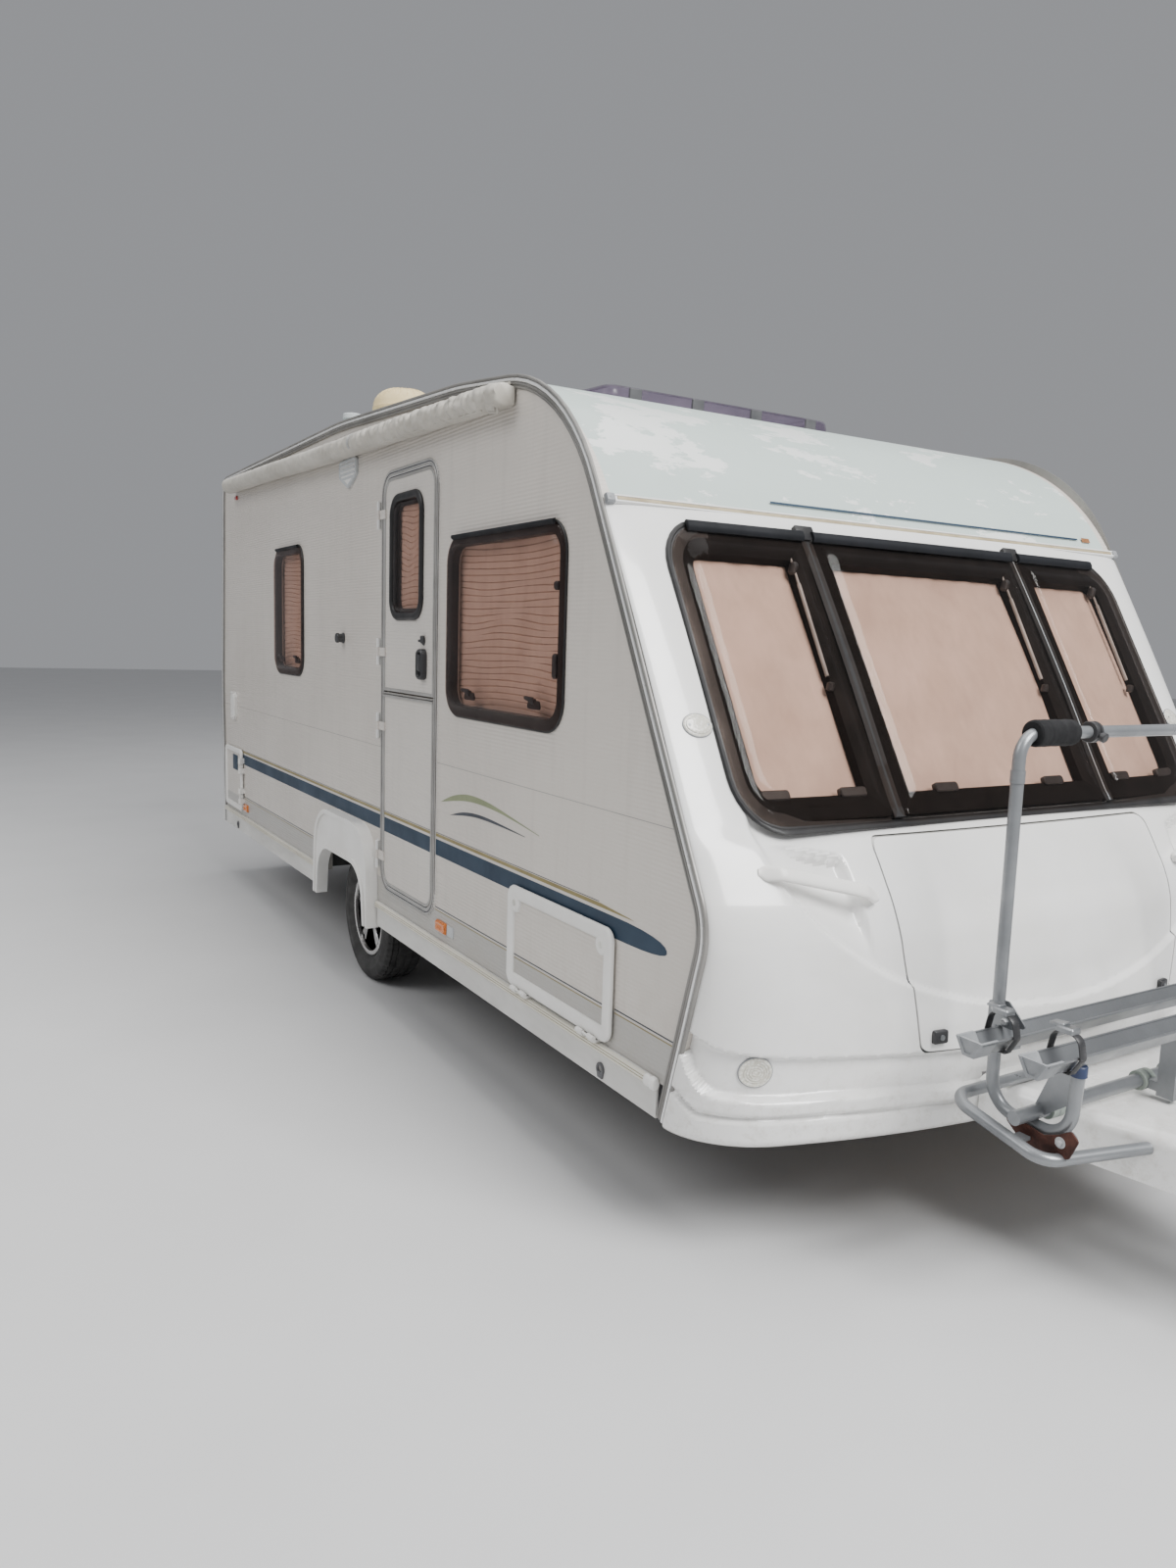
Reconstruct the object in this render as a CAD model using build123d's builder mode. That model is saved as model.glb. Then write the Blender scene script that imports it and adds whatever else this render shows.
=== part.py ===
from build123d import *
from math import cos, radians, sin
import os

os.makedirs("parts", exist_ok=True)

# Overall sizes, in millimetres: +Z up from the ground, the front faces -Y, the doors are on the -X side
half_width = 1100
wall = 30
roof_rear_z = 2444
floor_top = 490
floor_thickness = 40
side_bottom = 438
skirt_bottom = 345
front_bottom = 330

# Side profile as corner points (y, z) with the radius at each inner corner
nose_bottom_y = -1761
profile_corners = [(nose_bottom_y, 344), (-1906, 875), (-1163, 2281), (-430, 2365), (800, 2433),
                   (3039, roof_rear_z), (3131, 1192), (3098, skirt_bottom)]
profile_radii = [200, 870, 2500, 6000, 110, 3000]

# Wheels and axle
wheel_radius = 297
tyre_width = 185
axle_y = 690
tyre_centre_x = 938
rim_radius = 178
running_clearance = 0.08

# Running clearances of the moving panels
panel_gap = 5
hinge_pin_radius = 3
knuckle_radius = 7
hinge_stand_off = 12

# Entrance door in two halves: outline of its frame
door_front_y = -280
door_rear_y = 280
door_bottom = 510
door_top = 2161
door_corner_radius = 95
door_frame_face = 24
door_split_z = 1317
door_hinge_y = 300
door_proud = 4

# Windows: y range, z range, corner radius
door_window = (-147, 180, 1595, 2065, 80)
front_side_window = (-1185, -368, 1272, 1874, 95)
narrow_window = (1371, 1867, 1329, 1956, 90)
kitchen_window = (100, 860, 1330, 1800, 80)
window_lap = 26
seal_depth = 7
pane_thickness = 6

# Lockers on the side: y range, z range, corner radius
side_locker = (-1505, -890, 460, 780, 38)
service_hatch = (2617, 3028, 471, 841, 38)
hatch_frame_face = 32
hatch_frame_proud = 6
lock_inset = 40
lock_boss_radius = 24

# Front moulding: plan sections, each with height, side edge y, corner width, corner depth, centre y
front_sections = [
    (1905, -1361, 110, 12, -1392),
    (1480, -1586, 120, 24, -1640),
    (1090, -1792, 150, 40, -1862),
    (1060, -1808, 200, 70, -1918),
    (910, -1880, 240, 90, -2012),
    (690, -1855, 230, 130, -2080),
    (498, -1803, 199, 182, -2098),
    (front_bottom, -1758, 177, 205, -2108),
]
front_window_top = 1852
front_window_bottom = 1092
front_window_half_width = 950
front_window_corner = 120
pane_divider_x = 454
divider_gap = 12
front_lid_top = 1062
front_lid_middle = 800
front_lid_bottom = 531
front_lid_bottom_centre = 511
front_lid_top_half = 588
front_lid_middle_half = 584
front_lid_bottom_half = 535
front_lid_corner = 32
front_lid_hinge_y = -1932
front_lid_hinge_z = front_lid_top + 8
front_lid_hinges = (-400, 310)
front_lid_barrel = 90
front_lid_block = 56
front_lid_thickness = 22
drawbar_opening_half = 352
drawbar_opening_top = 452

# Relief on the front moulding: ridge, recess behind each handle, and the ledges and groove of the bumper band
ridge_centre_z = 1110
ridge_top = 1045
ridge_half_width = 935
ridge_half_height = 500
ridge_step = 13
recess_corners = [(945, 1068), (684, 1025), (690, 990), (664, 800), (800, 790), (945, 900)]
recess_depth = 24
recess_corner_radius = 12
band_top = [(0, 514), (535, 534), (804, 552), (1050, 579), (1115, 622)]
band_bottom = [(0, 425), (561, 447), (1023, 464), (1072, 486), (1115, 590)]
band_set_back = 14
ledge_proud = 16
groove_line = [(372, 390), (535, 396), (884, 405), (1060, 408), (1092, 424)]
groove_height = 12
groove_depth = 6

# Chassis and drawbar
rail_height = 75
rail_top = floor_top - floor_thickness
rail_x = 620
rail_flange = 45
rail_sheet = 5
coupling_y = -3110
coupling_height = 430
ball_radius = 25
ball_clearance = 0.8
jockey_x = 150
jockey_y = coupling_y + 310
jockey_tube_radius = 24
jockey_wheel_radius = 105
jockey_wheel_width = 60

# Carrier on the drawbar
carrier_leg_x = 480
carrier_leg_y = -2229
carrier_tube_radius = 15
carrier_top = 1355
carrier_pivot_y = -2440
carrier_pivot_z = 458
carrier_rail_half_length = 640
carrier_rail_places = [(-2283, 664), (-2449, 675)]


with BuildSketch() as side_profile:
    with BuildLine():
        FilletPolyline(*profile_corners, radius=profile_radii)
        Line(profile_corners[-1], profile_corners[0])
    make_face()

with BuildSketch() as inner_profile:
    add(side_profile.sketch)
    offset(amount=-wall, kind=Kind.INTERSECTION, mode=Mode.REPLACE)


def rounded(region, inset=0.0, mode=Mode.ADD):
    """Rounded rectangle over a region (low, high, low, high, radius), drawn smaller by an inset."""
    low_a, high_a, low_b, high_b, radius = region
    with Locations(((low_a + high_a) / 2, (low_b + high_b) / 2)):
        RectangleRounded(high_a - low_a - 2 * inset, high_b - low_b - 2 * inset, max(radius - inset, 3),
                         mode=mode)


def add_fixed_barrel(plane, length):
    """Pin with a knuckle at each end, along the plane's normal."""
    third = length / 3
    low = (Align.CENTER, Align.CENTER, Align.MIN)
    with Locations(plane):
        Cylinder(hinge_pin_radius, length, align=low)
        Cylinder(knuckle_radius, third, align=low)
    with Locations(plane.offset(2 * third)):
        Cylinder(knuckle_radius, third, align=low)


def add_moving_barrel(plane, length):
    """Middle knuckle of a hinge, bored to turn on its pin."""
    third = length / 3
    low = (Align.CENTER, Align.CENTER, Align.MIN)
    with Locations(plane.offset(third + 0.5)):
        Cylinder(knuckle_radius, third - 1, align=low)
        Cylinder(hinge_pin_radius + running_clearance, third - 1, align=low, mode=Mode.SUBTRACT)


def save(piece, name):
    """Label a finished piece and write it under its own name."""
    piece.part.label = name
    export_step(piece.part, f"parts/{name}.step")


def box_between(x_range, y_range, z_range, mode=Mode.ADD):
    """Box between two corners, given as a low and a high value along each axis."""
    centre = [(low + high) / 2 for low, high in (x_range, y_range, z_range)]
    size = [high - low for low, high in (x_range, y_range, z_range)]
    with Locations(tuple(centre)):
        Box(*size, mode=mode)


def front_loft(sections, grow, back_y):
    """Solid bounded by the front surface moved out by grow, open to the cabin at back_y."""
    with BuildPart() as body:
        for z, edge_y, corner_width, corner_depth, centre_y in sections:
            side_x = half_width + min(grow, 0)
            front_y = edge_y - corner_depth - grow
            with BuildSketch(Plane.XY.offset(z)):
                with BuildLine():
                    Line((-side_x, back_y), (-side_x, edge_y - grow))
                    ThreePointArc((-side_x, edge_y - grow),
                                  (-side_x + 0.29 * corner_width, edge_y - grow - 0.66 * corner_depth),
                                  (-side_x + corner_width, front_y))
                    ThreePointArc((-side_x + corner_width, front_y), (0, centre_y - grow),
                                  (side_x - corner_width, front_y))
                    ThreePointArc((side_x - corner_width, front_y),
                                  (side_x - 0.29 * corner_width, edge_y - grow - 0.66 * corner_depth),
                                  (side_x, edge_y - grow))
                    Line((side_x, edge_y - grow), (side_x, back_y))
                    Line((side_x, back_y), (-side_x, back_y))
                make_face()
        loft(ruled=True)
    return body.part


front_back_y = -1250
front_solid = front_loft(front_sections, 0, front_back_y)
front_core = front_loft(front_sections, -wall, front_back_y + 100)
pane_outer = front_loft(front_sections[:3], seal_depth + pane_thickness, front_back_y)
pane_inner = front_loft(front_sections[:3], seal_depth, front_back_y + 100)

with BuildPart() as body_prism:
    with BuildSketch(Plane.YZ.offset(-half_width)):
        add(side_profile.sketch)
    extrude(amount=2 * half_width)

with BuildPart() as side_plates:
    for plane_x in (-half_width, half_width - wall):
        with BuildSketch(Plane.YZ.offset(plane_x)):
            add(side_profile.sketch)
        extrude(amount=wall)


def front_window_outline(inset, mode=Mode.ADD):
    """Outline of the three front panes together, seen from the front."""
    with Locations((0, (front_window_top + front_window_bottom) / 2)):
        RectangleRounded(2 * (front_window_half_width - inset),
                         front_window_top - front_window_bottom - 2 * inset,
                         front_window_corner - inset, mode=mode)


def front_lid_outline(inset):
    """Outline of the gas locker lid seen from the front, with bowed sides, smaller by an inset."""
    bottom = (front_lid_bottom_half - inset, front_lid_bottom + inset)
    middle = (front_lid_middle_half - inset, front_lid_middle)
    top = (front_lid_top_half - inset, front_lid_top - inset)
    with BuildSketch() as outline:
        with BuildLine():
            ThreePointArc((-bottom[0], bottom[1]), (0, front_lid_bottom_centre + inset), bottom)
            ThreePointArc(bottom, middle, top)
            Line(top, (-top[0], top[1]))
            ThreePointArc((-top[0], top[1]), (-middle[0], middle[1]), (-bottom[0], bottom[1]))
        make_face()
        fillet(outline.vertices(), front_lid_corner - inset)
    return outline.sketch


def mirrored_line(points):
    """Points from the far side to the door side, from the points of the far half."""
    return points[::-1] + [(-x, z) for x, z in points if x > 0]


def set_back(amount):
    """Front surface moved back, or forward when the amount is negative."""
    return front_solid.moved(Location((0, amount, 0)))


# Relief of the front moulding, each form cut or raised through the outline that it has seen from the front
front_plane = Plane.XZ.offset(2300)
front_reach = 900
beyond_side = half_width + 100
with BuildPart() as ridge_cut:
    with BuildSketch(front_plane):
        with Locations((0, ridge_centre_z)):
            Ellipse(ridge_half_width, ridge_half_height)
        with Locations((0, ridge_top - half_width)):
            Rectangle(2 * half_width, 2 * half_width, mode=Mode.INTERSECT)
    extrude(amount=-front_reach)
    add(set_back(ridge_step), mode=Mode.SUBTRACT)

with BuildPart() as recess_cut:
    with BuildSketch(front_plane):
        for side in (-1, 1):
            with BuildLine():
                FilletPolyline(*[(side * x, z) for x, z in recess_corners], radius=recess_corner_radius,
                               close=True)
            make_face()
        with Locations((0, ridge_centre_z)):
            Ellipse(ridge_half_width - 8, ridge_half_height - 8, mode=Mode.INTERSECT)
    extrude(amount=-front_reach)
    add(set_back(recess_depth), mode=Mode.SUBTRACT)

with BuildPart() as band_cut:
    with BuildSketch(front_plane):
        with BuildLine():
            top_line = Spline(*mirrored_line(band_top))
            bottom_line = Spline(*mirrored_line(band_bottom))
            Line(top_line @ 0, bottom_line @ 0)
            Line(top_line @ 1, bottom_line @ 1)
        make_face()
    extrude(amount=-front_reach)
    add(set_back(band_set_back), mode=Mode.SUBTRACT)

with BuildPart() as bumper_ledge:
    with BuildSketch(front_plane):
        with BuildLine():
            ledge_line = Spline(*mirrored_line(band_bottom))
            Polyline(ledge_line @ 0, (beyond_side, band_bottom[-1][1]), (beyond_side, 0), (-beyond_side, 0),
                     (-beyond_side, band_bottom[-1][1]), ledge_line @ 1)
        make_face()
    extrude(amount=-front_reach)
    add(set_back(-ledge_proud), mode=Mode.INTERSECT)

with BuildPart() as groove_cut:
    with BuildSketch(front_plane):
        for side in (-1, 1):
            with BuildLine() as groove_path:
                Spline(*[(side * x, z) for x, z in groove_line])
            trace(groove_path.line, line_width=groove_height)
    extrude(amount=-front_reach)
    add(set_back(groove_depth - ledge_proud), mode=Mode.SUBTRACT)

with BuildPart() as front_form:
    add(front_solid)
    for cut in (ridge_cut, recess_cut, band_cut):
        add(cut.part, mode=Mode.SUBTRACT)
    add(bumper_ledge.part)
    add(groove_cut.part, mode=Mode.SUBTRACT)

# The front moulding: one shell with the window opening, the locker opening and the drawbar opening
with BuildPart() as front_panel:
    add(front_form.part)
    add(front_core, mode=Mode.SUBTRACT)
    add(side_plates.part, mode=Mode.SUBTRACT)
    with BuildSketch(front_plane):
        front_window_outline(window_lap)
    extrude(amount=-front_reach, mode=Mode.SUBTRACT)
    with BuildSketch(front_plane):
        add(front_lid_outline(0))
        Rectangle(2 * drawbar_opening_half, 2 * drawbar_opening_top)
    extrude(amount=-front_reach, mode=Mode.SUBTRACT)
    box_between((-half_width, half_width), (-1757, 0), (0, skirt_bottom), mode=Mode.SUBTRACT)
    for start_x in front_lid_hinges:
        for knuckle_x in (start_x, start_x + 2 * front_lid_barrel / 3):
            box_between((knuckle_x, knuckle_x + front_lid_barrel / 3),
                        (front_lid_hinge_y, front_lid_hinge_y + front_lid_block),
                        (front_lid_hinge_z - knuckle_radius, front_lid_hinge_z + knuckle_radius))
        add_fixed_barrel(Plane(origin=(start_x, front_lid_hinge_y, front_lid_hinge_z), z_dir=(1, 0, 0)),
                         front_lid_barrel)
save(front_panel, "front_panel")

with BuildPart() as gas_locker_lid:
    add(front_form.part)
    add(front_loft(front_sections, -front_lid_thickness, front_back_y + 100), mode=Mode.SUBTRACT)
    with BuildSketch(front_plane):
        add(front_lid_outline(panel_gap))
    extrude(amount=-front_reach, mode=Mode.INTERSECT)
    for start_x in front_lid_hinges:
        box_between((start_x + front_lid_barrel / 3 + 0.5, start_x + 2 * front_lid_barrel / 3 - 0.5),
                    (front_lid_hinge_y - 4, front_lid_hinge_y + 14), (front_lid_top - 26, front_lid_hinge_z))
        add_moving_barrel(Plane(origin=(start_x, front_lid_hinge_y, front_lid_hinge_z), z_dir=(1, 0, 0)),
                          front_lid_barrel)
save(gas_locker_lid, "gas_locker_lid")

# Side walls: flat sandwich plates with the openings cut through
arch_half_width = 330
arch_top = 600
with BuildPart() as far_side_wall:
    with BuildSketch(Plane.YZ.offset(half_width - wall)):
        add(side_profile.sketch)
        with Locations((0, side_bottom - 500)):
            Rectangle(8000, 1000, mode=Mode.SUBTRACT)
        with Locations((axle_y, side_bottom)):
            Rectangle(2 * arch_half_width, 2 * (arch_top - side_bottom), mode=Mode.SUBTRACT)
        for region in (front_side_window, kitchen_window, narrow_window):
            rounded(region, inset=window_lap, mode=Mode.SUBTRACT)
    extrude(amount=wall)
save(far_side_wall, "far_side_wall")

with BuildPart() as door_side_wall:
    with BuildSketch(Plane.YZ.offset(-half_width)):
        add(side_profile.sketch)
        with Locations((0, side_bottom - 500)):
            Rectangle(8000, 1000, mode=Mode.SUBTRACT)
        with Locations((axle_y, side_bottom)):
            Rectangle(2 * arch_half_width, 2 * (arch_top - side_bottom), mode=Mode.SUBTRACT)
        door_region = (door_front_y, door_rear_y, door_bottom, door_top, door_corner_radius)
        for region, inset in ((front_side_window, window_lap), (narrow_window, window_lap),
                              (door_region, 10), (side_locker, 12), (service_hatch, 12)):
            rounded(region, inset=inset, mode=Mode.SUBTRACT)
    extrude(amount=wall)
save(door_side_wall, "door_side_wall")

# Roof and rear follow the side profile between the two side walls
inner_width = 2 * (half_width - wall)
with BuildPart() as roof_panel:
    with BuildSketch(Plane.YZ.offset(-inner_width / 2)):
        add(side_profile.sketch)
        add(inner_profile.sketch, mode=Mode.SUBTRACT)
        with BuildLine():
            Polyline((-3000, 1906), (0, 1906), (0, 2300), (4000, 2300), (4000, 3000), (-3000, 3000),
                     close=True)
        make_face(mode=Mode.INTERSECT)
    extrude(amount=inner_width)
save(roof_panel, "roof_panel")

with BuildPart() as rear_panel:
    with BuildSketch(Plane.YZ.offset(-inner_width / 2)):
        add(side_profile.sketch)
        add(inner_profile.sketch, mode=Mode.SUBTRACT)
        with Locations((3000, 1350)):
            Rectangle(400, 1900, mode=Mode.INTERSECT)
    extrude(amount=inner_width)
save(rear_panel, "rear_panel")

# Floor between the side walls, open at the wheels
wheel_box_inner = 796
wheel_box_half = 345
wheel_box_top = 640
wheel_box_sheet = 4
floor_front_y = -1755
floor_rear_y = profile_corners[-1][0] - wall
with BuildPart() as floor_panel:
    box_between((-inner_width / 2, inner_width / 2), (floor_front_y, floor_rear_y),
                (floor_top - floor_thickness, floor_top))
    for side in (-1, 1):
        edges = sorted((side * wheel_box_inner, side * inner_width / 2))
        box_between(edges, (axle_y - wheel_box_half, axle_y + wheel_box_half),
                    (floor_top - floor_thickness, floor_top), mode=Mode.SUBTRACT)
save(floor_panel, "floor_panel")

with BuildPart() as wheel_boxes:
    for side in (-1, 1):
        outer = sorted((side * wheel_box_inner, side * inner_width / 2))
        cavity = sorted((side * (wheel_box_inner + wheel_box_sheet), side * inner_width / 2))
        box_between(outer, (axle_y - wheel_box_half, axle_y + wheel_box_half),
                    (floor_top - floor_thickness, wheel_box_top))
        box_between(cavity,
                    (axle_y - wheel_box_half + wheel_box_sheet, axle_y + wheel_box_half - wheel_box_sheet),
                    (floor_top - floor_thickness, wheel_box_top - wheel_box_sheet), mode=Mode.SUBTRACT)
save(wheel_boxes, "wheel_boxes")

# Trims on the edges of the side walls, and the joint trim between the roof and the front
skirt_front_y = -1722
skirt_rear_y = 3060
trim_proud = 8
trim_width = 34
trim_lap = 4
with BuildSketch() as trim_outer:
    add(side_profile.sketch)
    offset(amount=trim_lap, kind=Kind.INTERSECTION)
with BuildSketch() as trim_inner:
    add(side_profile.sketch)
    offset(amount=trim_lap - trim_width, kind=Kind.INTERSECTION, mode=Mode.REPLACE)
trim_groove_insets = (9, 21)
trim_groove_width = 3.5
trim_groove_depth = 3
with BuildSketch() as trim_grooves:
    for groove_inset in trim_groove_insets:
        with BuildSketch(mode=Mode.PRIVATE) as groove_ring:
            add(side_profile.sketch)
            offset(amount=trim_lap - groove_inset, kind=Kind.INTERSECTION, mode=Mode.REPLACE)
        with BuildSketch(mode=Mode.PRIVATE) as ring_core:
            add(side_profile.sketch)
            offset(amount=trim_lap - groove_inset - trim_groove_width, kind=Kind.INTERSECTION,
                   mode=Mode.REPLACE)
        add(groove_ring.sketch - ring_core.sketch)
with BuildPart() as edge_trims:
    for side in (-1, 1):
        with BuildSketch(Plane.YZ.offset(min(side * half_width, side * (half_width + trim_proud)))):
            add(trim_outer.sketch)
            add(trim_inner.sketch, mode=Mode.SUBTRACT)
            with Locations(((skirt_front_y + skirt_rear_y) / 2, 300)):
                Rectangle(skirt_rear_y - skirt_front_y + 4, 2 * (side_bottom - 300), mode=Mode.SUBTRACT)
        extrude(amount=trim_proud)
        trim_face = half_width + trim_proud
        with BuildSketch(Plane.YZ.offset(min(side * trim_face, side * (trim_face - trim_groove_depth)))):
            add(trim_grooves.sketch)
        extrude(amount=trim_groove_depth, mode=Mode.SUBTRACT)
save(edge_trims, "edge_trims")

roof_trim_y = -1374
roof_trim_z = 1908
roof_trim_size = (22, 26)
roof_trim_slope = -28
with BuildPart() as roof_front_trim:
    with BuildSketch(Plane.YZ.offset(-half_width)):
        with Locations((roof_trim_y, roof_trim_z)):
            Rectangle(*roof_trim_size, rotation=roof_trim_slope)
        add(side_profile.sketch, mode=Mode.SUBTRACT)
    extrude(amount=2 * half_width)
    add(front_solid, mode=Mode.SUBTRACT)
save(roof_front_trim, "roof_front_trim")

# Wheel-arch spats stand out from the side walls over the wheels
spat_depth = 45
spat_half_width = 375
spat_top = 750
spat_inner_half = 318
spat_inner_top = 572
spat_bottom = 335
spat_lip_width = 20
spat_lip_proud = 7


def arch_shape(half_span, lean, bottom, top, radius):
    """Flat-topped arch over the axle, seen from the side."""
    with BuildSketch() as arch:
        with BuildLine():
            FilletPolyline((axle_y - half_span, bottom), (axle_y - half_span + lean, top),
                           (axle_y + half_span - lean, top), (axle_y + half_span, bottom), radius=radius)
            Line((axle_y + half_span, bottom), (axle_y - half_span, bottom))
        make_face()
    return arch.sketch


spat_outline = arch_shape(spat_half_width, 25, spat_bottom, spat_top, 190)
spat_field = arch_shape(spat_half_width - spat_lip_width, 25, spat_bottom, spat_top - spat_lip_width,
                        190 - spat_lip_width)
spat_inner_lip = arch_shape(spat_inner_half + spat_lip_width, 30, spat_bottom - 5,
                            spat_inner_top + spat_lip_width, 150 + spat_lip_width)
spat_opening = arch_shape(spat_inner_half, 30, spat_bottom - 5, spat_inner_top, 150)
with BuildPart() as wheel_arch_spats:
    for side in (-1, 1):
        with BuildSketch(Plane.YZ.offset(min(side * half_width, side * (half_width + spat_depth)))):
            add(spat_outline)
            add(spat_opening, mode=Mode.SUBTRACT)
        extrude(amount=spat_depth)
        lip_faces = (side * (half_width + spat_depth), side * (half_width + spat_depth + spat_lip_proud))
        with BuildSketch(Plane.YZ.offset(min(lip_faces))):
            add(spat_outline)
            add(spat_field, mode=Mode.SUBTRACT)
            add(spat_inner_lip)
            add(spat_outline, mode=Mode.INTERSECT)
            add(spat_opening, mode=Mode.SUBTRACT)
        extrude(amount=spat_lip_proud)
save(wheel_arch_spats, "wheel_arch_spats")

# Skirts under the side walls, each with a rail bead along its top
skirt_sheet = 6
rail_bead = 8
skirt_lap = 10
steady_front_y = -1457
steady_rear_y = 2740
crank_hole_z = 378
crank_hole_radius = 10
crank_collar_radius = 17
crank_collar_proud = 4
with BuildPart() as side_skirts:
    for side in (-1, 1):
        sheet = sorted((side * half_width, side * (half_width + skirt_sheet)))
        bead = sorted((side * (half_width + skirt_sheet), side * (half_width + skirt_sheet + rail_bead)))
        for low_y, high_y in ((skirt_front_y, axle_y - spat_half_width),
                              (axle_y + spat_half_width, skirt_rear_y)):
            box_between(sheet, (low_y, high_y), (skirt_bottom, side_bottom + skirt_lap))
            box_between(bead, (low_y, high_y), (side_bottom - 10, side_bottom + 6))
        skirt_face = half_width + skirt_sheet
        collar = sorted((side * skirt_face, side * (skirt_face + crank_collar_proud)))
        with BuildSketch(Plane.YZ.offset(collar[0])):
            with Locations((steady_front_y, crank_hole_z), (steady_rear_y, crank_hole_z)):
                Circle(crank_collar_radius)
        extrude(amount=crank_collar_proud)
        with BuildSketch(Plane.YZ.offset(min(sheet[0], collar[0]))):
            with Locations((steady_front_y, crank_hole_z), (steady_rear_y, crank_hole_z)):
                Circle(crank_hole_radius)
        extrude(amount=skirt_sheet + crank_collar_proud, mode=Mode.SUBTRACT)
save(side_skirts, "side_skirts")

# Windows: rubber seals on the wall, acrylic panes on the seals, blinds behind
side_windows = [(-1, front_side_window), (-1, narrow_window),
                (1, front_side_window), (1, kitchen_window), (1, narrow_window)]
seal_face = 40
pane_middle_z = (front_window_top + front_window_bottom) / 2
pane_height = front_window_top - front_window_bottom
side_pane_half = (front_window_half_width - pane_divider_x - divider_gap / 2) / 2
side_pane_x = front_window_half_width - side_pane_half
front_panes = [(-side_pane_x, side_pane_half), (0, pane_divider_x - divider_gap / 2),
               (side_pane_x, side_pane_half)]
with BuildPart() as front_seal:
    add(front_loft(front_sections[:3], seal_depth, front_back_y))
    add(front_solid, mode=Mode.SUBTRACT)
    with BuildSketch(front_plane):
        front_window_outline(0)
        for centre_x, pane_half in front_panes:
            with Locations((centre_x, pane_middle_z)):
                RectangleRounded(2 * (pane_half - seal_face), pane_height - 2 * seal_face,
                                 front_window_corner - seal_face, mode=Mode.SUBTRACT)
    extrude(amount=-front_reach, mode=Mode.INTERSECT)

with BuildPart() as window_seals:
    for side, region in side_windows:
        with BuildSketch(Plane.YZ.offset(min(side * half_width, side * (half_width + seal_depth)))):
            rounded(region)
            rounded(region, inset=seal_face, mode=Mode.SUBTRACT)
        extrude(amount=seal_depth)
    add(front_seal.part)
save(window_seals, "window_seals")

with BuildPart() as front_glazing:
    add(pane_outer)
    add(pane_inner, mode=Mode.SUBTRACT)
    with BuildSketch(front_plane):
        for centre_x, pane_half in front_panes:
            with Locations((centre_x, pane_middle_z)):
                RectangleRounded(2 * pane_half, pane_height, front_window_corner * 0.5)
        front_window_outline(0, mode=Mode.INTERSECT)
    extrude(amount=-front_reach, mode=Mode.INTERSECT)

with BuildPart() as window_panes:
    for side, region in side_windows:
        near = side * (half_width + seal_depth)
        with BuildSketch(Plane.YZ.offset(min(near, near + side * pane_thickness))):
            rounded(region)
        extrude(amount=pane_thickness)
    add(front_glazing.part)
save(window_panes, "window_panes")

# Blinds lie against the inside of the walls behind every window
blind_thickness = 4
blind_gap = 0.3
with BuildPart() as front_blind:
    add(front_loft(front_sections[:3], -wall - blind_gap, front_back_y))
    add(front_loft(front_sections[:3], -wall - blind_gap - blind_thickness, front_back_y + 100),
        mode=Mode.SUBTRACT)
    with BuildSketch(front_plane):
        with Locations((0, pane_middle_z)):
            Rectangle(2 * front_window_half_width - 60, pane_height - 20)
    extrude(amount=-front_reach, mode=Mode.INTERSECT)
with BuildPart() as window_blinds:
    for side, region in side_windows:
        low_y, high_y, low_z, high_z, radius = region
        near = side * (half_width - wall)
        with BuildSketch(Plane.YZ.offset(min(near, near - side * blind_thickness))):
            with Locations(((low_y + high_y) / 2, (low_z + high_z) / 2)):
                Rectangle(high_y - low_y, high_z - low_z)
        extrude(amount=blind_thickness)
    add(front_blind.part)
save(window_blinds, "window_blinds")

# Entrance door frame with the fixed half of each hinge
door_hinges = [("upper", 1949, 2055), ("upper", 1419, 1523), ("lower", 1125, 1228), ("lower", 594, 706)]
door_hinge_x = -half_width - hinge_stand_off
with BuildPart() as door_frame:
    with BuildSketch(Plane.YZ.offset(-half_width - 5)):
        rounded(door_region)
        rounded(door_region, inset=door_frame_face, mode=Mode.SUBTRACT)
    extrude(amount=5)
    with BuildSketch(Plane.YZ.offset(-half_width)):
        rounded(door_region, inset=10)
        rounded(door_region, inset=door_frame_face, mode=Mode.SUBTRACT)
    extrude(amount=wall)
    for half, low_z, high_z in door_hinges:
        box_between((-half_width - 3, -half_width), (door_hinge_y - 4, door_hinge_y + 28), (low_z, high_z))
        for knuckle_z in (low_z, high_z - (high_z - low_z) / 3):
            box_between((door_hinge_x, -half_width), (door_hinge_y, door_hinge_y + knuckle_radius),
                        (knuckle_z, knuckle_z + (high_z - low_z) / 3))
        add_fixed_barrel(Plane.XY.move(Location((door_hinge_x, door_hinge_y, low_z))), high_z - low_z)
save(door_frame, "door_frame")

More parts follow.
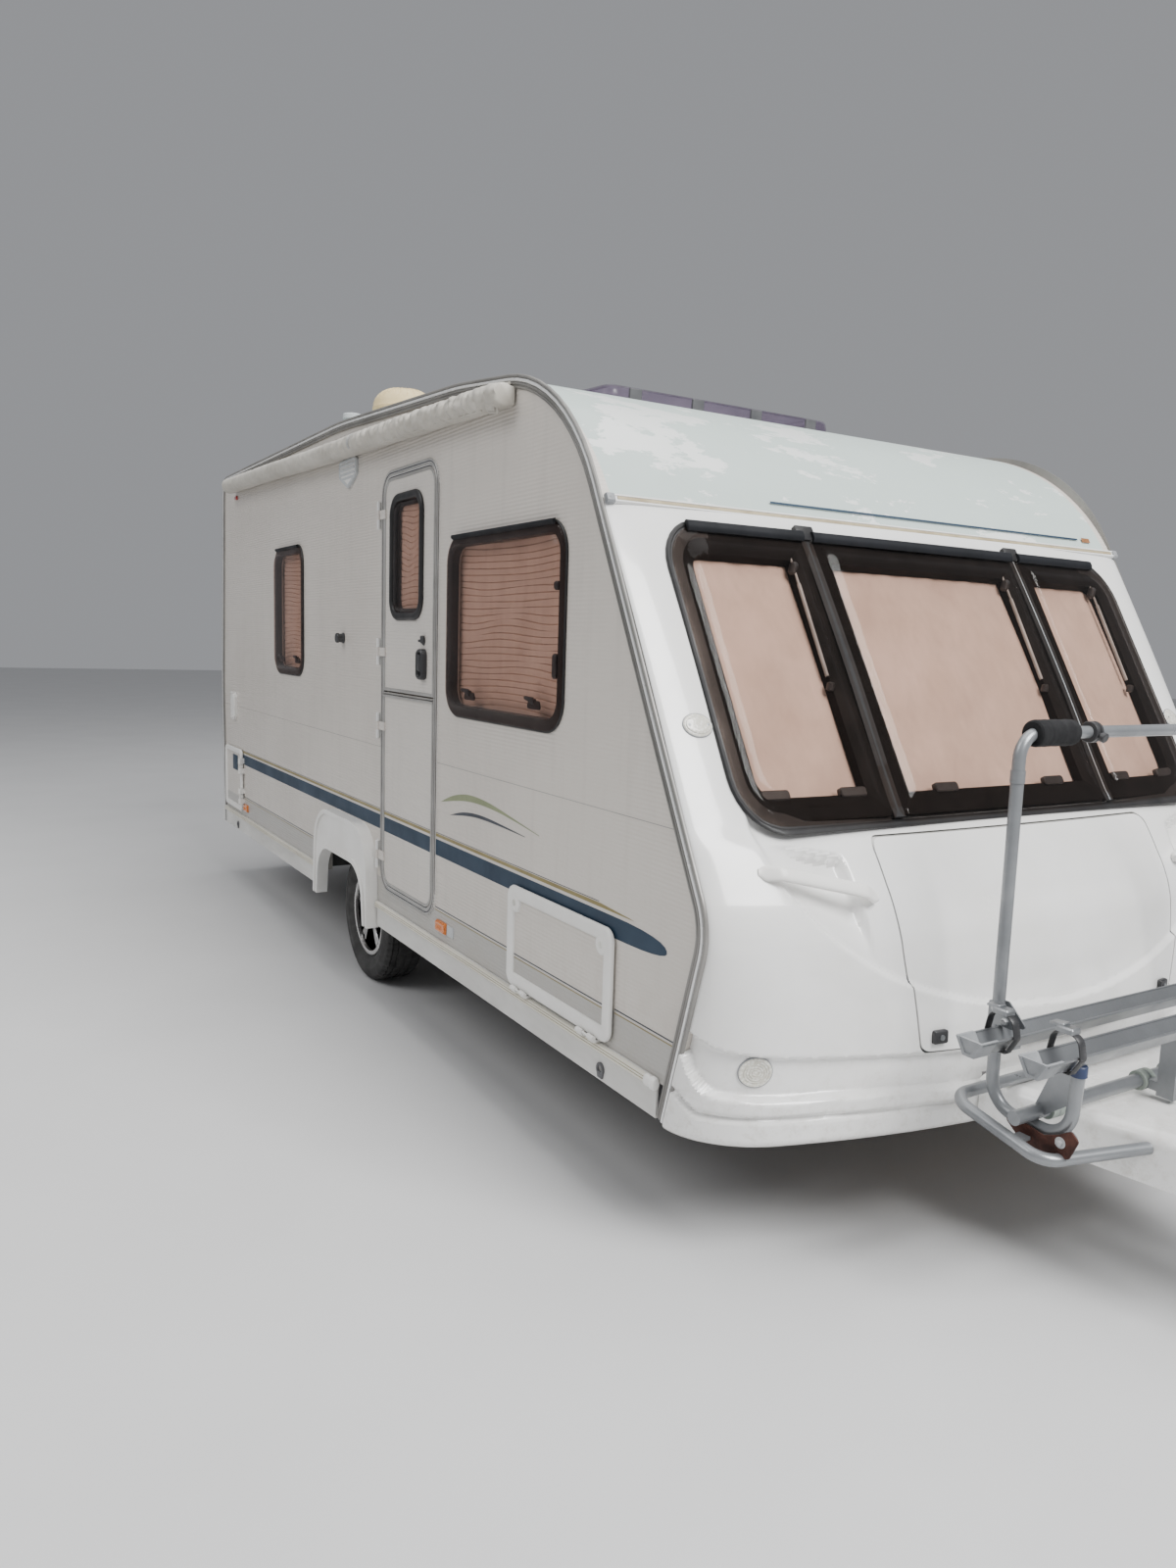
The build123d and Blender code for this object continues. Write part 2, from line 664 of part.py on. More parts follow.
# The two halves of the door, each with its hinge straps
leaf_inset = door_frame_face + panel_gap
door_halves = [("upper_door", "upper", door_split_z + panel_gap / 2 + 0.5, door_top),
               ("lower_door", "lower", door_bottom, door_split_z - panel_gap / 2 - 0.5)]
for name, half_name, low_edge, high_edge in door_halves:
    with BuildPart() as leaf:
        with BuildSketch(Plane.YZ.offset(-half_width - door_proud)):
            rounded(door_region, inset=leaf_inset)
            with Locations((0, (low_edge + high_edge) / 2)):
                Rectangle(1000, high_edge - low_edge, mode=Mode.INTERSECT)
            if half_name == "upper":
                rounded(door_window, inset=window_lap, mode=Mode.SUBTRACT)
        extrude(amount=wall)
        for half, low_z, high_z in door_hinges:
            if half == half_name:
                third = (high_z - low_z) / 3
                strap_z = (low_z + third + 0.5, low_z + 2 * third - 0.5)
                leaf_edge = door_rear_y - leaf_inset
                box_between((-half_width - 10, -half_width - 6), (leaf_edge - 16, door_hinge_y), strap_z)
                box_between((-half_width - 6, -half_width - door_proud), (leaf_edge - 16, leaf_edge - 1),
                            strap_z)
                add_moving_barrel(Plane.XY.move(Location((door_hinge_x, door_hinge_y, low_z))),
                                  high_z - low_z)
    save(leaf, name)

with BuildPart() as door_window_seal:
    with BuildSketch(Plane.YZ.offset(-half_width - door_proud - seal_depth)):
        rounded(door_window)
        rounded(door_window, inset=36, mode=Mode.SUBTRACT)
    extrude(amount=seal_depth)
save(door_window_seal, "door_window_seal")

with BuildPart() as door_window_pane:
    with BuildSketch(Plane.YZ.offset(-half_width - door_proud)):
        rounded(door_window, inset=window_lap + 0.5)
    extrude(amount=pane_thickness)
save(door_window_pane, "door_window_pane")

# Lever handle with its plug, which meets the catch on the wall when the door stands open
handle_y = -155
handle_z = 1435
catch_reach = 455
catch_z = 1519
handle_size = (62, 112)
handle_proud = 22
handle_pocket = (40, 52)
handle_pocket_depth = 9
plug_radius = 15
plug_proud = 10
door_face_x = -half_width - door_proud
with BuildPart() as door_handle:
    with BuildSketch(Plane.YZ.offset(door_face_x - handle_proud)):
        with Locations((handle_y, handle_z)):
            RectangleRounded(*handle_size, 22)
    extrude(amount=handle_proud)
    with BuildSketch(Plane.YZ.offset(door_face_x - handle_proud)):
        with Locations((handle_y, handle_z - handle_pocket[1] / 4)):
            RectangleRounded(*handle_pocket, 10)
    extrude(amount=handle_pocket_depth, mode=Mode.SUBTRACT)
    with BuildSketch(Plane.YZ.offset(door_face_x - plug_proud)):
        with Locations((door_hinge_y - catch_reach, catch_z)):
            Circle(plug_radius)
    extrude(amount=plug_proud)
save(door_handle, "door_handle")

# Small fittings on the walls: door catch, water inlet, shield vent, fridge vents
catch_radius = 17
catch_proud = 22
inlet_centre = (2813, 1090)
inlet_size = (96, 168)
inlet_proud = 14
shield_corners = [(579, 2265), (795, 2265), (795, 2195), (687, 2146), (579, 2195)]
shield_proud = 10
fridge_vent_y = 2350
fridge_vent_heights = (700, 1130)
fridge_vent_size = (480, 250)
fridge_vent_proud = 14
fridge_slot_pitch = 30
with BuildPart() as wall_fittings:
    with BuildSketch(Plane.YZ.offset(-half_width - catch_proud)):
        with Locations((door_hinge_y + catch_reach + 16, catch_z)):
            Circle(catch_radius)
    extrude(amount=catch_proud)
    with BuildSketch(Plane.YZ.offset(-half_width - inlet_proud)):
        with Locations(inlet_centre):
            RectangleRounded(*inlet_size, 40)
    extrude(amount=inlet_proud)
    with BuildSketch(Plane.YZ.offset(-half_width - shield_proud)):
        with BuildLine():
            FilletPolyline(*shield_corners, radius=18, close=True)
        make_face()
    extrude(amount=shield_proud)
    for vent_z in fridge_vent_heights:
        with BuildSketch(Plane.YZ.offset(half_width)):
            with Locations((fridge_vent_y, vent_z)):
                RectangleRounded(*fridge_vent_size, 20)
        extrude(amount=fridge_vent_proud)
        with BuildSketch(Plane.YZ.offset(half_width + fridge_vent_proud - 6)):
            with Locations((fridge_vent_y, vent_z)):
                with GridLocations(0, fridge_slot_pitch, 1, 6):
                    Rectangle(fridge_vent_size[0] - 80, 10)
        extrude(amount=6, mode=Mode.SUBTRACT)
save(wall_fittings, "wall_fittings")

# Lockers on the door side: a lining in the wall and a framed door that covers it
lining = 6
hatch_axis_x = -half_width - 26
hatch_flange = (-half_width - 18, -half_width - 6)
hatch_body_x = (-half_width - 6, -half_width + 22)
locker_hinge_z = side_locker[2] + 2
hatch_hinge_y = service_hatch[0] + 2
hatch_barrel = 90
hinge_arm = 5
locker_hinges = [side_locker[0] + 60, side_locker[1] - 60 - hatch_barrel]
hatch_hinges = [service_hatch[2] + 50, service_hatch[3] - 50 - hatch_barrel]
with BuildPart() as hatch_linings:
    for region in (side_locker, service_hatch):
        with BuildSketch(Plane.YZ.offset(-half_width - 2)):
            rounded(region, inset=12)
            rounded(region, inset=12 + lining, mode=Mode.SUBTRACT)
        extrude(amount=wall)
    for start_y in locker_hinges:
        for knuckle_y in (start_y, start_y + 2 * hatch_barrel / 3):
            box_between((hatch_axis_x, -half_width), (knuckle_y, knuckle_y + hatch_barrel / 3),
                        (side_bottom + skirt_lap + 1.5, locker_hinge_z - hinge_arm))
        add_fixed_barrel(Plane(origin=(hatch_axis_x, start_y, locker_hinge_z), z_dir=(0, 1, 0)), hatch_barrel)
    for start_z in hatch_hinges:
        for knuckle_z in (start_z, start_z + 2 * hatch_barrel / 3):
            box_between((hatch_axis_x, -half_width), (hatch_hinge_y - 16, hatch_hinge_y - hinge_arm),
                        (knuckle_z, knuckle_z + hatch_barrel / 3))
        add_fixed_barrel(Plane.XY.move(Location((hatch_axis_x, hatch_hinge_y, start_z))), hatch_barrel)
save(hatch_linings, "hatch_linings")

for name, region in (("side_locker_door", side_locker), ("service_hatch_door", service_hatch)):
    with BuildPart() as hatch:
        with BuildSketch(Plane.YZ.offset(hatch_flange[0])):
            rounded(region)
        extrude(amount=hatch_flange[1] - hatch_flange[0])
        with BuildSketch(Plane.YZ.offset(hatch_flange[0])):
            rounded(region, inset=hatch_frame_face)
            if name == "side_locker_door":
                for lock_y in (region[0] + lock_inset, region[1] - lock_inset):
                    with Locations((lock_y, region[3] - lock_inset)):
                        Circle(lock_boss_radius, mode=Mode.SUBTRACT)
        extrude(amount=hatch_frame_proud, mode=Mode.SUBTRACT)
        with BuildSketch(Plane.YZ.offset(hatch_body_x[0])):
            rounded(region, inset=12 + lining + panel_gap)
        extrude(amount=hatch_body_x[1] - hatch_body_x[0])
        if name == "side_locker_door":
            for start_y in locker_hinges:
                box_between((hatch_axis_x, hatch_flange[0]),
                            (start_y + hatch_barrel / 3 + 0.5, start_y + 2 * hatch_barrel / 3 - 0.5),
                            (locker_hinge_z, locker_hinge_z + knuckle_radius))
                add_moving_barrel(Plane(origin=(hatch_axis_x, start_y, locker_hinge_z), z_dir=(0, 1, 0)),
                                  hatch_barrel)
        else:
            for start_z in hatch_hinges:
                box_between((hatch_axis_x, hatch_flange[0]), (hatch_hinge_y, hatch_hinge_y + knuckle_radius),
                            (start_z + hatch_barrel / 3 + 0.5, start_z + 2 * hatch_barrel / 3 - 0.5))
                add_moving_barrel(Plane.XY.move(Location((hatch_axis_x, hatch_hinge_y, start_z))),
                                  hatch_barrel)
    save(hatch, name)

# Gas locker behind the front lid: floor, shelf, back and cheeks
locker_board = 12
locker_half_width = 640
locker_outer = locker_half_width + locker_board
locker_top = 1040
locker_back_y = -1560
with BuildPart() as gas_locker_box:
    for x_range, y_range, z_range in (
            ((-locker_half_width, locker_half_width), (-1985, floor_front_y - 0.5),
             (rail_top, rail_top + locker_board)),
            ((-locker_half_width, locker_half_width), (locker_back_y - locker_board, locker_back_y),
             (floor_top, locker_top)),
            ((-locker_outer, locker_outer), (-1745, locker_back_y), (locker_top, locker_top + locker_board)),
            ((-locker_outer, -locker_half_width), (-1800, locker_back_y), (floor_top, locker_top)),
            ((locker_half_width, locker_outer), (-1800, locker_back_y), (floor_top, locker_top))):
        box_between(x_range, y_range, z_range)
    add(front_core, mode=Mode.INTERSECT)
save(gas_locker_box, "gas_locker_box")

# Chassis: two folded side rails that close in to the coupling, and the members between them
rail_kink_y = -1000
rail_nose_x = 55
rail_nose_y = coupling_y + 150
rail_rear_y = 2950


def add_rail_strip(side, width, bottom, height):
    """Strip of one rail in plan, from its outer face inwards, raised to a height."""
    with BuildSketch(Plane.XY.offset(bottom)) as strip:
        with BuildLine():
            Polyline((side * rail_x, rail_rear_y), (side * rail_x, rail_kink_y),
                     (side * rail_nose_x, rail_nose_y), (side * (rail_nose_x - width), rail_nose_y),
                     (side * (rail_x - width), rail_kink_y),
                     (side * (rail_x - width), rail_rear_y), close=True)
        make_face()
    extrude(strip.sketch, amount=height)


rails = {}
for side, name in ((-1, "chassis_rail_door_side"), (1, "chassis_rail_far_side")):
    with BuildPart() as rail:
        add_rail_strip(side, rail_sheet, rail_top - rail_height, rail_height)
        add_rail_strip(side, rail_flange, rail_top - rail_sheet, rail_sheet)
        add_rail_strip(side, rail_flange, rail_top - rail_height, rail_sheet)
    rails[side] = rail.part
    save(rail, name)

web_x = rail_x - rail_sheet
flange_gap = rail_height - 2 * rail_sheet
with BuildPart() as cross_members:
    for member_y in (-980, 1500, 2880):
        box_between((-web_x, web_x), (member_y - 20, member_y + 20),
                    (rail_top - rail_sheet - flange_gap + 0.5, rail_top - rail_sheet - 0.5))
save(cross_members, "cross_members")

# Axle tube with its trailing arms, stub axles and back plates
axle_tube_radius = 44
axle_tube_y = axle_y - 140
axle_tube_z = 330
axle_tube_half = 805
arm_thickness = 30
stub_radius = 14
drum_inner_x = 850
with BuildPart() as axle_tube:
    with BuildSketch(Plane.YZ.offset(-axle_tube_half)):
        with Locations((axle_tube_y, axle_tube_z)):
            RegularPolygon(axle_tube_radius, 6, major_radius=False)
    extrude(amount=2 * axle_tube_half)
    for side in (-1, 1):
        edges = sorted((side * (rail_x - rail_flange), side * rail_x))
        box_between(edges, (axle_tube_y - 60, axle_tube_y + 60), (axle_tube_z + 30, rail_top - rail_height))
save(axle_tube, "axle_tube")

with BuildPart() as swing_arms:
    for side in (-1, 1):
        near = side * axle_tube_half
        far = side * (axle_tube_half + arm_thickness)
        with BuildSketch(Plane.YZ.offset(min(near, far))):
            with Locations((axle_tube_y, axle_tube_z)):
                Circle(44)
            with Locations((axle_y, wheel_radius)):
                Circle(34)
            with BuildLine():
                Polyline((axle_tube_y, axle_tube_z + 40), (axle_y, wheel_radius + 32),
                         (axle_y, wheel_radius - 32), (axle_tube_y, axle_tube_z - 40), close=True)
            make_face()
        extrude(amount=arm_thickness)
        plate = side * (axle_tube_half + arm_thickness + 6)
        with BuildSketch(Plane.YZ.offset(min(far, plate))):
            with Locations((axle_y, wheel_radius)):
                Circle(102)
        extrude(amount=6)
        stub_end = side * (tyre_centre_x + 28)
        with BuildSketch(Plane.YZ.offset(min(far, stub_end))):
            with Locations((axle_y, wheel_radius)):
                Circle(stub_radius)
        extrude(amount=abs(stub_end - far))
save(swing_arms, "swing_arms")

# Wheels: tyre, and a five-spoke rim with its brake drum
bead_half = 68
bead_radius = rim_radius + 0.3
rim_lip = 5
rim_face_x = 40
spoke_count = 5
spoke_thickness = 14
spoke_root = 40
spoke_root_half = 34
spoke_tip = rim_radius - 5
spoke_tip_half = 22
hub_disc_radius = 66
hub_cap_radius = 30
hub_cap_proud = 8
bolt_circle_radius = 50
bolt_radius = 9
bolt_proud = 7
for side, side_name in ((-1, "door_side"), (1, "far_side")):
    centre = Location((side * tyre_centre_x, axle_y, wheel_radius))
    half_tyre = tyre_width / 2
    tread_half = half_tyre - 28
    shoulder_x = half_tyre - 10
    shoulder_z = wheel_radius - 14
    with BuildPart() as tyre:
        with BuildSketch(Plane.XZ):
            with BuildLine():
                Polyline((-shoulder_x, shoulder_z), (-tread_half, wheel_radius), (tread_half, wheel_radius),
                         (shoulder_x, shoulder_z))
                Polyline((shoulder_x, shoulder_z), (half_tyre - 2, bead_radius + 82),
                         (half_tyre, bead_radius + 55), (half_tyre - 7, bead_radius + 32),
                         (bead_half, bead_radius + 14), (bead_half, bead_radius),
                         (-bead_half, bead_radius), (-bead_half, bead_radius + 14),
                         (7 - half_tyre, bead_radius + 32), (-half_tyre, bead_radius + 55),
                         (2 - half_tyre, bead_radius + 82), (-shoulder_x, shoulder_z))
            make_face()
        revolve(axis=Axis.X)
    tyre.part.label = f"{side_name}_tyre"
    export_step(tyre.part.moved(centre), f"parts/{side_name}_tyre.step")

    with BuildPart() as rim:
        with BuildSketch(Plane.XZ):
            with Locations((0, rim_radius - 4)):
                Rectangle(2 * bead_half + 4, 8)
            for lip_side in (-1, 1):
                with Locations((lip_side * (bead_half + 1 + rim_lip / 2), rim_radius)):
                    Rectangle(rim_lip, 16)
        revolve(axis=Axis.X)
        low = min(side * rim_face_x, side * (rim_face_x + spoke_thickness))
        with BuildSketch(Plane.YZ.offset(low)):
            Circle(hub_disc_radius)
            with BuildLine():
                Polyline((spoke_root, spoke_root_half), (spoke_tip, spoke_tip_half),
                         (spoke_tip, -spoke_tip_half), (spoke_root, -spoke_root_half), close=True)
            spoke = make_face(mode=Mode.PRIVATE)
            with PolarLocations(0, spoke_count, start_angle=90):
                add(spoke)
        extrude(amount=spoke_thickness)
        drum_low = min(side * (rim_face_x + 1), side * (drum_inner_x - tyre_centre_x))
        with BuildSketch(Plane.YZ.offset(drum_low)):
            Circle(98)
        extrude(amount=rim_face_x + 1 - drum_inner_x + tyre_centre_x)
        with BuildSketch(Plane.YZ.offset(-100)):
            Circle(stub_radius + running_clearance)
        extrude(amount=200, mode=Mode.SUBTRACT)
        cap_faces = (side * rim_face_x, side * (rim_face_x + spoke_thickness + hub_cap_proud))
        with BuildSketch(Plane.YZ.offset(min(cap_faces))):
            Circle(hub_cap_radius)
        extrude(amount=spoke_thickness + hub_cap_proud)
        spoke_face = rim_face_x + spoke_thickness
        with BuildSketch(Plane.YZ.offset(min(side * spoke_face, side * (spoke_face + bolt_proud)))):
            with PolarLocations(bolt_circle_radius, spoke_count, start_angle=90 + 180 / spoke_count):
                RegularPolygon(bolt_radius, 6)
        extrude(amount=bolt_proud)
    rim.part.label = f"{side_name}_rim"
    export_step(rim.part.moved(centre), f"parts/{side_name}_rim.step")

# Lamps, reflectors and grab handles on the front
marker_centre = (1009, 1337)
marker_radii = (40, 27)
marker_proud = 9
reflector_centre = (975, 519)
reflector_radius = 38
reflector_proud = 6
side_lamp_places = (-343, 2557)
side_lamp_size = (76, 36)
side_lamp_z = 500
side_lamp_proud = 12
with BuildPart() as reflectors:
    with BuildSketch(front_plane):
        for side in (-1, 1):
            with Locations((side * reflector_centre[0], reflector_centre[1])):
                Circle(reflector_radius)
    extrude(amount=-front_reach)
    add(set_back(band_set_back - reflector_proud), mode=Mode.INTERSECT)

with BuildPart() as marker_lamps:
    with BuildSketch(front_plane):
        for side in (-1, 1):
            with Locations((side * marker_centre[0], marker_centre[1])):
                Ellipse(*marker_radii)
    extrude(amount=-front_reach)
    add(set_back(-marker_proud), mode=Mode.INTERSECT)
    add(reflectors.part)
    add(front_form.part, mode=Mode.SUBTRACT)
    for side in (-1, 1):
        edges = sorted((side * half_width, side * (half_width + side_lamp_proud)))
        for lamp_y in side_lamp_places:
            box_between(edges, (lamp_y - side_lamp_size[0] / 2, lamp_y + side_lamp_size[0] / 2),
                        (side_lamp_z - side_lamp_size[1] / 2, side_lamp_z + side_lamp_size[1] / 2))
save(marker_lamps, "marker_lamps")

# Each grab handle is a bar across its recess, on a foot at each end
grab_centre = (802, 966)
grab_length = 334
grab_height = 34
grab_slope = 13
grab_proud = 30
grab_bar = 16
grab_foot = 42
with BuildPart() as finger_gaps:
    with BuildSketch(front_plane):
        for side in (-1, 1):
            with Locations((side * grab_centre[0], grab_centre[1])):
                Rectangle(grab_length - 2 * grab_foot, 3 * grab_height, rotation=side * grab_slope)
    extrude(amount=-front_reach)
    add(set_back(grab_bar - grab_proud), mode=Mode.INTERSECT)

with BuildPart() as grab_handles:
    with BuildSketch(front_plane):
        for side in (-1, 1):
            with Locations((side * grab_centre[0], grab_centre[1])):
                SlotOverall(grab_length, grab_height, rotation=side * grab_slope)
    extrude(amount=-front_reach)
    add(set_back(-grab_proud), mode=Mode.INTERSECT)
    add(front_form.part, mode=Mode.SUBTRACT)
    add(finger_gaps.part, mode=Mode.SUBTRACT)
save(grab_handles, "grab_handles")

# Rear: bumper moulding and lamp clusters
rear_lamp_centre = (985, 640)
rear_lamp_size = (110, 300)
rear_lamp_reach = (3000, 3160)
with BuildPart() as rear_bumper:
    with BuildSketch(Plane.YZ.offset(-half_width)):
        with BuildLine():
            FilletPolyline((3060, 345), (3060, 400), (3104, 400), (3106, 470), (3150, 460), (3170, 400),
                           (3165, 345), radius=8)
            Line((3165, 345), (3060, 345))
        make_face()
        add(side_profile.sketch, mode=Mode.SUBTRACT)
    extrude(amount=2 * half_width)
save(rear_bumper, "rear_bumper")

with BuildPart() as rear_lamps:
    for side in (-1, 1):
        with BuildSketch(Plane.XZ.offset(-rear_lamp_reach[0])):
            with Locations((side * rear_lamp_centre[0], rear_lamp_centre[1])):
                RectangleRounded(*rear_lamp_size, 30)
        extrude(amount=rear_lamp_reach[0] - rear_lamp_reach[1])
    add(body_prism.part, mode=Mode.SUBTRACT)
save(rear_lamps, "rear_lamps")

# Rooflight on the sloping part of the roof
roof_slope = 3.164
rooflight_y = -95
rooflight_z = 2383.6
rooflight_width = 1080
rooflight_length = 700
rooflight_frame_height = 44
rooflight_lid_height = 26
rooflight_sheet = 4
roof_tilt = Plane(origin=(0, rooflight_y, rooflight_z), x_dir=(1, 0, 0),
                  z_dir=(0, -sin(radians(roof_slope)), cos(radians(roof_slope))))
roof_hinge_y = rooflight_length / 2 + 12
roof_hinge_height = rooflight_frame_height + 2
roof_hinges = (-380, 260)
roof_barrel = 120


def roof_hinge_plane(start_x):
    """Plane whose normal runs along the rooflight's hinge, from one end of a barrel."""
    return Plane(roof_tilt.location * Location((start_x, roof_hinge_y, roof_hinge_height), (0, 90, 0)))


with BuildPart() as rooflight_frame:
    with BuildSketch(roof_tilt.offset(-20)):
        RectangleRounded(rooflight_width, rooflight_length, 50)
        RectangleRounded(rooflight_width - 90, rooflight_length - 90, 30, mode=Mode.SUBTRACT)
    extrude(amount=20 + rooflight_frame_height)
    for start_x in roof_hinges:
        for knuckle_x in (start_x, start_x + roof_barrel * 2 / 3):
            with BuildSketch(roof_tilt):
                with Locations((knuckle_x + roof_barrel / 6, rooflight_length / 2 + 8)):
                    Rectangle(roof_barrel / 3, 16)
            extrude(amount=roof_hinge_height)
        add_fixed_barrel(roof_hinge_plane(start_x), roof_barrel)
    add(body_prism.part, mode=Mode.SUBTRACT)
save(rooflight_frame, "rooflight_frame")

with BuildPart() as rooflight_lid:
    with BuildSketch(roof_tilt.offset(rooflight_frame_height + 0.3)):
        RectangleRounded(rooflight_width, rooflight_length, 50)
    extrude(amount=rooflight_lid_height)
    with BuildSketch(roof_tilt.offset(rooflight_frame_height + 0.3)):
        RectangleRounded(rooflight_width - 60, rooflight_length - 60, 30)
    extrude(amount=rooflight_lid_height - rooflight_sheet, mode=Mode.SUBTRACT)
    for start_x in roof_hinges:
        with BuildSketch(roof_tilt.offset(roof_hinge_height + 2)):
            with Locations((start_x + roof_barrel / 2, rooflight_length / 2 + 4)):
                Rectangle(roof_barrel / 3 - 1, 16)
        extrude(amount=5)
        add_moving_barrel(roof_hinge_plane(start_x), roof_barrel)
save(rooflight_lid, "rooflight_lid")

# Round vent with its domed cover, and the flue, on the roof by the door
vent_x = -860
flue_x = -880
flue_y = 1310
roof_vent_z = 2427
vent_y = 690
vent_radius = 134
vent_neck_radius = 95
vent_neck_height = 60
vent_dome_height = 93
vent_dome_round = 62
flue_radius = 32
flue_height = 70
flue_cap_radius = 46
flue_cap_height = 22
roof_sink = 20
with BuildPart() as roof_vents:
    with BuildSketch(Plane.XY.offset(roof_vent_z + vent_neck_height)):
        with Locations((vent_x, vent_y)):
            Circle(vent_radius)
    extrude(amount=vent_dome_height)
    fillet(roof_vents.edges().group_by(Axis.Z)[-1], vent_dome_round)
    with BuildSketch(Plane.XY.offset(roof_vent_z - roof_sink)):
        with Locations((vent_x, vent_y)):
            Circle(vent_neck_radius)
    extrude(amount=vent_neck_height + roof_sink)
    with BuildSketch(Plane.XY.offset(roof_vent_z - roof_sink)):
        with Locations((flue_x, flue_y)):
            Circle(flue_radius)
    extrude(amount=flue_height + roof_sink)
    with BuildSketch(Plane.XY.offset(roof_vent_z + flue_height)):
        with Locations((flue_x, flue_y)):
            Circle(flue_cap_radius)
    extrude(amount=flue_cap_height)
    add(body_prism.part, mode=Mode.SUBTRACT)
save(roof_vents, "roof_vents")

# Awning rolled up in its bag, along the top of the door side
bag_start = Vector(0, -850, 2259)
bag_end = Vector(0, 2724, 2366)
bag_depth = 88
bag_height = 84
bag_gap = 0.3
bag_inner_x = -half_width - bag_gap
with BuildPart() as awning_bag:
    with BuildSketch(Plane(origin=bag_start, x_dir=(1, 0, 0), z_dir=bag_end - bag_start)):
        with Locations((bag_inner_x - bag_depth / 2, 0)):
            RectangleRounded(bag_depth, bag_height, 36)
    extrude(amount=(bag_end - bag_start).length)
    with BuildSketch(Plane.YZ.offset(-half_width - trim_proud - bag_gap)):
        add(trim_outer.sketch)
        add(trim_inner.sketch, mode=Mode.SUBTRACT)
    extrude(amount=trim_proud + bag_gap, mode=Mode.SUBTRACT)
save(awning_bag, "awning_bag")

# Moulded cover over the drawbar: an open-bottomed shell that narrows to the coupling
cover_sections = [(-2090, 364, 455), (-2360, 307, 452), (coupling_y + 420, 238, 462)]
cover_bottom = 335
cover_sheet = 4


def cover_loft(shrink, bottom):
    """Drawbar cover's outer form, smaller by shrink on the sides and top."""
    with BuildPart() as body:
        for section_y, half, top in cover_sections:
            with BuildSketch(Plane.XZ.offset(-section_y)):
                with BuildLine():
                    FilletPolyline((-half + shrink, bottom), (-half + shrink + 12, top - shrink),
                                   (half - shrink - 12, top - shrink), (half - shrink, bottom),
                                   radius=36 - shrink)
                    Line((half - shrink, bottom), (-half + shrink, bottom))
                make_face()
        loft(ruled=True)
    return body.part


with BuildPart() as drawbar_cover:
    add(cover_loft(0, cover_bottom))
    add(cover_loft(cover_sheet, cover_bottom - 1), mode=Mode.SUBTRACT)
    add(front_form.part, mode=Mode.SUBTRACT)
    for rail in rails.values():
        add(rail, mode=Mode.SUBTRACT)
save(drawbar_cover, "drawbar_cover")

# Coupling: overrun unit between the rails, its shaft, and the ball head
overrun_y = rail_nose_y + 10
overrun_length = 210
overrun_gap = 6
shaft_radius = 26
shaft_z = coupling_height - 10
head_radius = 40
head_bottom = coupling_height - 18
head_height = 58
head_top = head_bottom + head_height
ball_socket_depth = 40
bellows_radius = 33
bellows_fold = 8
bellows_count = 4
with BuildPart() as coupling_head:
    box_between((-rail_nose_x + overrun_gap, rail_nose_x - overrun_gap),
                (overrun_y, overrun_y + overrun_length),
                (rail_top - rail_height + overrun_gap, rail_top - overrun_gap))
    with BuildSketch(Plane.XZ.offset(-overrun_y)):
        with Locations((0, shaft_z)):
            Circle(shaft_radius)
    extrude(amount=overrun_y - coupling_y - 60)
    for fold in range(bellows_count):
        with BuildSketch(Plane.XZ.offset(-rail_nose_y + 1 + 2 * fold * bellows_fold)):
            with Locations((0, shaft_z)):
                Circle(bellows_radius)
        extrude(amount=bellows_fold)
    with BuildSketch(Plane.XY.offset(head_bottom)):
        with Locations((0, coupling_y)):
            Circle(head_radius)
        with Locations((0, coupling_y + 40)):
            Rectangle(56, 80)
    extrude(amount=head_height)
    with BuildSketch(Plane.XY.offset(head_bottom)):
        with Locations((0, coupling_y)):
            Circle(ball_radius + ball_clearance)
    extrude(amount=ball_socket_depth, mode=Mode.SUBTRACT)
    with BuildSketch(Plane.YZ.offset(-20)):
        with BuildLine():
            Polyline((coupling_y - 10, head_top - 2), (coupling_y + 20, head_top + 22),
                     (coupling_y + 125, head_top + 40), (coupling_y + 128, head_top + 28),
                     (coupling_y + 50, head_top - 2), close=True)
        make_face()
    extrude(amount=40)
save(coupling_head, "coupling_head")

lever_foot_y = coupling_y + 210
lever_foot_z = rail_top - overrun_gap + 0.5
with BuildPart() as handbrake_lever:
    with BuildSketch(Plane.YZ.offset(-8)):
        with BuildLine():
            FilletPolyline((lever_foot_y, lever_foot_z), (lever_foot_y, 480), (lever_foot_y + 155, 560),
                           (lever_foot_y + 165, 530), (lever_foot_y + 40, 460),
                           (lever_foot_y + 40, lever_foot_z), radius=8)
            Line((lever_foot_y + 40, lever_foot_z), (lever_foot_y, lever_foot_z))
        make_face()
    extrude(amount=16)
save(handbrake_lever, "handbrake_lever")

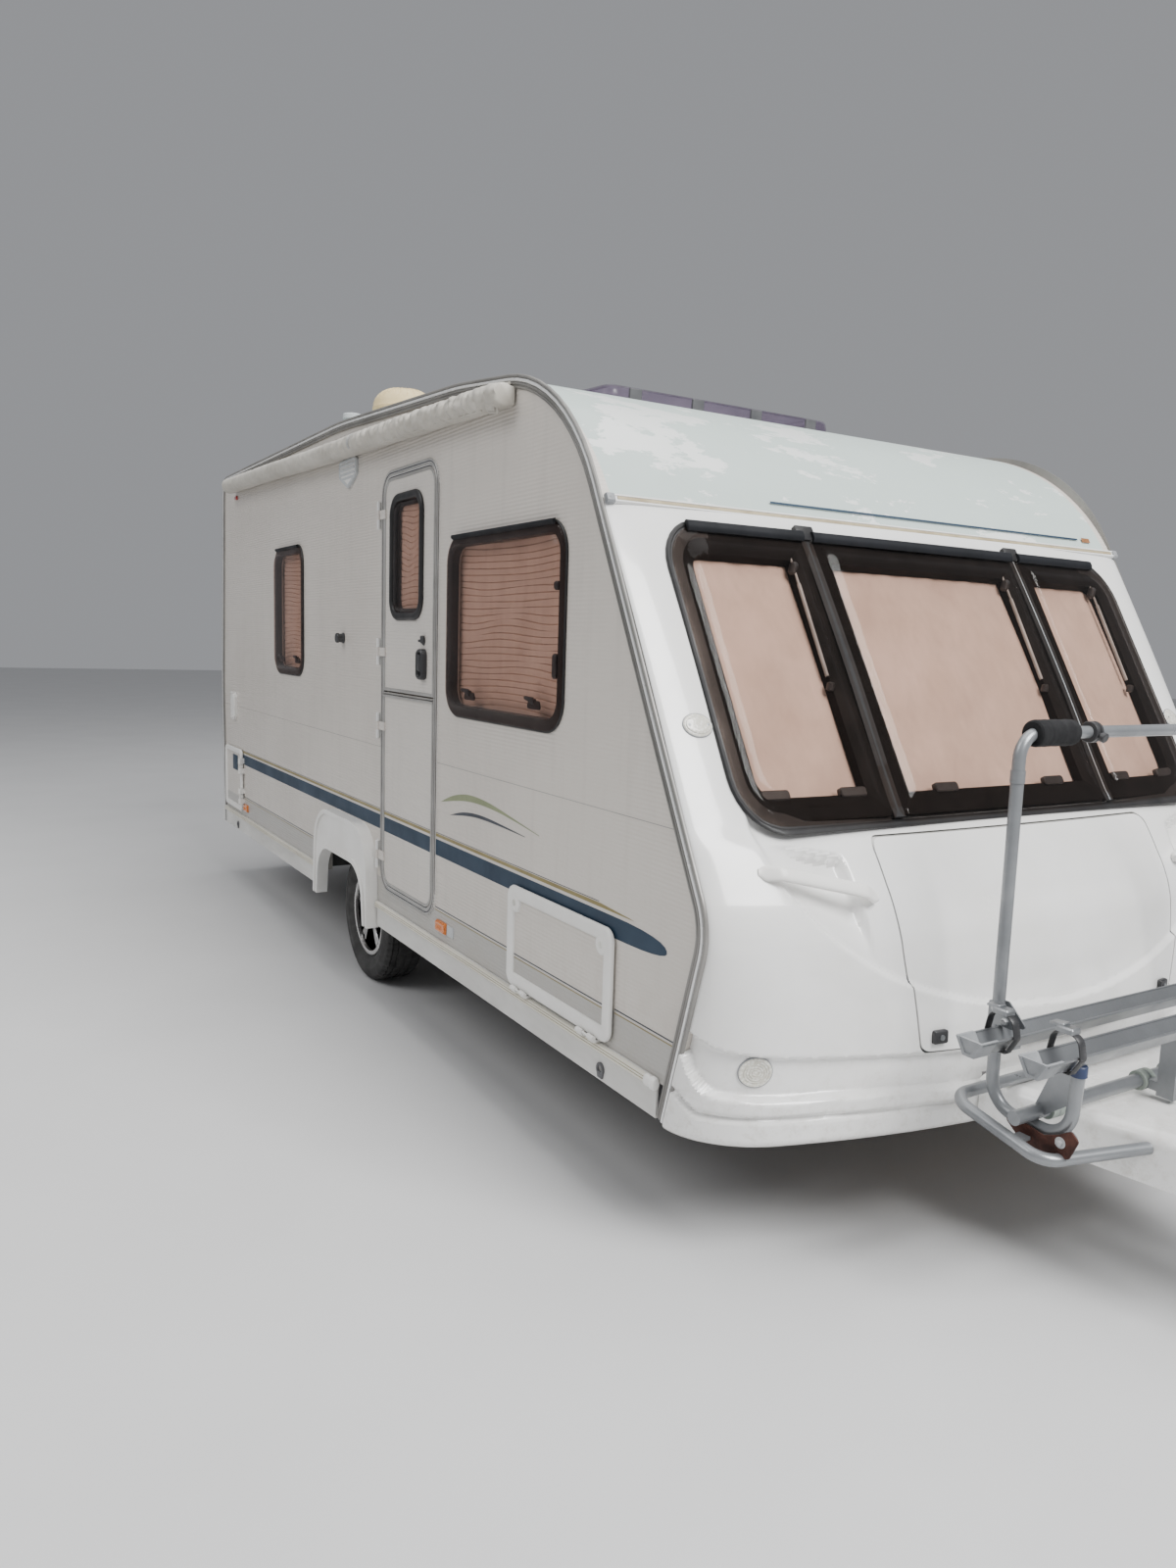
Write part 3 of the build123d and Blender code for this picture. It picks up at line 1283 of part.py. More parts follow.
# Jockey wheel: outer tube in its clamp on the far-side rail, and what slides, swivels and turns in it
jockey_inner_radius = 20
jockey_tube_bottom = 340
jockey_tube_top = 700
fork_z = 235
with BuildPart() as jockey_clamp:
    box_between((85, jockey_x - jockey_tube_radius + 4), (jockey_y - 24, jockey_y + 24), (385, 440))
    with BuildSketch(Plane.XY.offset(rail_top - rail_height)):
        with BuildLine():
            Polyline((0, coupling_y), (rail_nose_x, rail_nose_y), (rail_x, rail_kink_y), (0, rail_kink_y),
                     close=True)
        make_face()
    extrude(amount=rail_height, mode=Mode.SUBTRACT)
    with BuildSketch(Plane.XY.offset(jockey_tube_bottom)):
        with Locations((jockey_x, jockey_y)):
            Circle(jockey_tube_radius)
    extrude(amount=jockey_tube_top - jockey_tube_bottom)
    with BuildSketch(Plane.XY.offset(jockey_tube_bottom)):
        with Locations((jockey_x, jockey_y)):
            Circle(jockey_inner_radius + running_clearance)
    extrude(amount=jockey_tube_top - jockey_tube_bottom, mode=Mode.SUBTRACT)
    with BuildSketch(Plane.XY.offset(jockey_tube_top)):
        with Locations((jockey_x, jockey_y)):
            Circle(jockey_tube_radius + 3)
    extrude(amount=18)
    box_between((jockey_x - 6, jockey_x + 110), (jockey_y - 7, jockey_y + 7),
                (jockey_tube_top + 18, jockey_tube_top + 28))
save(jockey_clamp, "jockey_clamp")

with BuildPart() as jockey_leg:
    with BuildSketch(Plane.XY.offset(fork_z)):
        with Locations((jockey_x, jockey_y)):
            Circle(jockey_inner_radius)
    extrude(amount=300)
save(jockey_leg, "jockey_leg")

jockey_trail = 30
fork_plate = 5
fork_half = jockey_wheel_width / 2 + 6
wheel_pin_radius = 6
with BuildPart() as jockey_fork:
    box_between((jockey_x - fork_half, jockey_x + fork_half), (jockey_y - 26, jockey_y + 40),
                (fork_z - 9, fork_z - 0.3))
    for side in (-1, 1):
        near = jockey_x + side * (fork_half - fork_plate)
        far = jockey_x + side * fork_half
        with BuildSketch(Plane.YZ.offset(min(near, far))):
            with BuildLine():
                Polyline((jockey_y - 26, fork_z - 0.3), (jockey_y + 40, fork_z - 0.3),
                         (jockey_y + jockey_trail + 18, jockey_wheel_radius - 12),
                         (jockey_y + jockey_trail - 18, jockey_wheel_radius - 12), close=True)
            make_face()
        extrude(amount=fork_plate)
    with BuildSketch(Plane.YZ.offset(jockey_x - fork_half)):
        with Locations((jockey_y + jockey_trail, jockey_wheel_radius)):
            Circle(wheel_pin_radius)
    extrude(amount=2 * fork_half)
save(jockey_fork, "jockey_fork")

with BuildPart() as jockey_wheel:
    with BuildSketch(Plane.YZ.offset(jockey_x - jockey_wheel_width / 2)):
        with Locations((jockey_y + jockey_trail, jockey_wheel_radius)):
            Circle(jockey_wheel_radius)
    extrude(amount=jockey_wheel_width)
    chamfer(jockey_wheel.edges().filter_by(GeomType.CIRCLE), 8)
    with BuildSketch(Plane.YZ.offset(jockey_x - jockey_wheel_width / 2)):
        with Locations((jockey_y + jockey_trail, jockey_wheel_radius)):
            Circle(wheel_pin_radius + running_clearance)
    extrude(amount=jockey_wheel_width, mode=Mode.SUBTRACT)
save(jockey_wheel, "jockey_wheel")

# Corner steadies: arms stowed under the floor, each turning down about a pin in its bracket
steady_pin_x = 660
steady_length = 390
steady_pin_z = rail_top - 32
steady_half_width = 19
steady_pin_radius = 6
bracket_sheet = 5
steadies = [("front_door_side_steady", -1, steady_front_y), ("front_far_side_steady", 1, steady_front_y),
            ("rear_door_side_steady", -1, steady_rear_y), ("rear_far_side_steady", 1, steady_rear_y)]
with BuildPart() as steady_brackets:
    for name, side, steady_y in steadies:
        for ear in (-1, 1):
            inner = steady_y + ear * (steady_half_width + 1)
            outer = inner + ear * bracket_sheet
            box_between((side * steady_pin_x - 26, side * steady_pin_x + 26), sorted((inner, outer)),
                        (steady_pin_z - 18, rail_top))
        with BuildSketch(Plane.XZ.offset(-(steady_y - steady_half_width - 1 - bracket_sheet))):
            with Locations((side * steady_pin_x, steady_pin_z)):
                Circle(steady_pin_radius)
        extrude(amount=-2 * (steady_half_width + 1 + bracket_sheet))
save(steady_brackets, "steady_brackets")

for name, side, steady_y in steadies:
    with BuildPart() as steady:
        near = side * (steady_pin_x - 16)
        far = side * (steady_pin_x + steady_length)
        box_between(sorted((near, far)), (steady_y - steady_half_width, steady_y + steady_half_width),
                    (steady_pin_z - 15, steady_pin_z + 15))
        box_between(sorted((near - side, far - side * 30)),
                    (steady_y - steady_half_width + 4, steady_y + steady_half_width - 4),
                    (steady_pin_z - 15, steady_pin_z + 11), mode=Mode.SUBTRACT)
        box_between(sorted((far, far + side * 5)), (steady_y - 45, steady_y + 45),
                    (steady_pin_z - 26, steady_pin_z + 26))
        with BuildSketch(Plane.XZ.offset(-(steady_y - steady_half_width))):
            with Locations((side * steady_pin_x, steady_pin_z)):
                Circle(12)
        extrude(amount=-2 * steady_half_width)
        with BuildSketch(Plane.XZ.offset(-(steady_y - steady_half_width))):
            with Locations((side * steady_pin_x, steady_pin_z)):
                Circle(steady_pin_radius + running_clearance)
        extrude(amount=-2 * steady_half_width, mode=Mode.SUBTRACT)
    save(steady, name)

# Carrier on the drawbar: fixed base tubes, and a frame that tilts forward on two pins
channel_width = 70
channel_depth = 36
channel_sheet = 3
rear_rail_y, rear_rail_top = carrier_rail_places[0]
front_rail_y, front_rail_top = carrier_rail_places[1]
rear_rail_bottom = rear_rail_top - channel_depth
front_leg_top = front_rail_top - channel_depth
base_tube_z = 470
base_cross_y = -2170
base_side_x = 550
base_front_y = -2500
base_front_x = 265
base_front_z = carrier_pivot_z - 41
pivot_plate_x = 503
pivot_radius = 5
pivot_ear = 14
pivot_ear_radius = 20
pivot_plate = 5
pivot_plate_outline = [(-2296, 455), (-2330, 428), (-2400, 411), (-2462, 428), (-2482, 476), (-2462, 492),
                       (-2428, 470), (-2395, 456), (-2345, 464), (-2312, 482)]
clip_y = -2350
with BuildPart() as carrier_base:
    with BuildLine() as base_path:
        FilletPolyline((-base_front_x, base_front_y, base_front_z),
                       (-base_side_x, base_front_y + 70, base_front_z),
                       (-base_side_x, base_cross_y, base_tube_z), (base_side_x, base_cross_y, base_tube_z),
                       (base_side_x, base_front_y + 70, base_front_z),
                       (base_front_x, base_front_y, base_front_z), radius=55)
    with BuildSketch(Plane(origin=base_path.line @ 0, z_dir=base_path.line % 0)):
        Circle(carrier_tube_radius)
    sweep()
    for side in (-1, 1):
        plate = sorted((side * pivot_plate_x, side * (pivot_plate_x + pivot_plate)))
        with BuildSketch(Plane.YZ.offset(plate[0])):
            with BuildLine():
                FilletPolyline(*pivot_plate_outline, radius=7, close=True)
            make_face()
        extrude(amount=pivot_plate)
        pin = sorted((side * (carrier_leg_x - 14), side * pivot_plate_x))
        with BuildSketch(Plane.YZ.offset(pin[0])):
            with Locations((carrier_pivot_y, carrier_pivot_z)):
                Circle(pivot_radius)
        extrude(amount=pin[1] - pin[0])
        clip = sorted((side * (pivot_plate_x + pivot_plate), side * (base_side_x - 8)))
        box_between(clip, (clip_y - 15, clip_y + 15), (carrier_pivot_z - 26, base_tube_z - 30))
    add(drawbar_cover.part, mode=Mode.SUBTRACT)
save(carrier_base, "carrier_base")

leg_joint_z = 705
leg_cap_height = 22
mast_ring_z = 1240
mast_ring_height = 30
joint_plate = 4
joint_plate_gap = 11
cross_tube_y = -2350
cross_tube_radius = 17
cross_tube_z = carrier_pivot_z + carrier_tube_radius + cross_tube_radius - 2
cross_tube_half = 555
cross_collar_radius = 24
cross_collar_length = 44
gusset_sheet = 4
inner_collar_x = 60
post_width = 30
post_depth = 44
post_bottom = carrier_pivot_z + 8
post_head = 12
post_link_height = 24
with BuildPart() as carrier_frame:
    for side in (-1, 1):
        with BuildLine(Plane.YZ.offset(side * carrier_leg_x)) as leg_path:
            FilletPolyline((carrier_leg_y, leg_joint_z), (carrier_leg_y, carrier_pivot_z),
                           (carrier_pivot_y, carrier_pivot_z), (carrier_pivot_y - 12, front_leg_top),
                           radius=70)
        with BuildSketch(Plane(origin=leg_path.line @ 0, z_dir=leg_path.line % 0)):
            Circle(carrier_tube_radius)
        sweep(path=leg_path.line)
        box_between((side * carrier_leg_x - 12, side * carrier_leg_x + 12), (rear_rail_y - 7, carrier_leg_y),
                    (rear_rail_bottom - 10, rear_rail_bottom))
    with BuildLine(Plane.XZ.offset(-carrier_leg_y)) as mast_path:
        FilletPolyline((-carrier_leg_x, leg_joint_z), (-carrier_leg_x, carrier_top),
                       (carrier_leg_x, carrier_top), (carrier_leg_x, leg_joint_z), radius=60)
    with BuildSketch(Plane(origin=mast_path.line @ 0, z_dir=mast_path.line % 0)):
        Circle(carrier_tube_radius)
    sweep(path=mast_path.line)
    with BuildSketch(Plane.YZ.offset(-cross_tube_half)):
        with Locations((cross_tube_y, cross_tube_z)):
            Circle(cross_tube_radius)
    extrude(amount=2 * cross_tube_half)
    for side in (-1, 1):
        leg_x = side * carrier_leg_x
        with BuildSketch(Plane.XY.offset(mast_ring_z)):
            with Locations((leg_x, carrier_leg_y)):
                Circle(carrier_tube_radius + 2)
        extrude(amount=mast_ring_height)
        with BuildSketch(Plane.XY.offset(front_leg_top - leg_cap_height - 4)):
            with Locations((leg_x, carrier_pivot_y - 11)):
                Circle(carrier_tube_radius + 2)
        extrude(amount=leg_cap_height)
        for plate_x in (leg_x - joint_plate_gap - joint_plate, leg_x + joint_plate_gap):
            with BuildSketch(Plane.YZ.offset(plate_x)):
                with BuildLine():
                    FilletPolyline((carrier_leg_y + 16, leg_joint_z + 14),
                                   (carrier_leg_y - 20, leg_joint_z + 14),
                                   (rear_rail_y - 24, rear_rail_top + 0.3),
                                   (carrier_leg_y + 16, rear_rail_top + 0.3), radius=7, close=True)
                make_face()
            extrude(amount=joint_plate)
        for collar_x in (side * (carrier_leg_x - 60), side * inner_collar_x):
            with BuildSketch(Plane.YZ.offset(collar_x - cross_collar_length / 2)):
                with Locations((cross_tube_y, cross_tube_z)):
                    Circle(cross_collar_radius)
            extrude(amount=cross_collar_length)
        gusset_x = side * (carrier_leg_x - carrier_tube_radius + 2)
        with BuildSketch(Plane.YZ.offset(min(gusset_x, gusset_x - side * gusset_sheet))):
            with BuildLine():
                FilletPolyline((carrier_pivot_y - 10, front_leg_top - 4),
                               (carrier_pivot_y + 48, front_leg_top - 4),
                               (cross_tube_y + 14, cross_tube_z + 4), (cross_tube_y - 14, cross_tube_z - 6),
                               (carrier_pivot_y - 6, cross_tube_z + 60), radius=6, close=True)
            make_face()
        extrude(amount=gusset_sheet)
    post_range = (-inner_collar_x - post_width / 2, -inner_collar_x + post_width / 2)
    box_between(post_range, (carrier_pivot_y, carrier_pivot_y + post_depth), (post_bottom, front_leg_top))
    box_between(post_range, (front_rail_y - 12, carrier_pivot_y + 20),
                (front_leg_top - post_head, front_leg_top))
    box_between(post_range, (carrier_pivot_y + post_depth - 4, cross_tube_y),
                (cross_tube_z - post_link_height / 2, cross_tube_z + post_link_height / 2))
    for side in (-1, 1):
        with BuildSketch(Plane.YZ.offset(side * carrier_leg_x - pivot_ear / 2)):
            with Locations((carrier_pivot_y, carrier_pivot_z)):
                Circle(pivot_ear_radius)
        extrude(amount=pivot_ear)
        with BuildSketch(Plane.YZ.offset(side * carrier_leg_x - 30)):
            with Locations((carrier_pivot_y, carrier_pivot_z)):
                Circle(pivot_radius + running_clearance)
        extrude(amount=60, mode=Mode.SUBTRACT)
save(carrier_frame, "carrier_frame")

with BuildPart() as carrier_rails:
    for channel_y, channel_z in carrier_rail_places:
        with BuildSketch(Plane.YZ.offset(-carrier_rail_half_length)):
            with BuildLine():
                Polyline((channel_y - channel_width / 2, channel_z),
                         (channel_y - 12, channel_z - channel_depth),
                         (channel_y + 12, channel_z - channel_depth),
                         (channel_y + channel_width / 2, channel_z),
                         (channel_y + channel_width / 2 - 4, channel_z),
                         (channel_y + 10, channel_z - channel_depth + channel_sheet),
                         (channel_y - 10, channel_z - channel_depth + channel_sheet),
                         (channel_y - channel_width / 2 + 4, channel_z), close=True)
            make_face()
        extrude(amount=2 * carrier_rail_half_length)
    add(carrier_frame.part, mode=Mode.SUBTRACT)
save(carrier_rails, "carrier_rails")

foam_wall = 11
with BuildPart() as carrier_clamps:
    for clamp_x, clamp_length in ((-357, 118), (-235, 26)):
        with BuildSketch(Plane.YZ.offset(clamp_x - clamp_length / 2)):
            with Locations((carrier_leg_y, carrier_top)):
                Circle(carrier_tube_radius + foam_wall)
                Circle(carrier_tube_radius + 0.2, mode=Mode.SUBTRACT)
        extrude(amount=clamp_length)
save(carrier_clamps, "carrier_clamps")
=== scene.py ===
import math
import random

import bmesh
import bpy
import numpy as np
from mathutils import Matrix, Vector, noise


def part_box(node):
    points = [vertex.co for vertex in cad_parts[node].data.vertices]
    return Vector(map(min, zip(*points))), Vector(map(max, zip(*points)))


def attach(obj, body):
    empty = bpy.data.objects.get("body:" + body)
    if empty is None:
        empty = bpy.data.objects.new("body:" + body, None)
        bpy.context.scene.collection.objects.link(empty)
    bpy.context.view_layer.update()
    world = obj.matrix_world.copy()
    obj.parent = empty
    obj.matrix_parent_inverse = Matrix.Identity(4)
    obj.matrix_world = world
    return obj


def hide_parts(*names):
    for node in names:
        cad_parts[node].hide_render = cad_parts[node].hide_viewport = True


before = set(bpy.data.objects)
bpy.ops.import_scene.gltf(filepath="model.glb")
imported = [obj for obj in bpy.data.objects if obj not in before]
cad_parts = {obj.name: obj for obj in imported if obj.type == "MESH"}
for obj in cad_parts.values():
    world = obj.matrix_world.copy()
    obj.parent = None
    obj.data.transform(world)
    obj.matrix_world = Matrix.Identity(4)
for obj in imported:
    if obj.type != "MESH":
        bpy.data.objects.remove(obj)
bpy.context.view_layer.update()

scene = bpy.context.scene
BODY = "caravan_body"

# Sizes read from the frame, in metres
wall_x = abs(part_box("door_side_wall")[0].x)
wheel_low, wheel_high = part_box("door_side_tyre")
wheel_radius = (wheel_high.z - wheel_low.z) / 2
wheel_centre = (wheel_low + wheel_high) / 2
front_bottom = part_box("front_panel")[0].z

# Side profile of the body as corner points (y, z), with the radius at each inner corner
profile_corners = [(-1.761, 0.344), (-1.906, 0.875), (-1.163, 2.281), (-0.430, 2.365), (0.800, 2.433),
                   (3.039, 2.444), (3.131, 1.192), (3.098, 0.345)]
profile_radii = [0.200, 0.870, 2.500, 6.000, 0.110, 3.000]


# Materials: each function returns one node material

class Paint:
    """A node material in the making, with short ways to add nodes and join them."""

    def __init__(self, name):
        self.material = bpy.data.materials.new(name)
        self.material.use_nodes = True
        self.nodes = self.material.node_tree.nodes
        self.shader = self.nodes["Principled BSDF"]

    def join(self, value, socket):
        """Link an output to a socket, or set a plain number, vector or colour on it."""
        if isinstance(value, bpy.types.NodeSocket):
            self.material.node_tree.links.new(value, socket)
        else:
            socket.default_value = (*value, 1) if socket.type == "RGBA" else value

    def add(self, kind, inputs, **settings):
        """New node with its settings and with what goes into its sockets."""
        node = self.nodes.new(f"ShaderNode{kind}")
        for setting, value in settings.items():
            setattr(node, setting, value)
        for socket, value in inputs.items():
            self.join(value, node.inputs[socket])
        return node

    def fill(self, inputs):
        """Fill sockets of the main shader, and give the material."""
        for socket, value in inputs.items():
            self.join(value, self.shader.inputs[socket])
        return self.material

    def place(self, stretch=(1, 1, 1)):
        """Place on the object, stretched along its axes."""
        place = self.add("TexCoord", {}).outputs["Object"]
        return self.add("Mapping", {"Vector": place, "Scale": stretch}).outputs["Vector"]

    def noise(self, place, scale, detail=4.0, rough=0.55, twist=0.0):
        """Noise texture's value at a place."""
        return self.add("TexNoise", {"Vector": place, "Scale": scale, "Detail": detail, "Roughness": rough,
                                     "Distortion": twist}).outputs["Fac"]

    def ramp(self, value, low, first, high, second):
        """Colour that goes from the first to the second between two values."""
        node = self.add("ValToRGB", {"Fac": value})
        for element, position, colour in zip(node.color_ramp.elements, (low, high), (first, second)):
            element.position = position
            element.color = (*colour, 1)
        return node.outputs["Color"]

    def spread(self, value, low, high, from_low=0.0, from_high=1.0):
        """Value moved from one range to another."""
        return self.add("MapRange", {"Value": value, "From Min": from_low, "From Max": from_high, "To Min": low,
                                     "To Max": high}).outputs["Result"]

    def blend(self, share, first, second, way="MIX"):
        """Two colours mixed by a share. Each is a socket or a plain colour."""
        return self.add("Mix", {0: share, 6: first, 7: second}, data_type="RGBA", blend_type=way).outputs[2]

    def math(self, operation, first, second):
        """Result of a sum, a product or a power of two values."""
        return self.add("Math", {0: first, 1: second}, operation=operation).outputs[0]

    def bump(self, height, depth, strength=1.0, over=None):
        """Bump of a height in metres, on top of another bump when one is given."""
        bump = self.add("Bump", {"Height": height, "Distance": depth, "Strength": strength})
        if over is not None:
            self.join(over, bump.inputs["Normal"])
        return bump.outputs["Normal"]

    def grime(self, base, place, fade, spots, cover, colour):
        """Dirt in spots over a base colour: strongest at the lower height of fade, gone at the upper."""
        height = self.add("SeparateXYZ", {0: place}).outputs["Z"]
        low = self.spread(height, 0.55, 0.0, *fade)
        share = self.math("MULTIPLY", low, self.spread(self.noise(place, *spots), 0.0, 1.0, *cover))
        return self.blend(share, base, colour)


def surface(name, light, dark, rough=(0.4, 0.6), patch=3.0, stretch=(1, 1, 1), grain=300.0, depth=0.0002,
            metal=0.0, coat=0.0, sheen=0.0, shine=0.5):
    """Plain finish: two shades in soft patches, uneven gloss and a fine grain."""
    paint = Paint(name)
    place = paint.place(stretch)
    patches = paint.noise(place, patch, 6.0, 0.6, 0.3)
    return paint.fill({
        "Base Color": paint.ramp(patches, 0.32, dark, 0.62, light),
        "Roughness": paint.spread(patches, rough[1], rough[0], 0.3, 0.7),
        "Normal": paint.bump(paint.noise(place, grain, 3.0), depth),
        "Metallic": metal, "Coat Weight": coat, "Coat Roughness": 0.08, "Sheen Weight": sheen,
        "Specular IOR Level": shine})


def shaded_wall_sheet(name, light, dark, low_shade=None):
    """Painted aluminium sheet with fine level reeding and faint rain streaks, darker below its pinstripes. The light
    and dark tones it is given are painted shade over white paint.
    """
    paint = Paint(name)
    place = paint.place()
    clouds = paint.noise(place, 1.3, 5.0)
    streaks = paint.noise(paint.place((9, 9, 0.7)), 2.2, 5.0, 0.6)
    base = paint.blend(paint.spread(streaks, 0.0, 0.35, 0.5, 0.85), paint.ramp(clouds, 0.3, dark, 0.6, light),
                       tuple(0.82 * c for c in dark))
    if low_shade:
        height = paint.add("SeparateXYZ", {0: place}).outputs["Z"]
        base = paint.blend(paint.spread(height, 1.0, 0.0, 0.553, 0.558), base, low_shade)
        base = paint.grime(base, place, (0.43, 0.75), (9.0, 7.0, 0.7), (0.42, 0.8), (0.38, 0.34, 0.28))
    reed = paint.add("TexWave", {"Vector": place, "Scale": 26.0, "Distortion": 0.35, "Detail": 1.0,
                                 "Detail Scale": 0.4}, bands_direction="Z").outputs["Fac"]
    wavy = paint.bump(paint.noise(place, 2.0, 2.0), 0.006, 0.35)
    return paint.fill({
        "Base Color": base, "Normal": paint.bump(reed, 0.0011, 0.8, wavy),
        "Roughness": paint.spread(clouds, 0.42, 0.28, 0.3, 0.7), "Coat Weight": 0.25, "Coat Roughness": 0.15})


def gelcoat(name):
    """Glossy white moulding with grime gathered near the bottom."""
    paint = Paint(name)
    place = paint.place()
    clouds = paint.noise(place, 2.4, 6.0, 0.6)
    base = paint.ramp(clouds, 0.3, (0.80, 0.79, 0.76), 0.65, (0.88, 0.875, 0.86))
    return paint.fill({
        "Base Color": paint.grime(base, place, (0.34, 0.62), (30.0, 9.0, 0.75), (0.5, 0.72), (0.42, 0.38, 0.31)),
        "Roughness": paint.spread(clouds, 0.30, 0.16, 0.3, 0.7),
        "Normal": paint.bump(paint.noise(place, 14.0, 2.0), 0.0012, 0.25),
        "Coat Weight": 0.6, "Coat Roughness": 0.06})


def peeling_roof(name):
    """Pale green-white roof where patches of the white lacquer are left."""
    paint = Paint(name)
    place = paint.place((0.55, 1.0, 1.6))
    flakes = paint.noise(place, 5.2, 12.0, 0.68, 0.25)
    worn = paint.ramp(flakes, 0.545, (0.52, 0.60, 0.57), 0.56, (0.80, 0.82, 0.80))
    clouds = paint.spread(paint.noise(place, 1.6, 5.0), 0.0, 0.4, 0.35, 0.8)
    return paint.fill({
        "Base Color": paint.blend(clouds, worn, (0.70, 0.73, 0.69), "MULTIPLY"),
        "Roughness": paint.spread(flakes, 0.5, 0.3, 0.54, 0.57),
        "Normal": paint.bump(paint.spread(flakes, 0.0, 1.0, 0.54, 0.56), 0.0004, 0.7), "Coat Weight": 0.15})


def tinted_acrylic(name, tint, rough=0.09):
    """Smoke acrylic: what lies behind shows through, and the surface reflects more at a slant."""
    paint = Paint(name)
    paint.nodes.remove(paint.shader)
    smears = paint.noise(paint.place((3.0, 3.0, 0.6)), 5.0, 6.0, 0.6, 0.4)
    deep = tuple(0.955 * c for c in tint)
    clear = paint.add("BsdfTransparent", {"Color": paint.ramp(smears, 0.35, deep, 0.6, tint)})
    wave = paint.bump(paint.noise(paint.place((1.0, 1.0, 0.45)), 7.0, 2.0, 0.5, 1.2), 0.004, 0.5)
    gloss = paint.add("BsdfGlossy", {"Roughness": rough, "Normal": wave})
    facing = paint.add("LayerWeight", {"Blend": 0.5, "Normal": wave}).outputs["Facing"]
    share = paint.spread(paint.math("POWER", facing, 5.0), 0.013, 0.40)
    mix = paint.add("MixShader", {0: share, 1: clear.outputs[0], 2: gloss.outputs[0]})
    paint.join(mix.outputs[0], paint.nodes["Material Output"].inputs["Surface"])
    return paint.material


def wood_board(name, light, dark):
    """Plywood with grain along X."""
    paint = Paint(name)
    grain = paint.noise(paint.place((0.6, 8, 8)), 6.0, 8.0, 0.6, 1.5)
    return paint.fill({"Base Color": paint.ramp(grain, 0.35, dark, 0.65, light),
                       "Normal": paint.bump(grain, 0.0004, 0.5), "Roughness": 0.6})


def galvanised(name, light, dark):
    """Zinc-coated steel with its spangle and some stains."""
    paint = Paint(name)
    place = paint.place()
    cells = paint.add("TexVoronoi", {"Vector": place, "Scale": 55.0}).outputs["Color"]
    grey = paint.add("RGBToBW", {0: cells}).outputs[0]
    stains = paint.spread(paint.noise(place, 7.0, 7.0, 0.65), 0.0, 0.6, 0.5, 0.8)
    return paint.fill({
        "Base Color": paint.blend(stains, paint.ramp(grey, 0.2, dark, 0.8, light), (0.24, 0.21, 0.18)),
        "Roughness": paint.spread(grey, 0.38, 0.58), "Metallic": 0.75})


def woven(name, light, dark, period, rough):
    """Plain weave of a thread period in metres, with sheen."""
    paint = Paint(name)
    place = paint.place()
    threads = [paint.add("TexWave", {"Vector": place, "Scale": 0.314 / period}, bands_direction=axis).outputs["Fac"]
               for axis in "XYZ"]
    height = paint.math("ADD", paint.math("ADD", *threads[:2]), threads[2])
    return paint.fill({
        "Base Color": paint.ramp(paint.noise(place, 5.0, 5.0), 0.3, dark, 0.65, light),
        "Normal": paint.bump(height, 0.0003, 0.5), "Roughness": rough, "Sheen Weight": 0.25})


def lens_plastic(name, light, dark, cell=160.0):
    """Moulded lamp lens with a faceted back."""
    paint = Paint(name)
    cells = paint.add("TexVoronoi", {"Vector": paint.place(), "Scale": cell}).outputs["Distance"]
    return paint.fill({"Base Color": paint.ramp(cells, 0.1, light, 0.6, dark),
                       "Normal": paint.bump(cells, 0.0008, 0.5), "Roughness": 0.18, "Coat Weight": 0.8})


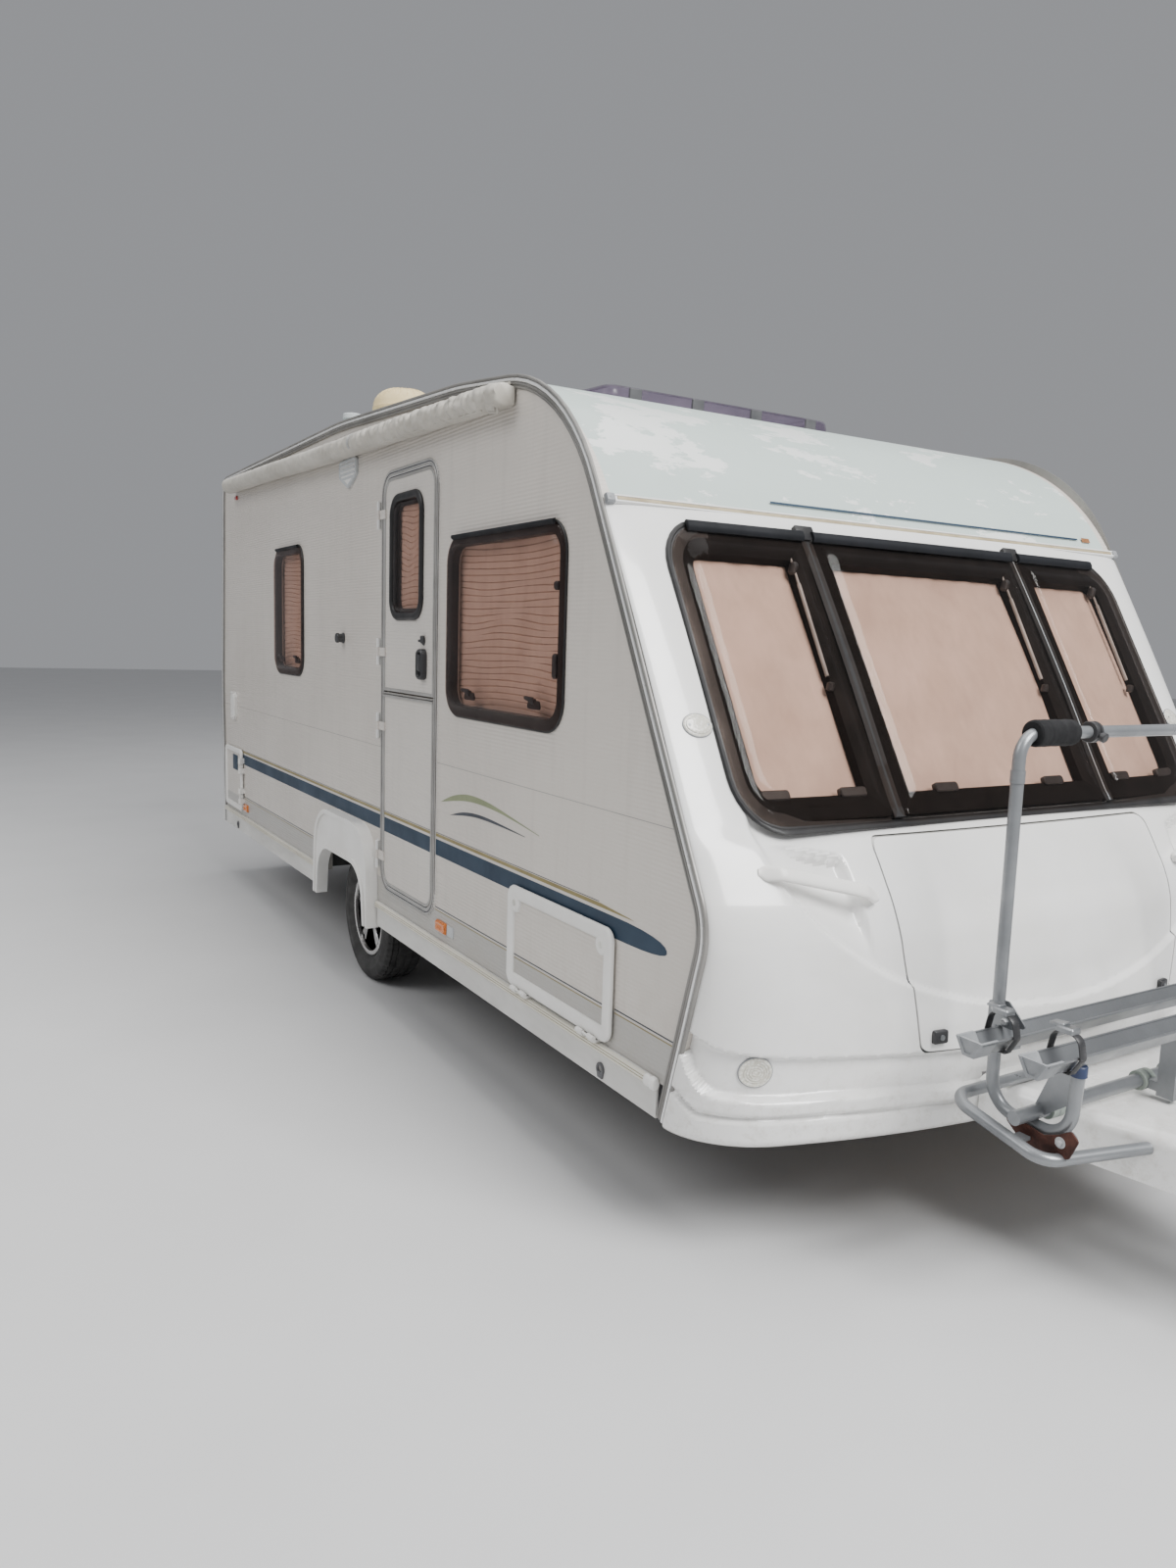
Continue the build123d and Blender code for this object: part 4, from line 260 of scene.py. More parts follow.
finishes = {
    # Walls and doors are the same white paint as the front. Their darker, warmer tones here are painted shade, since
    # the sides get less light than the front.
    "wall": (shaded_wall_sheet("shaded_wall_sheet", (0.645, 0.60, 0.545), (0.585, 0.54, 0.49),
                        (0.42, 0.405, 0.38)), "sandwich_wall"),
    "door": (shaded_wall_sheet("shaded_door_sheet", (0.66, 0.62, 0.57), (0.61, 0.57, 0.525)), "door_skin"),
    "front": (gelcoat("front_gelcoat"), "front_moulding"),
    "roof": (peeling_roof("worn_roof_lacquer"), "sandwich_wall"),
    "white": (surface("white_moulded_plastic", (0.84, 0.83, 0.80), (0.77, 0.755, 0.72), (0.28, 0.45), 5.0,
                      grain=180.0, coat=0.2), "white_moulding"),
    "frame": (surface("white_powder_coat", (0.80, 0.80, 0.79), (0.72, 0.72, 0.70), (0.3, 0.45), 4.0,
                      stretch=(1, 1, 0.4), grain=500.0, depth=0.0001), "white_frame"),
    "trim": (surface("grey_ribbed_trim", (0.27, 0.26, 0.245), (0.18, 0.175, 0.165), (0.3, 0.5), 3.0, grain=220.0,
                     metal=0.35), "edge_metal"),
    "alloy": (surface("bright_alloy", (0.31, 0.32, 0.33), (0.22, 0.23, 0.24), (0.28, 0.5), 6.0, grain=350.0,
                      depth=0.00012, metal=0.9), "carrier_alu"),
    "skirt": (surface("skirt_paint", (0.70, 0.69, 0.66), (0.58, 0.57, 0.54), (0.35, 0.55), 4.0,
                      stretch=(0.7, 0.7, 2.0), grain=200.0), "skirt_metal"),
    "rubber": (surface("black_rubber", (0.024, 0.023, 0.023), (0.011, 0.011, 0.012), (0.38, 0.58), 9.0, grain=260.0,
                       coat=0.08, shine=0.3), "dark_rubber"),
    "black": (surface("black_plastic", (0.04, 0.04, 0.042), (0.02, 0.02, 0.022), (0.3, 0.5), 12.0,
                      grain=420.0), "handle_plastic"),
    "foam": (surface("black_foam", (0.018, 0.018, 0.019), (0.007, 0.007, 0.008), (0.85, 0.95), 20.0, grain=600.0,
                     depth=0.0008, sheen=0.04, shine=0.2), "handle_plastic"),
    "grey": (surface("grey_plastic", (0.30, 0.31, 0.32), (0.20, 0.21, 0.22), (0.35, 0.55), 8.0), "clamp_plastic"),
    "light_grey": (surface("light_grey_plastic", (0.52, 0.54, 0.55), (0.42, 0.44, 0.45), (0.4, 0.6),
                           8.0), "grey_moulding"),
    "tube": (surface("powder_coated_tube", (0.27, 0.28, 0.29), (0.19, 0.20, 0.21), (0.25, 0.45), 5.0, grain=260.0,
                     depth=0.00015, metal=0.45, coat=0.2), "carrier_tube"),
    "steel": (galvanised("galvanised_steel", (0.62, 0.63, 0.64), (0.46, 0.47, 0.48)), "galvanised_steel"),
    "chassis": (galvanised("stained_chassis_steel", (0.38, 0.38, 0.38), (0.26, 0.26, 0.26)), "chassis_steel"),
    "rust": (surface("rusted_plate", (0.085, 0.028, 0.018), (0.030, 0.013, 0.010), (0.7, 0.9), 30.0, grain=250.0,
                     depth=0.0008, metal=0.2), "chassis_steel"),
    "black_steel": (surface("black_steel", (0.05, 0.05, 0.052), (0.025, 0.025, 0.027), (0.35, 0.6), 10.0,
                            metal=0.3), "black_steel"),
    "rim": (surface("silver_rim_lacquer", (0.62, 0.63, 0.64), (0.36, 0.34, 0.32), (0.28, 0.5), 11.0, metal=0.65,
                    coat=0.3), "rim_silver"),
    "tyre": (surface("tyre_rubber", (0.055, 0.054, 0.052), (0.028, 0.027, 0.027), (0.7, 0.9), 14.0, grain=350.0,
                     depth=0.0005), "tyre_rubber"),
    "ply": (wood_board("plywood", (0.62, 0.46, 0.29), (0.45, 0.31, 0.18)), "locker_ply"),
    "floor": (wood_board("coated_floor_ply", (0.16, 0.145, 0.13), (0.10, 0.09, 0.085)), "floor_ply"),
    "box": (surface("black_wheel_box", (0.05, 0.05, 0.05), (0.025, 0.025, 0.025), (0.6, 0.8), 6.0, grain=200.0,
                    depth=0.0006), "box_plastic"),
    "blind": (woven("pleated_blind_cloth", (0.84, 0.73, 0.63), (0.75, 0.64, 0.54), 0.0012, 0.85), "blind_cloth"),
    "acrylic": (tinted_acrylic("smoke_acrylic", (0.90, 0.85, 0.82)), "tinted_acrylic"),
    "side_acrylic": (tinted_acrylic("brown_smoke_acrylic", (0.86, 0.78, 0.755)), "tinted_acrylic"),
    "dome": (tinted_acrylic("milky_roof_acrylic", (0.84, 0.80, 0.86), 0.15), "clear_dome"),
    "vent": (surface("yellowed_plastic", (0.76, 0.62, 0.34), (0.64, 0.50, 0.26), (0.4, 0.55), 8.0,
                     grain=200.0), "vent_plastic"),
    "bag": (surface("coated_awning_cloth", (0.53, 0.50, 0.44), (0.38, 0.355, 0.305), (0.4, 0.6), 7.0,
                    stretch=(1, 0.5, 1), grain=420.0, depth=0.0003, coat=0.1, sheen=0.15), "bag_cloth"),
    "navy": (surface("navy_film", (0.006, 0.031, 0.064), (0.007, 0.024, 0.050), (0.45, 0.6), 5.0, grain=200.0,
                     depth=0.0001), "sandwich_wall"),
    "gold": (surface("gold_film", (0.27, 0.215, 0.07), (0.21, 0.165, 0.055), (0.3, 0.45), 8.0, grain=200.0,
                     depth=0.0001), "sandwich_wall"),
    "olive": (surface("olive_film", (0.25, 0.28, 0.15), (0.20, 0.23, 0.12), (0.3, 0.45), 8.0, grain=200.0,
                      depth=0.0001), "sandwich_wall"),
    "ink": (surface("dark_line_film", (0.022, 0.030, 0.045), (0.014, 0.020, 0.032), (0.3, 0.45), 8.0, grain=200.0,
                    depth=0.0001), "sandwich_wall"),
    "border": (surface("black_pane_border", (0.010, 0.009, 0.009), (0.006, 0.006, 0.006), (0.5, 0.7), 9.0,
                       depth=0.0001, shine=0.06), "dark_rubber"),
    "bead": (surface("grey_frame_bead", (0.42, 0.41, 0.39), (0.31, 0.30, 0.285), (0.3, 0.45), 7.0, depth=0.0001,
                     metal=0.35), "white_frame"),
    "seam": (surface("joint_sealant", (0.34, 0.33, 0.31), (0.26, 0.25, 0.24), (0.5, 0.7), 9.0, grain=250.0,
                     depth=0.0001), "sandwich_wall"),
    "beige": (surface("beige_insert_strip", (0.45, 0.38, 0.25), (0.33, 0.27, 0.17), (0.45, 0.65), 14.0, grain=250.0,
                      depth=0.0003), "white_frame"),
    "cream": (surface("cream_rail_lacquer", (0.76, 0.73, 0.64), (0.66, 0.63, 0.54), (0.3, 0.5), 5.0,
                      stretch=(1, 0.6, 1), depth=0.0001, coat=0.2), "skirt_metal"),
    "bright": (surface("bright_bead", (0.86, 0.86, 0.85), (0.74, 0.74, 0.73), (0.2, 0.35), 6.0, depth=0.0001,
                       metal=0.2, coat=0.3), "edge_metal"),
    "dark_grey": (surface("dark_grey_plastic", (0.10, 0.10, 0.105), (0.055, 0.055, 0.06), (0.4, 0.6), 10.0,
                          grain=320.0), "dark_rubber"),
    "hinge_rail": (surface("blue_black_rail", (0.012, 0.013, 0.016), (0.007, 0.008, 0.010), (0.5, 0.68), 7.0,
                           grain=320.0, depth=0.0001, shine=0.2), "dark_rubber"),
    "stay": (surface("grey_stay_rod", (0.40, 0.40, 0.40), (0.26, 0.26, 0.26), (0.35, 0.55), 9.0, grain=320.0,
                     depth=0.0001), "clamp_plastic"),
    "lock": (surface("pale_lock_plastic", (0.72, 0.71, 0.66), (0.58, 0.57, 0.52), (0.35, 0.5),
                     9.0), "white_moulding"),
    "plain_blind": (woven("plain_blind_cloth", (0.72, 0.575, 0.505), (0.62, 0.485, 0.415), 0.0016,
                          0.85), "blind_cloth"),
    "bag_dark": (woven("grey_webbing", (0.42, 0.42, 0.41), (0.30, 0.30, 0.29), 0.0022, 0.8), "bag_cloth"),
    "navy_cap": (surface("navy_plastic_cap", (0.030, 0.050, 0.12), (0.018, 0.030, 0.08), (0.35, 0.5), 12.0,
                         grain=380.0), "clamp_plastic"),
    "green_grey": (surface("green_grey_nylon", (0.33, 0.37, 0.33), (0.24, 0.28, 0.25), (0.4, 0.6),
                           10.0), "clamp_plastic"),
    "bright_rim": (surface("bright_rim_lip", (0.70, 0.70, 0.70), (0.50, 0.48, 0.46), (0.2, 0.35), 9.0, depth=0.0001,
                           metal=0.8, coat=0.2), "rim_silver"),
    "brown_lens": (lens_plastic("brown_lens", (0.42, 0.20, 0.08), (0.26, 0.11, 0.04)), "lamp_lens"),
    "amber": (lens_plastic("amber_lens", (0.85, 0.26, 0.02), (0.60, 0.15, 0.01)), "lamp_lens"),
    "red": (lens_plastic("red_lens", (0.60, 0.02, 0.015), (0.36, 0.01, 0.01)), "rear_lamp_lens"),
    "clear": (lens_plastic("clear_lens", (0.84, 0.83, 0.78), (0.62, 0.60, 0.52), 140.0), "lamp_lens"),
}

node_finish = {
    "steel": "axle_tube front_door_side_steady front_far_side_steady jockey_clamp jockey_fork jockey_leg "
             "rear_door_side_steady rear_far_side_steady steady_brackets",
    "tube": "carrier_base carrier_frame",
    "foam": "carrier_clamps",
    "alloy": "carrier_rails",
    "chassis": "chassis_rail_door_side chassis_rail_far_side cross_members",
    "black_steel": "coupling_head handbrake_lever swing_arms",
    "frame": "door_frame roof_front_trim",
    "black": "door_handle",
    "rim": "door_side_rim far_side_rim",
    "tyre": "door_side_tyre far_side_tyre jockey_wheel",
    "wall": "door_side_wall far_side_wall rear_panel",
    "side_acrylic": "door_window_pane",
    "rubber": "door_window_seal window_seals",
    "front": "drawbar_cover front_panel gas_locker_lid",
    "trim": "edge_trims",
    "floor": "floor_panel",
    "ply": "gas_locker_box",
    "white": "grab_handles hatch_linings rear_bumper rooflight_frame service_hatch_door side_locker_door "
             "wall_fittings wheel_arch_spats",
    "door": "lower_door upper_door",
    "clear": "marker_lamps",
    "red": "rear_lamps",
    "roof": "roof_panel",
    "vent": "roof_vents",
    "dome": "rooflight_lid",
    "skirt": "side_skirts",
    "box": "wheel_boxes",
    "blind": "window_blinds",
    "acrylic": "window_panes",
    "bag": "awning_bag",
}
for finish, node_names in node_finish.items():
    for node_name in node_names.split():
        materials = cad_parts[node_name].data.materials
        materials.clear()
        materials.append(finishes[finish][0])


# Mesh making

def turns_of(sides):
    """Even turns of a full circle, in radians."""
    return [2 * math.pi * k / sides for k in range(sides)]


def mirrored(half):
    """Points (across, height) of one half, followed by those of the other half."""
    return half + [(-a, b) for a, b in reversed(half)]


def strip_section(half, low, high):
    """Flat section (across, height) about the middle."""
    return [(-half, low), (half, low), (half, high), (-half, high)]


def rib_of(half, low, high):
    """Pointed section (across, height) about the middle."""
    return [(-half, low), (0, high), (half, low)]


def signed_power(x, power):
    """Power of a number's size, with the number's own sign."""
    return math.copysign(abs(x) ** power, x)


class Shape:
    """Faces gathered into one mesh, in metres, in the frame of the whole object."""

    def __init__(self):
        self.points = []
        self.faces = []

    def skin(self, rings, closed=False, caps=True):
        """Skin over rings of equally many points."""
        start, count = len(self.points), len(rings[0])
        for ring in rings:
            self.points.extend(tuple(point) for point in ring)
        for i in range(len(rings) if closed else len(rings) - 1):
            near = start + i * count
            far = start + (i + 1) % len(rings) * count
            for j in range(count):
                k = (j + 1) % count
                self.faces.append((near + j, near + k, far + k, far + j))
        if caps and not closed:
            last = start + (len(rings) - 1) * count
            self.faces.append(tuple(start + j for j in reversed(range(count))))
            self.faces.append(tuple(last + j for j in range(count)))

    def slab(self, outline, levels, place):
        """Solid over an outline that takes an inset, from levels of (inset, height)."""
        self.skin([[place(a, b, height) for a, b in outline(inset)] for inset, height in levels])

    def band(self, outline, section, place):
        """Frame along an outline, from a closed section of (inset, height)."""
        self.skin([[place(a, b, height) for a, b in outline(inset)] for inset, height in section], closed=True)

    def tube(self, path, radius, sides):
        """Round tube along a path of points."""
        path = [Vector(point) for point in path]
        rings = []
        across = None
        for i, point in enumerate(path):
            along = (path[min(i + 1, len(path) - 1)] - path[max(i - 1, 0)]).normalized()
            if across is None:
                across = along.orthogonal().normalized()
            across = (across - along * across.dot(along)).normalized()
            other = along.cross(across)
            rings.append([point + radius * (math.cos(t) * across + math.sin(t) * other) for t in turns_of(sides)])
        self.skin(rings)

    def turned(self, profile, centre, axis, sides):
        """Solid of revolution from (along, radius) pairs about an axis through the centre."""
        axis = Vector(axis).normalized()
        across = axis.orthogonal().normalized()
        other = axis.cross(across)
        self.skin([[Vector(centre) + along * axis + radius * (math.cos(t) * across + math.sin(t) * other)
                    for t in turns_of(sides)] for along, radius in profile])

    def block(self, low, high, edge):
        """Box between two corners with its edges eased."""
        low, high = Vector(low), Vector(high)
        edge = min(edge, 0.45 * min(high - low))

        def ring(inset, z):
            x0, y0, x1, y1 = low.x + inset, low.y + inset, high.x - inset, high.y - inset
            cut = edge * 0.6
            return [(x0 + cut, y0, z), (x1 - cut, y0, z), (x1, y0 + cut, z), (x1, y1 - cut, z),
                    (x1 - cut, y1, z), (x0 + cut, y1, z), (x0, y1 - cut, z), (x0, y0 + cut, z)]

        self.skin([ring(edge, low.z), ring(0, low.z + edge), ring(0, high.z - edge), ring(edge, high.z)])

    def finish(self, name, finish, body=BODY, smooth=35, replaces=()):
        """Make the mesh, give it its finish and let it ride on a body."""
        mesh = bpy.data.meshes.new(name)
        mesh.from_pydata(self.points, [], self.faces)
        mesh.validate()
        form = bmesh.new()
        form.from_mesh(mesh)
        bmesh.ops.recalc_face_normals(form, faces=form.faces)
        form.to_mesh(mesh)
        form.free()
        piece = add_piece(name, mesh, finish, body, replaces)
        if smooth:
            mesh.shade_smooth()
            mesh.set_sharp_from_angle(angle=math.radians(smooth))
        return piece


def shapes(count):
    """New empty shapes."""
    return [Shape() for _ in range(count)]


def add_piece(name, mesh, finish, body, replaces=()):
    """Object for a finished mesh, with its material, its body and the nodes it stands for."""
    material, slot_name = finishes[finish]
    mesh.materials.clear()
    mesh.materials.append(material)
    piece = bpy.data.objects.new(name, mesh)
    scene.collection.objects.link(piece)
    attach(piece, body)
    if replaces:
        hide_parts(*replaces)
    return piece


def rounded_box(low_a, high_a, low_b, high_b, radius, steps=8):
    """Rounded rectangle as an outline that takes an inset."""
    def outline(inset=0.0):
        bend = max(radius - inset, 0.0005)
        a0, a1, b0, b1 = low_a + inset, high_a - inset, low_b + inset, high_b - inset
        points = []
        for centre_a, centre_b, start in ((a1 - bend, b1 - bend, 0), (a0 + bend, b1 - bend, 90),
                                          (a0 + bend, b0 + bend, 180), (a1 - bend, b0 + bend, 270)):
            for k in range(steps + 1):
                turn = math.radians(start + 90 * k / steps)
                points.append((centre_a + bend * math.cos(turn), centre_b + bend * math.sin(turn)))
        return points
    return outline


def centred_box(a, b, half_a, half_b, radius, steps=8):
    """Rounded rectangle about a centre as an outline that takes an inset."""
    return rounded_box(a - half_a, a + half_a, b - half_b, b + half_b, radius, steps)


def on_side(side, offset=0.0):
    """Placing on a side wall: along Y, up Z, and out from the wall."""
    return lambda a, b, height: (side * (wall_x + offset + height), a, b)


def bent(corners, radius, steps=6):
    """Path through corner points with each inner corner rounded."""
    corners = [Vector(corner) for corner in corners]
    path = [corners[0]]
    for before, corner, after in zip(corners, corners[1:], corners[2:]):
        back, ahead = (before - corner).normalized(), (after - corner).normalized()
        half = back.angle(ahead) / 2
        reach = min(radius / math.tan(half), 0.49 * (before - corner).length, 0.49 * (after - corner).length)
        bend = reach * math.tan(half)
        centre = corner + (back + ahead).normalized() * bend / math.sin(half)
        first, last = corner + back * reach - centre, corner + ahead * reach - centre
        sweep = first.angle(last)
        for k in range(steps + 1):
            t = k / steps
            path.append(centre + (first * math.sin((1 - t) * sweep) + last * math.sin(t * sweep)) / math.sin(sweep))
    return path + [corners[-1]]


def monotone(knots, values):
    """Smooth function through rising knots that doesn't overshoot its values."""
    knots, values = np.array(knots, float), np.array(values, float)
    gap = np.diff(knots)
    slope = np.diff(values) / gap
    tangent = np.zeros(len(knots))
    tangent[0], tangent[-1] = slope[0], slope[-1]
    for i in range(1, len(knots) - 1):
        if slope[i - 1] * slope[i] > 0:
            w1, w2 = 2 * gap[i] + gap[i - 1], gap[i] + 2 * gap[i - 1]
            tangent[i] = (w1 + w2) / (w1 / slope[i - 1] + w2 / slope[i])

    def value(x):
        x = np.clip(x, knots[0], knots[-1])
        i = np.clip(np.searchsorted(knots, x, side="right") - 1, 0, len(gap) - 1)
        t = (x - knots[i]) / gap[i]
        return ((1 + 2 * t) * (1 - t) ** 2 * values[i] + t * (1 - t) ** 2 * gap[i] * tangent[i]
                + t * t * (3 - 2 * t) * values[i + 1] + t * t * (t - 1) * gap[i] * tangent[i + 1])

    return value


def step_up(x):
    """Soft step from 0 to 1."""
    x = np.clip(x, 0, 1)
    return x * x * (3 - 2 * x)


def profile_line(steps=10):
    """Side profile as points (y, z) with its corners rounded, from the front's foot to the rear's."""
    path = [Vector((*profile_corners[0], 0))]
    corners = [Vector((y, z, 0)) for y, z in profile_corners]
    for before, corner, after, radius in zip(corners, corners[1:], corners[2:], profile_radii):
        path += bent([before, corner, after], radius, steps)[1:-1]
    return [(p.x, p.y) for p in path + [corners[-1]]]


# The moulded front as a surface: plan curves that change with height, and relief on them

# Sections from the top down: height, corner width, bow of the middle ahead of the side edge
front_sections = [
    (1.905, 0.110, 0.031),
    (1.480, 0.120, 0.054),
    (1.110, 0.150, 0.068),
    (1.050, 0.200, 0.112),
    (0.910, 0.240, 0.132),
    (0.690, 0.235, 0.225),
    (0.498, 0.210, 0.295),
    (0.330, 0.190, 0.350),
]
corner_power = 2.1
flat_share, corner_share = 0.78, 0.22
profile = profile_line()
nose_profile = [p for p in profile if p[0] < -1.0]
side_edge = monotone([z for y, z in nose_profile], [y for y, z in nose_profile])
rising = front_sections[::-1]
corner_width_at = monotone([s[0] for s in rising], [s[1] for s in rising])
bow_at = monotone([s[0] for s in rising], [s[2] for s in rising])

# Relief lines on the front, as (distance from the middle, height)
ridge_centre_z = 1.11
ridge_half_width = 0.935
ridge_half_height = 0.50
ridge_step = 0.017
ridge_softness = 0.011
ledge_top = monotone([0.0, 0.30, 0.537, 0.653, 0.804, 0.944, 1.050, 1.089, 1.1],
                     [0.514, 0.519, 0.534, 0.542, 0.552, 0.564, 0.579, 0.600, 0.612])
ledge_bottom = monotone([0.0, 0.305, 0.561, 0.747, 1.023, 1.067, 1.094, 1.1],
                        [0.425, 0.431, 0.447, 0.455, 0.464, 0.475, 0.525, 0.56])
groove_line = monotone([0.37, 0.535, 0.692, 0.884, 1.070, 1.090, 1.1],
                       [0.390, 0.396, 0.399, 0.405, 0.408, 0.428, 0.45])
ledge_in = 0.017
ledge_out = 0.030
groove_depth = 0.011
groove_half = 0.009
recess_depth = 0.026
foot_radius = 0.020

# The closed shell made from it
shell_top = 1.903
shell_thickness = 0.024
shell_columns, shell_rows = 301, 261
cutter_reach = (-1.2, -2.4)


def front_relief(x, z):
    """How far the front stands out from its plain surface, in metres."""
    x = np.abs(x)
    inside = 1 - np.sqrt((x / ridge_half_width) ** 2 + (np.minimum(z - ridge_centre_z, 0) / ridge_half_height) ** 2)
    fade_up = step_up((1.16 - z) / 0.07)
    relief = -ridge_step * step_up(0.5 + inside * 0.55 / ridge_softness) * fade_up
    recess_top = 1.070 + (x - 0.684) * 0.183 - 0.045
    recess_side = 0.690 - (0.99 - z) * 0.136
    deep = step_up(inside / 0.16) * step_up((recess_top - z) / 0.022) * step_up((x - recess_side) / 0.018)
    relief -= recess_depth * deep * (z > 0.7)
    relief -= ledge_in * step_up((ledge_top(x) - z) / 0.011)
    relief += ledge_out * step_up((ledge_bottom(x) - z) / 0.012)
    groove = np.clip(1 - ((z - groove_line(x)) / groove_half) ** 2, 0, 1) * step_up((x - 0.36) / 0.03)
    relief -= groove_depth * groove
    foot = np.clip(front_bottom + foot_radius - z, 0, foot_radius * 0.98)
    return relief - (foot_radius - np.sqrt(foot_radius ** 2 - foot ** 2))


def front_plan(share, z):
    """Points (x, y) of the plain front at a share from -1 to 1 of its corners and middle."""
    width = corner_width_at(z)
    middle = wall_x - width
    corner = np.clip((np.abs(share) - flat_share) / corner_share, 0, 1)
    turn = corner * math.pi / 2
    across = np.sin(turn) ** (2 / corner_power)
    x = np.where(np.abs(share) < flat_share, np.abs(share) / flat_share * middle, middle + across * width)
    edge = side_edge(z)
    bow = bow_at(z)
    turned_in = 0.38 * bow
    centre = edge - bow
    plain = centre + (bow - turned_in) * (x / wall_x) ** 2
    y = plain + turned_in * (1 - np.cos(turn) ** (2 / corner_power))
    return np.sign(share) * x, y


def front_shell():
    """Outer grid, inner grid and smooth outer normals of the front's closed shell."""
    share, z = np.meshgrid(np.linspace(-1, 1, shell_columns), np.linspace(front_bottom, shell_top, shell_rows))
    x, y = front_plan(share, z)
    plain = np.stack([x, y, z], -1)

    def normals(points):
        out = np.cross(np.gradient(points, axis=1), np.gradient(points, axis=0))
        return out / np.linalg.norm(out, axis=-1, keepdims=True)

    out = normals(plain)
    lift = front_relief(x, z)[..., None]
    front = plain + out * lift
    back = plain + out * (np.minimum(lift, 0) - shell_thickness)
    return front, back, normals(front)


def shell_mesh(name, front, back):
    """Closed mesh from a front grid and a back grid."""
    rows, columns = front.shape[:2]
    count = rows * columns
    index = np.arange(count).reshape(rows, columns)
    a, b, c, d = index[:-1, :-1], index[:-1, 1:], index[1:, 1:], index[1:, :-1]
    faces = [np.stack([a, b, c, d], -1).reshape(-1, 4), np.stack([d, c, b, a], -1).reshape(-1, 4) + count]
    edge = np.concatenate([index[0, :], index[1:, -1], index[-1, -2::-1], index[-2:0:-1, 0]])
    following = np.roll(edge, -1)
    faces.append(np.stack([following, edge, edge + count, following + count], -1))
    mesh = bpy.data.meshes.new(name)
    points = np.concatenate([front.reshape(-1, 3), back.reshape(-1, 3)])
    mesh.from_pydata(points.tolist(), [], np.concatenate(faces).tolist())
    mesh.validate()
    return mesh


def cut_mesh(mesh, cutters):
    """Mesh cut by a list of (operation, Shape) in turn."""
    held = bpy.data.objects.new("held", mesh)
    scene.collection.objects.link(held)
    tools = []
    for operation, shape in cutters:
        tool_mesh = bpy.data.meshes.new("cutter")
        tool_mesh.from_pydata(shape.points, [], shape.faces)
        tool = bpy.data.objects.new("cutter", tool_mesh)
        scene.collection.objects.link(tool)
        tools.append(tool)
        modifier = held.modifiers.new("cut", "BOOLEAN")
        modifier.operation = operation
        modifier.object = tool
        modifier.solver = "MANIFOLD"
    graph = bpy.context.evaluated_depsgraph_get()
    done = bpy.data.meshes.new_from_object(held.evaluated_get(graph))
    for thing in [held, *tools]:
        spare = thing.data
        bpy.data.objects.remove(thing)
        bpy.data.meshes.remove(spare)
    return done


def smooth_front(mesh, front, out):
    """Give the faces that lie on the front grid the grid's own smooth normals."""
    rows = front.shape[0]
    heights = front[:, 0, 2]
    points = np.zeros(len(mesh.vertices) * 3)
    mesh.vertices.foreach_get("co", points)
    points = points.reshape(-1, 3)
    level = np.clip(np.searchsorted(heights, points[:, 2]) - 1, 0, rows - 2)
    own = np.zeros_like(points)
    for row in np.unique(level):
        chosen = np.nonzero(level == row)[0]
        t = np.clip((points[chosen, 2] - heights[row]) / (heights[row + 1] - heights[row]), 0, 1)[:, None]
        for axis in range(3):
            low = np.interp(points[chosen, 0], front[row, :, 0], out[row, :, axis])
            high = np.interp(points[chosen, 0], front[row + 1, :, 0], out[row + 1, :, axis])
            own[chosen, axis] = low * (1 - t[:, 0]) + high * t[:, 0]
    own /= np.maximum(np.linalg.norm(own, axis=1, keepdims=True), 1e-9)
    mesh.shade_smooth()
    loops = np.zeros(len(mesh.loops), int)
    mesh.loops.foreach_get("vertex_index", loops)
    faces = np.zeros(len(mesh.polygons) * 3)
    mesh.polygons.foreach_get("normal", faces)
    totals = np.zeros(len(mesh.polygons), int)
    mesh.polygons.foreach_get("loop_total", totals)
    face_of_loop = np.repeat(np.arange(len(totals)), totals)
    flat = faces.reshape(-1, 3)[face_of_loop]
    wanted = own[loops]
    near = (flat * wanted).sum(1) > 0.75
    mesh.normals_split_custom_set(np.where(near[:, None], wanted, flat).tolist())


def front_prism(outline):
    """Cutter through the front over an outline (x, z)."""
    shape = Shape()
    shape.skin([[(x, y, z) for x, z in outline] for y in cutter_reach])
    return shape


window_half_width = 0.950
window_bottom = 1.092
window_top = 1.852
window_corner = 0.120
divider_x = 0.454
lid_gap = 0.005
lid_corners = [(-0.535, 0.531), (0.0, 0.511), (0.535, 0.531), (0.584, 0.800), (0.588, 1.062), (-0.588, 1.062),
               (-0.584, 0.800)]
lid_radii = [0.032, 4.0, 0.032, 1.2, 0.032, 0.032, 1.2]


def closed_bent(corners, radii, steps=6):
    """Closed outline (a, b) with every corner rounded by its own radius."""
    points = []
    count = len(corners)
    for i in range(count):
        trio = [Vector((*corners[(i + k) % count], 0)) for k in (-1, 0, 1)]
        points += [(p.x, p.y) for p in bent(trio, radii[i], steps)[1:-1]]
    return points


window_outline = rounded_box(-window_half_width, window_half_width, window_bottom, window_top, window_corner)
lid_outline = closed_bent(lid_corners, lid_radii)
lid_inner = closed_bent([(x * (1 - lid_gap / 0.56), z + (lid_gap if z < 0.7 else -lid_gap if z > 0.9 else 0))
                         for x, z in lid_corners], lid_radii)
drawbar_half = 0.345
drawbar_top = 0.425


def make_front():
    """The front moulding and the gas locker lid, cut from one surface."""
    front, back, out = front_shell()
    mesh = shell_mesh("front_shell", front, back)
    holes = (window_outline(0.022), lid_outline, rounded_box(-drawbar_half, drawbar_half, 0.2, drawbar_top, 0.05)())
    moulding = cut_mesh(mesh.copy(), [("DIFFERENCE", front_prism(hole)) for hole in holes])
    smooth_front(moulding, front, out)
    add_piece("front_moulding", moulding, "front", BODY, ["front_panel"])
    lid = cut_mesh(mesh, [("INTERSECT", front_prism(lid_inner))])
    smooth_front(lid, front, out)
    add_piece("gas_locker_lid_moulding", lid, "front", "gas_locker_lid", ["gas_locker_lid"])


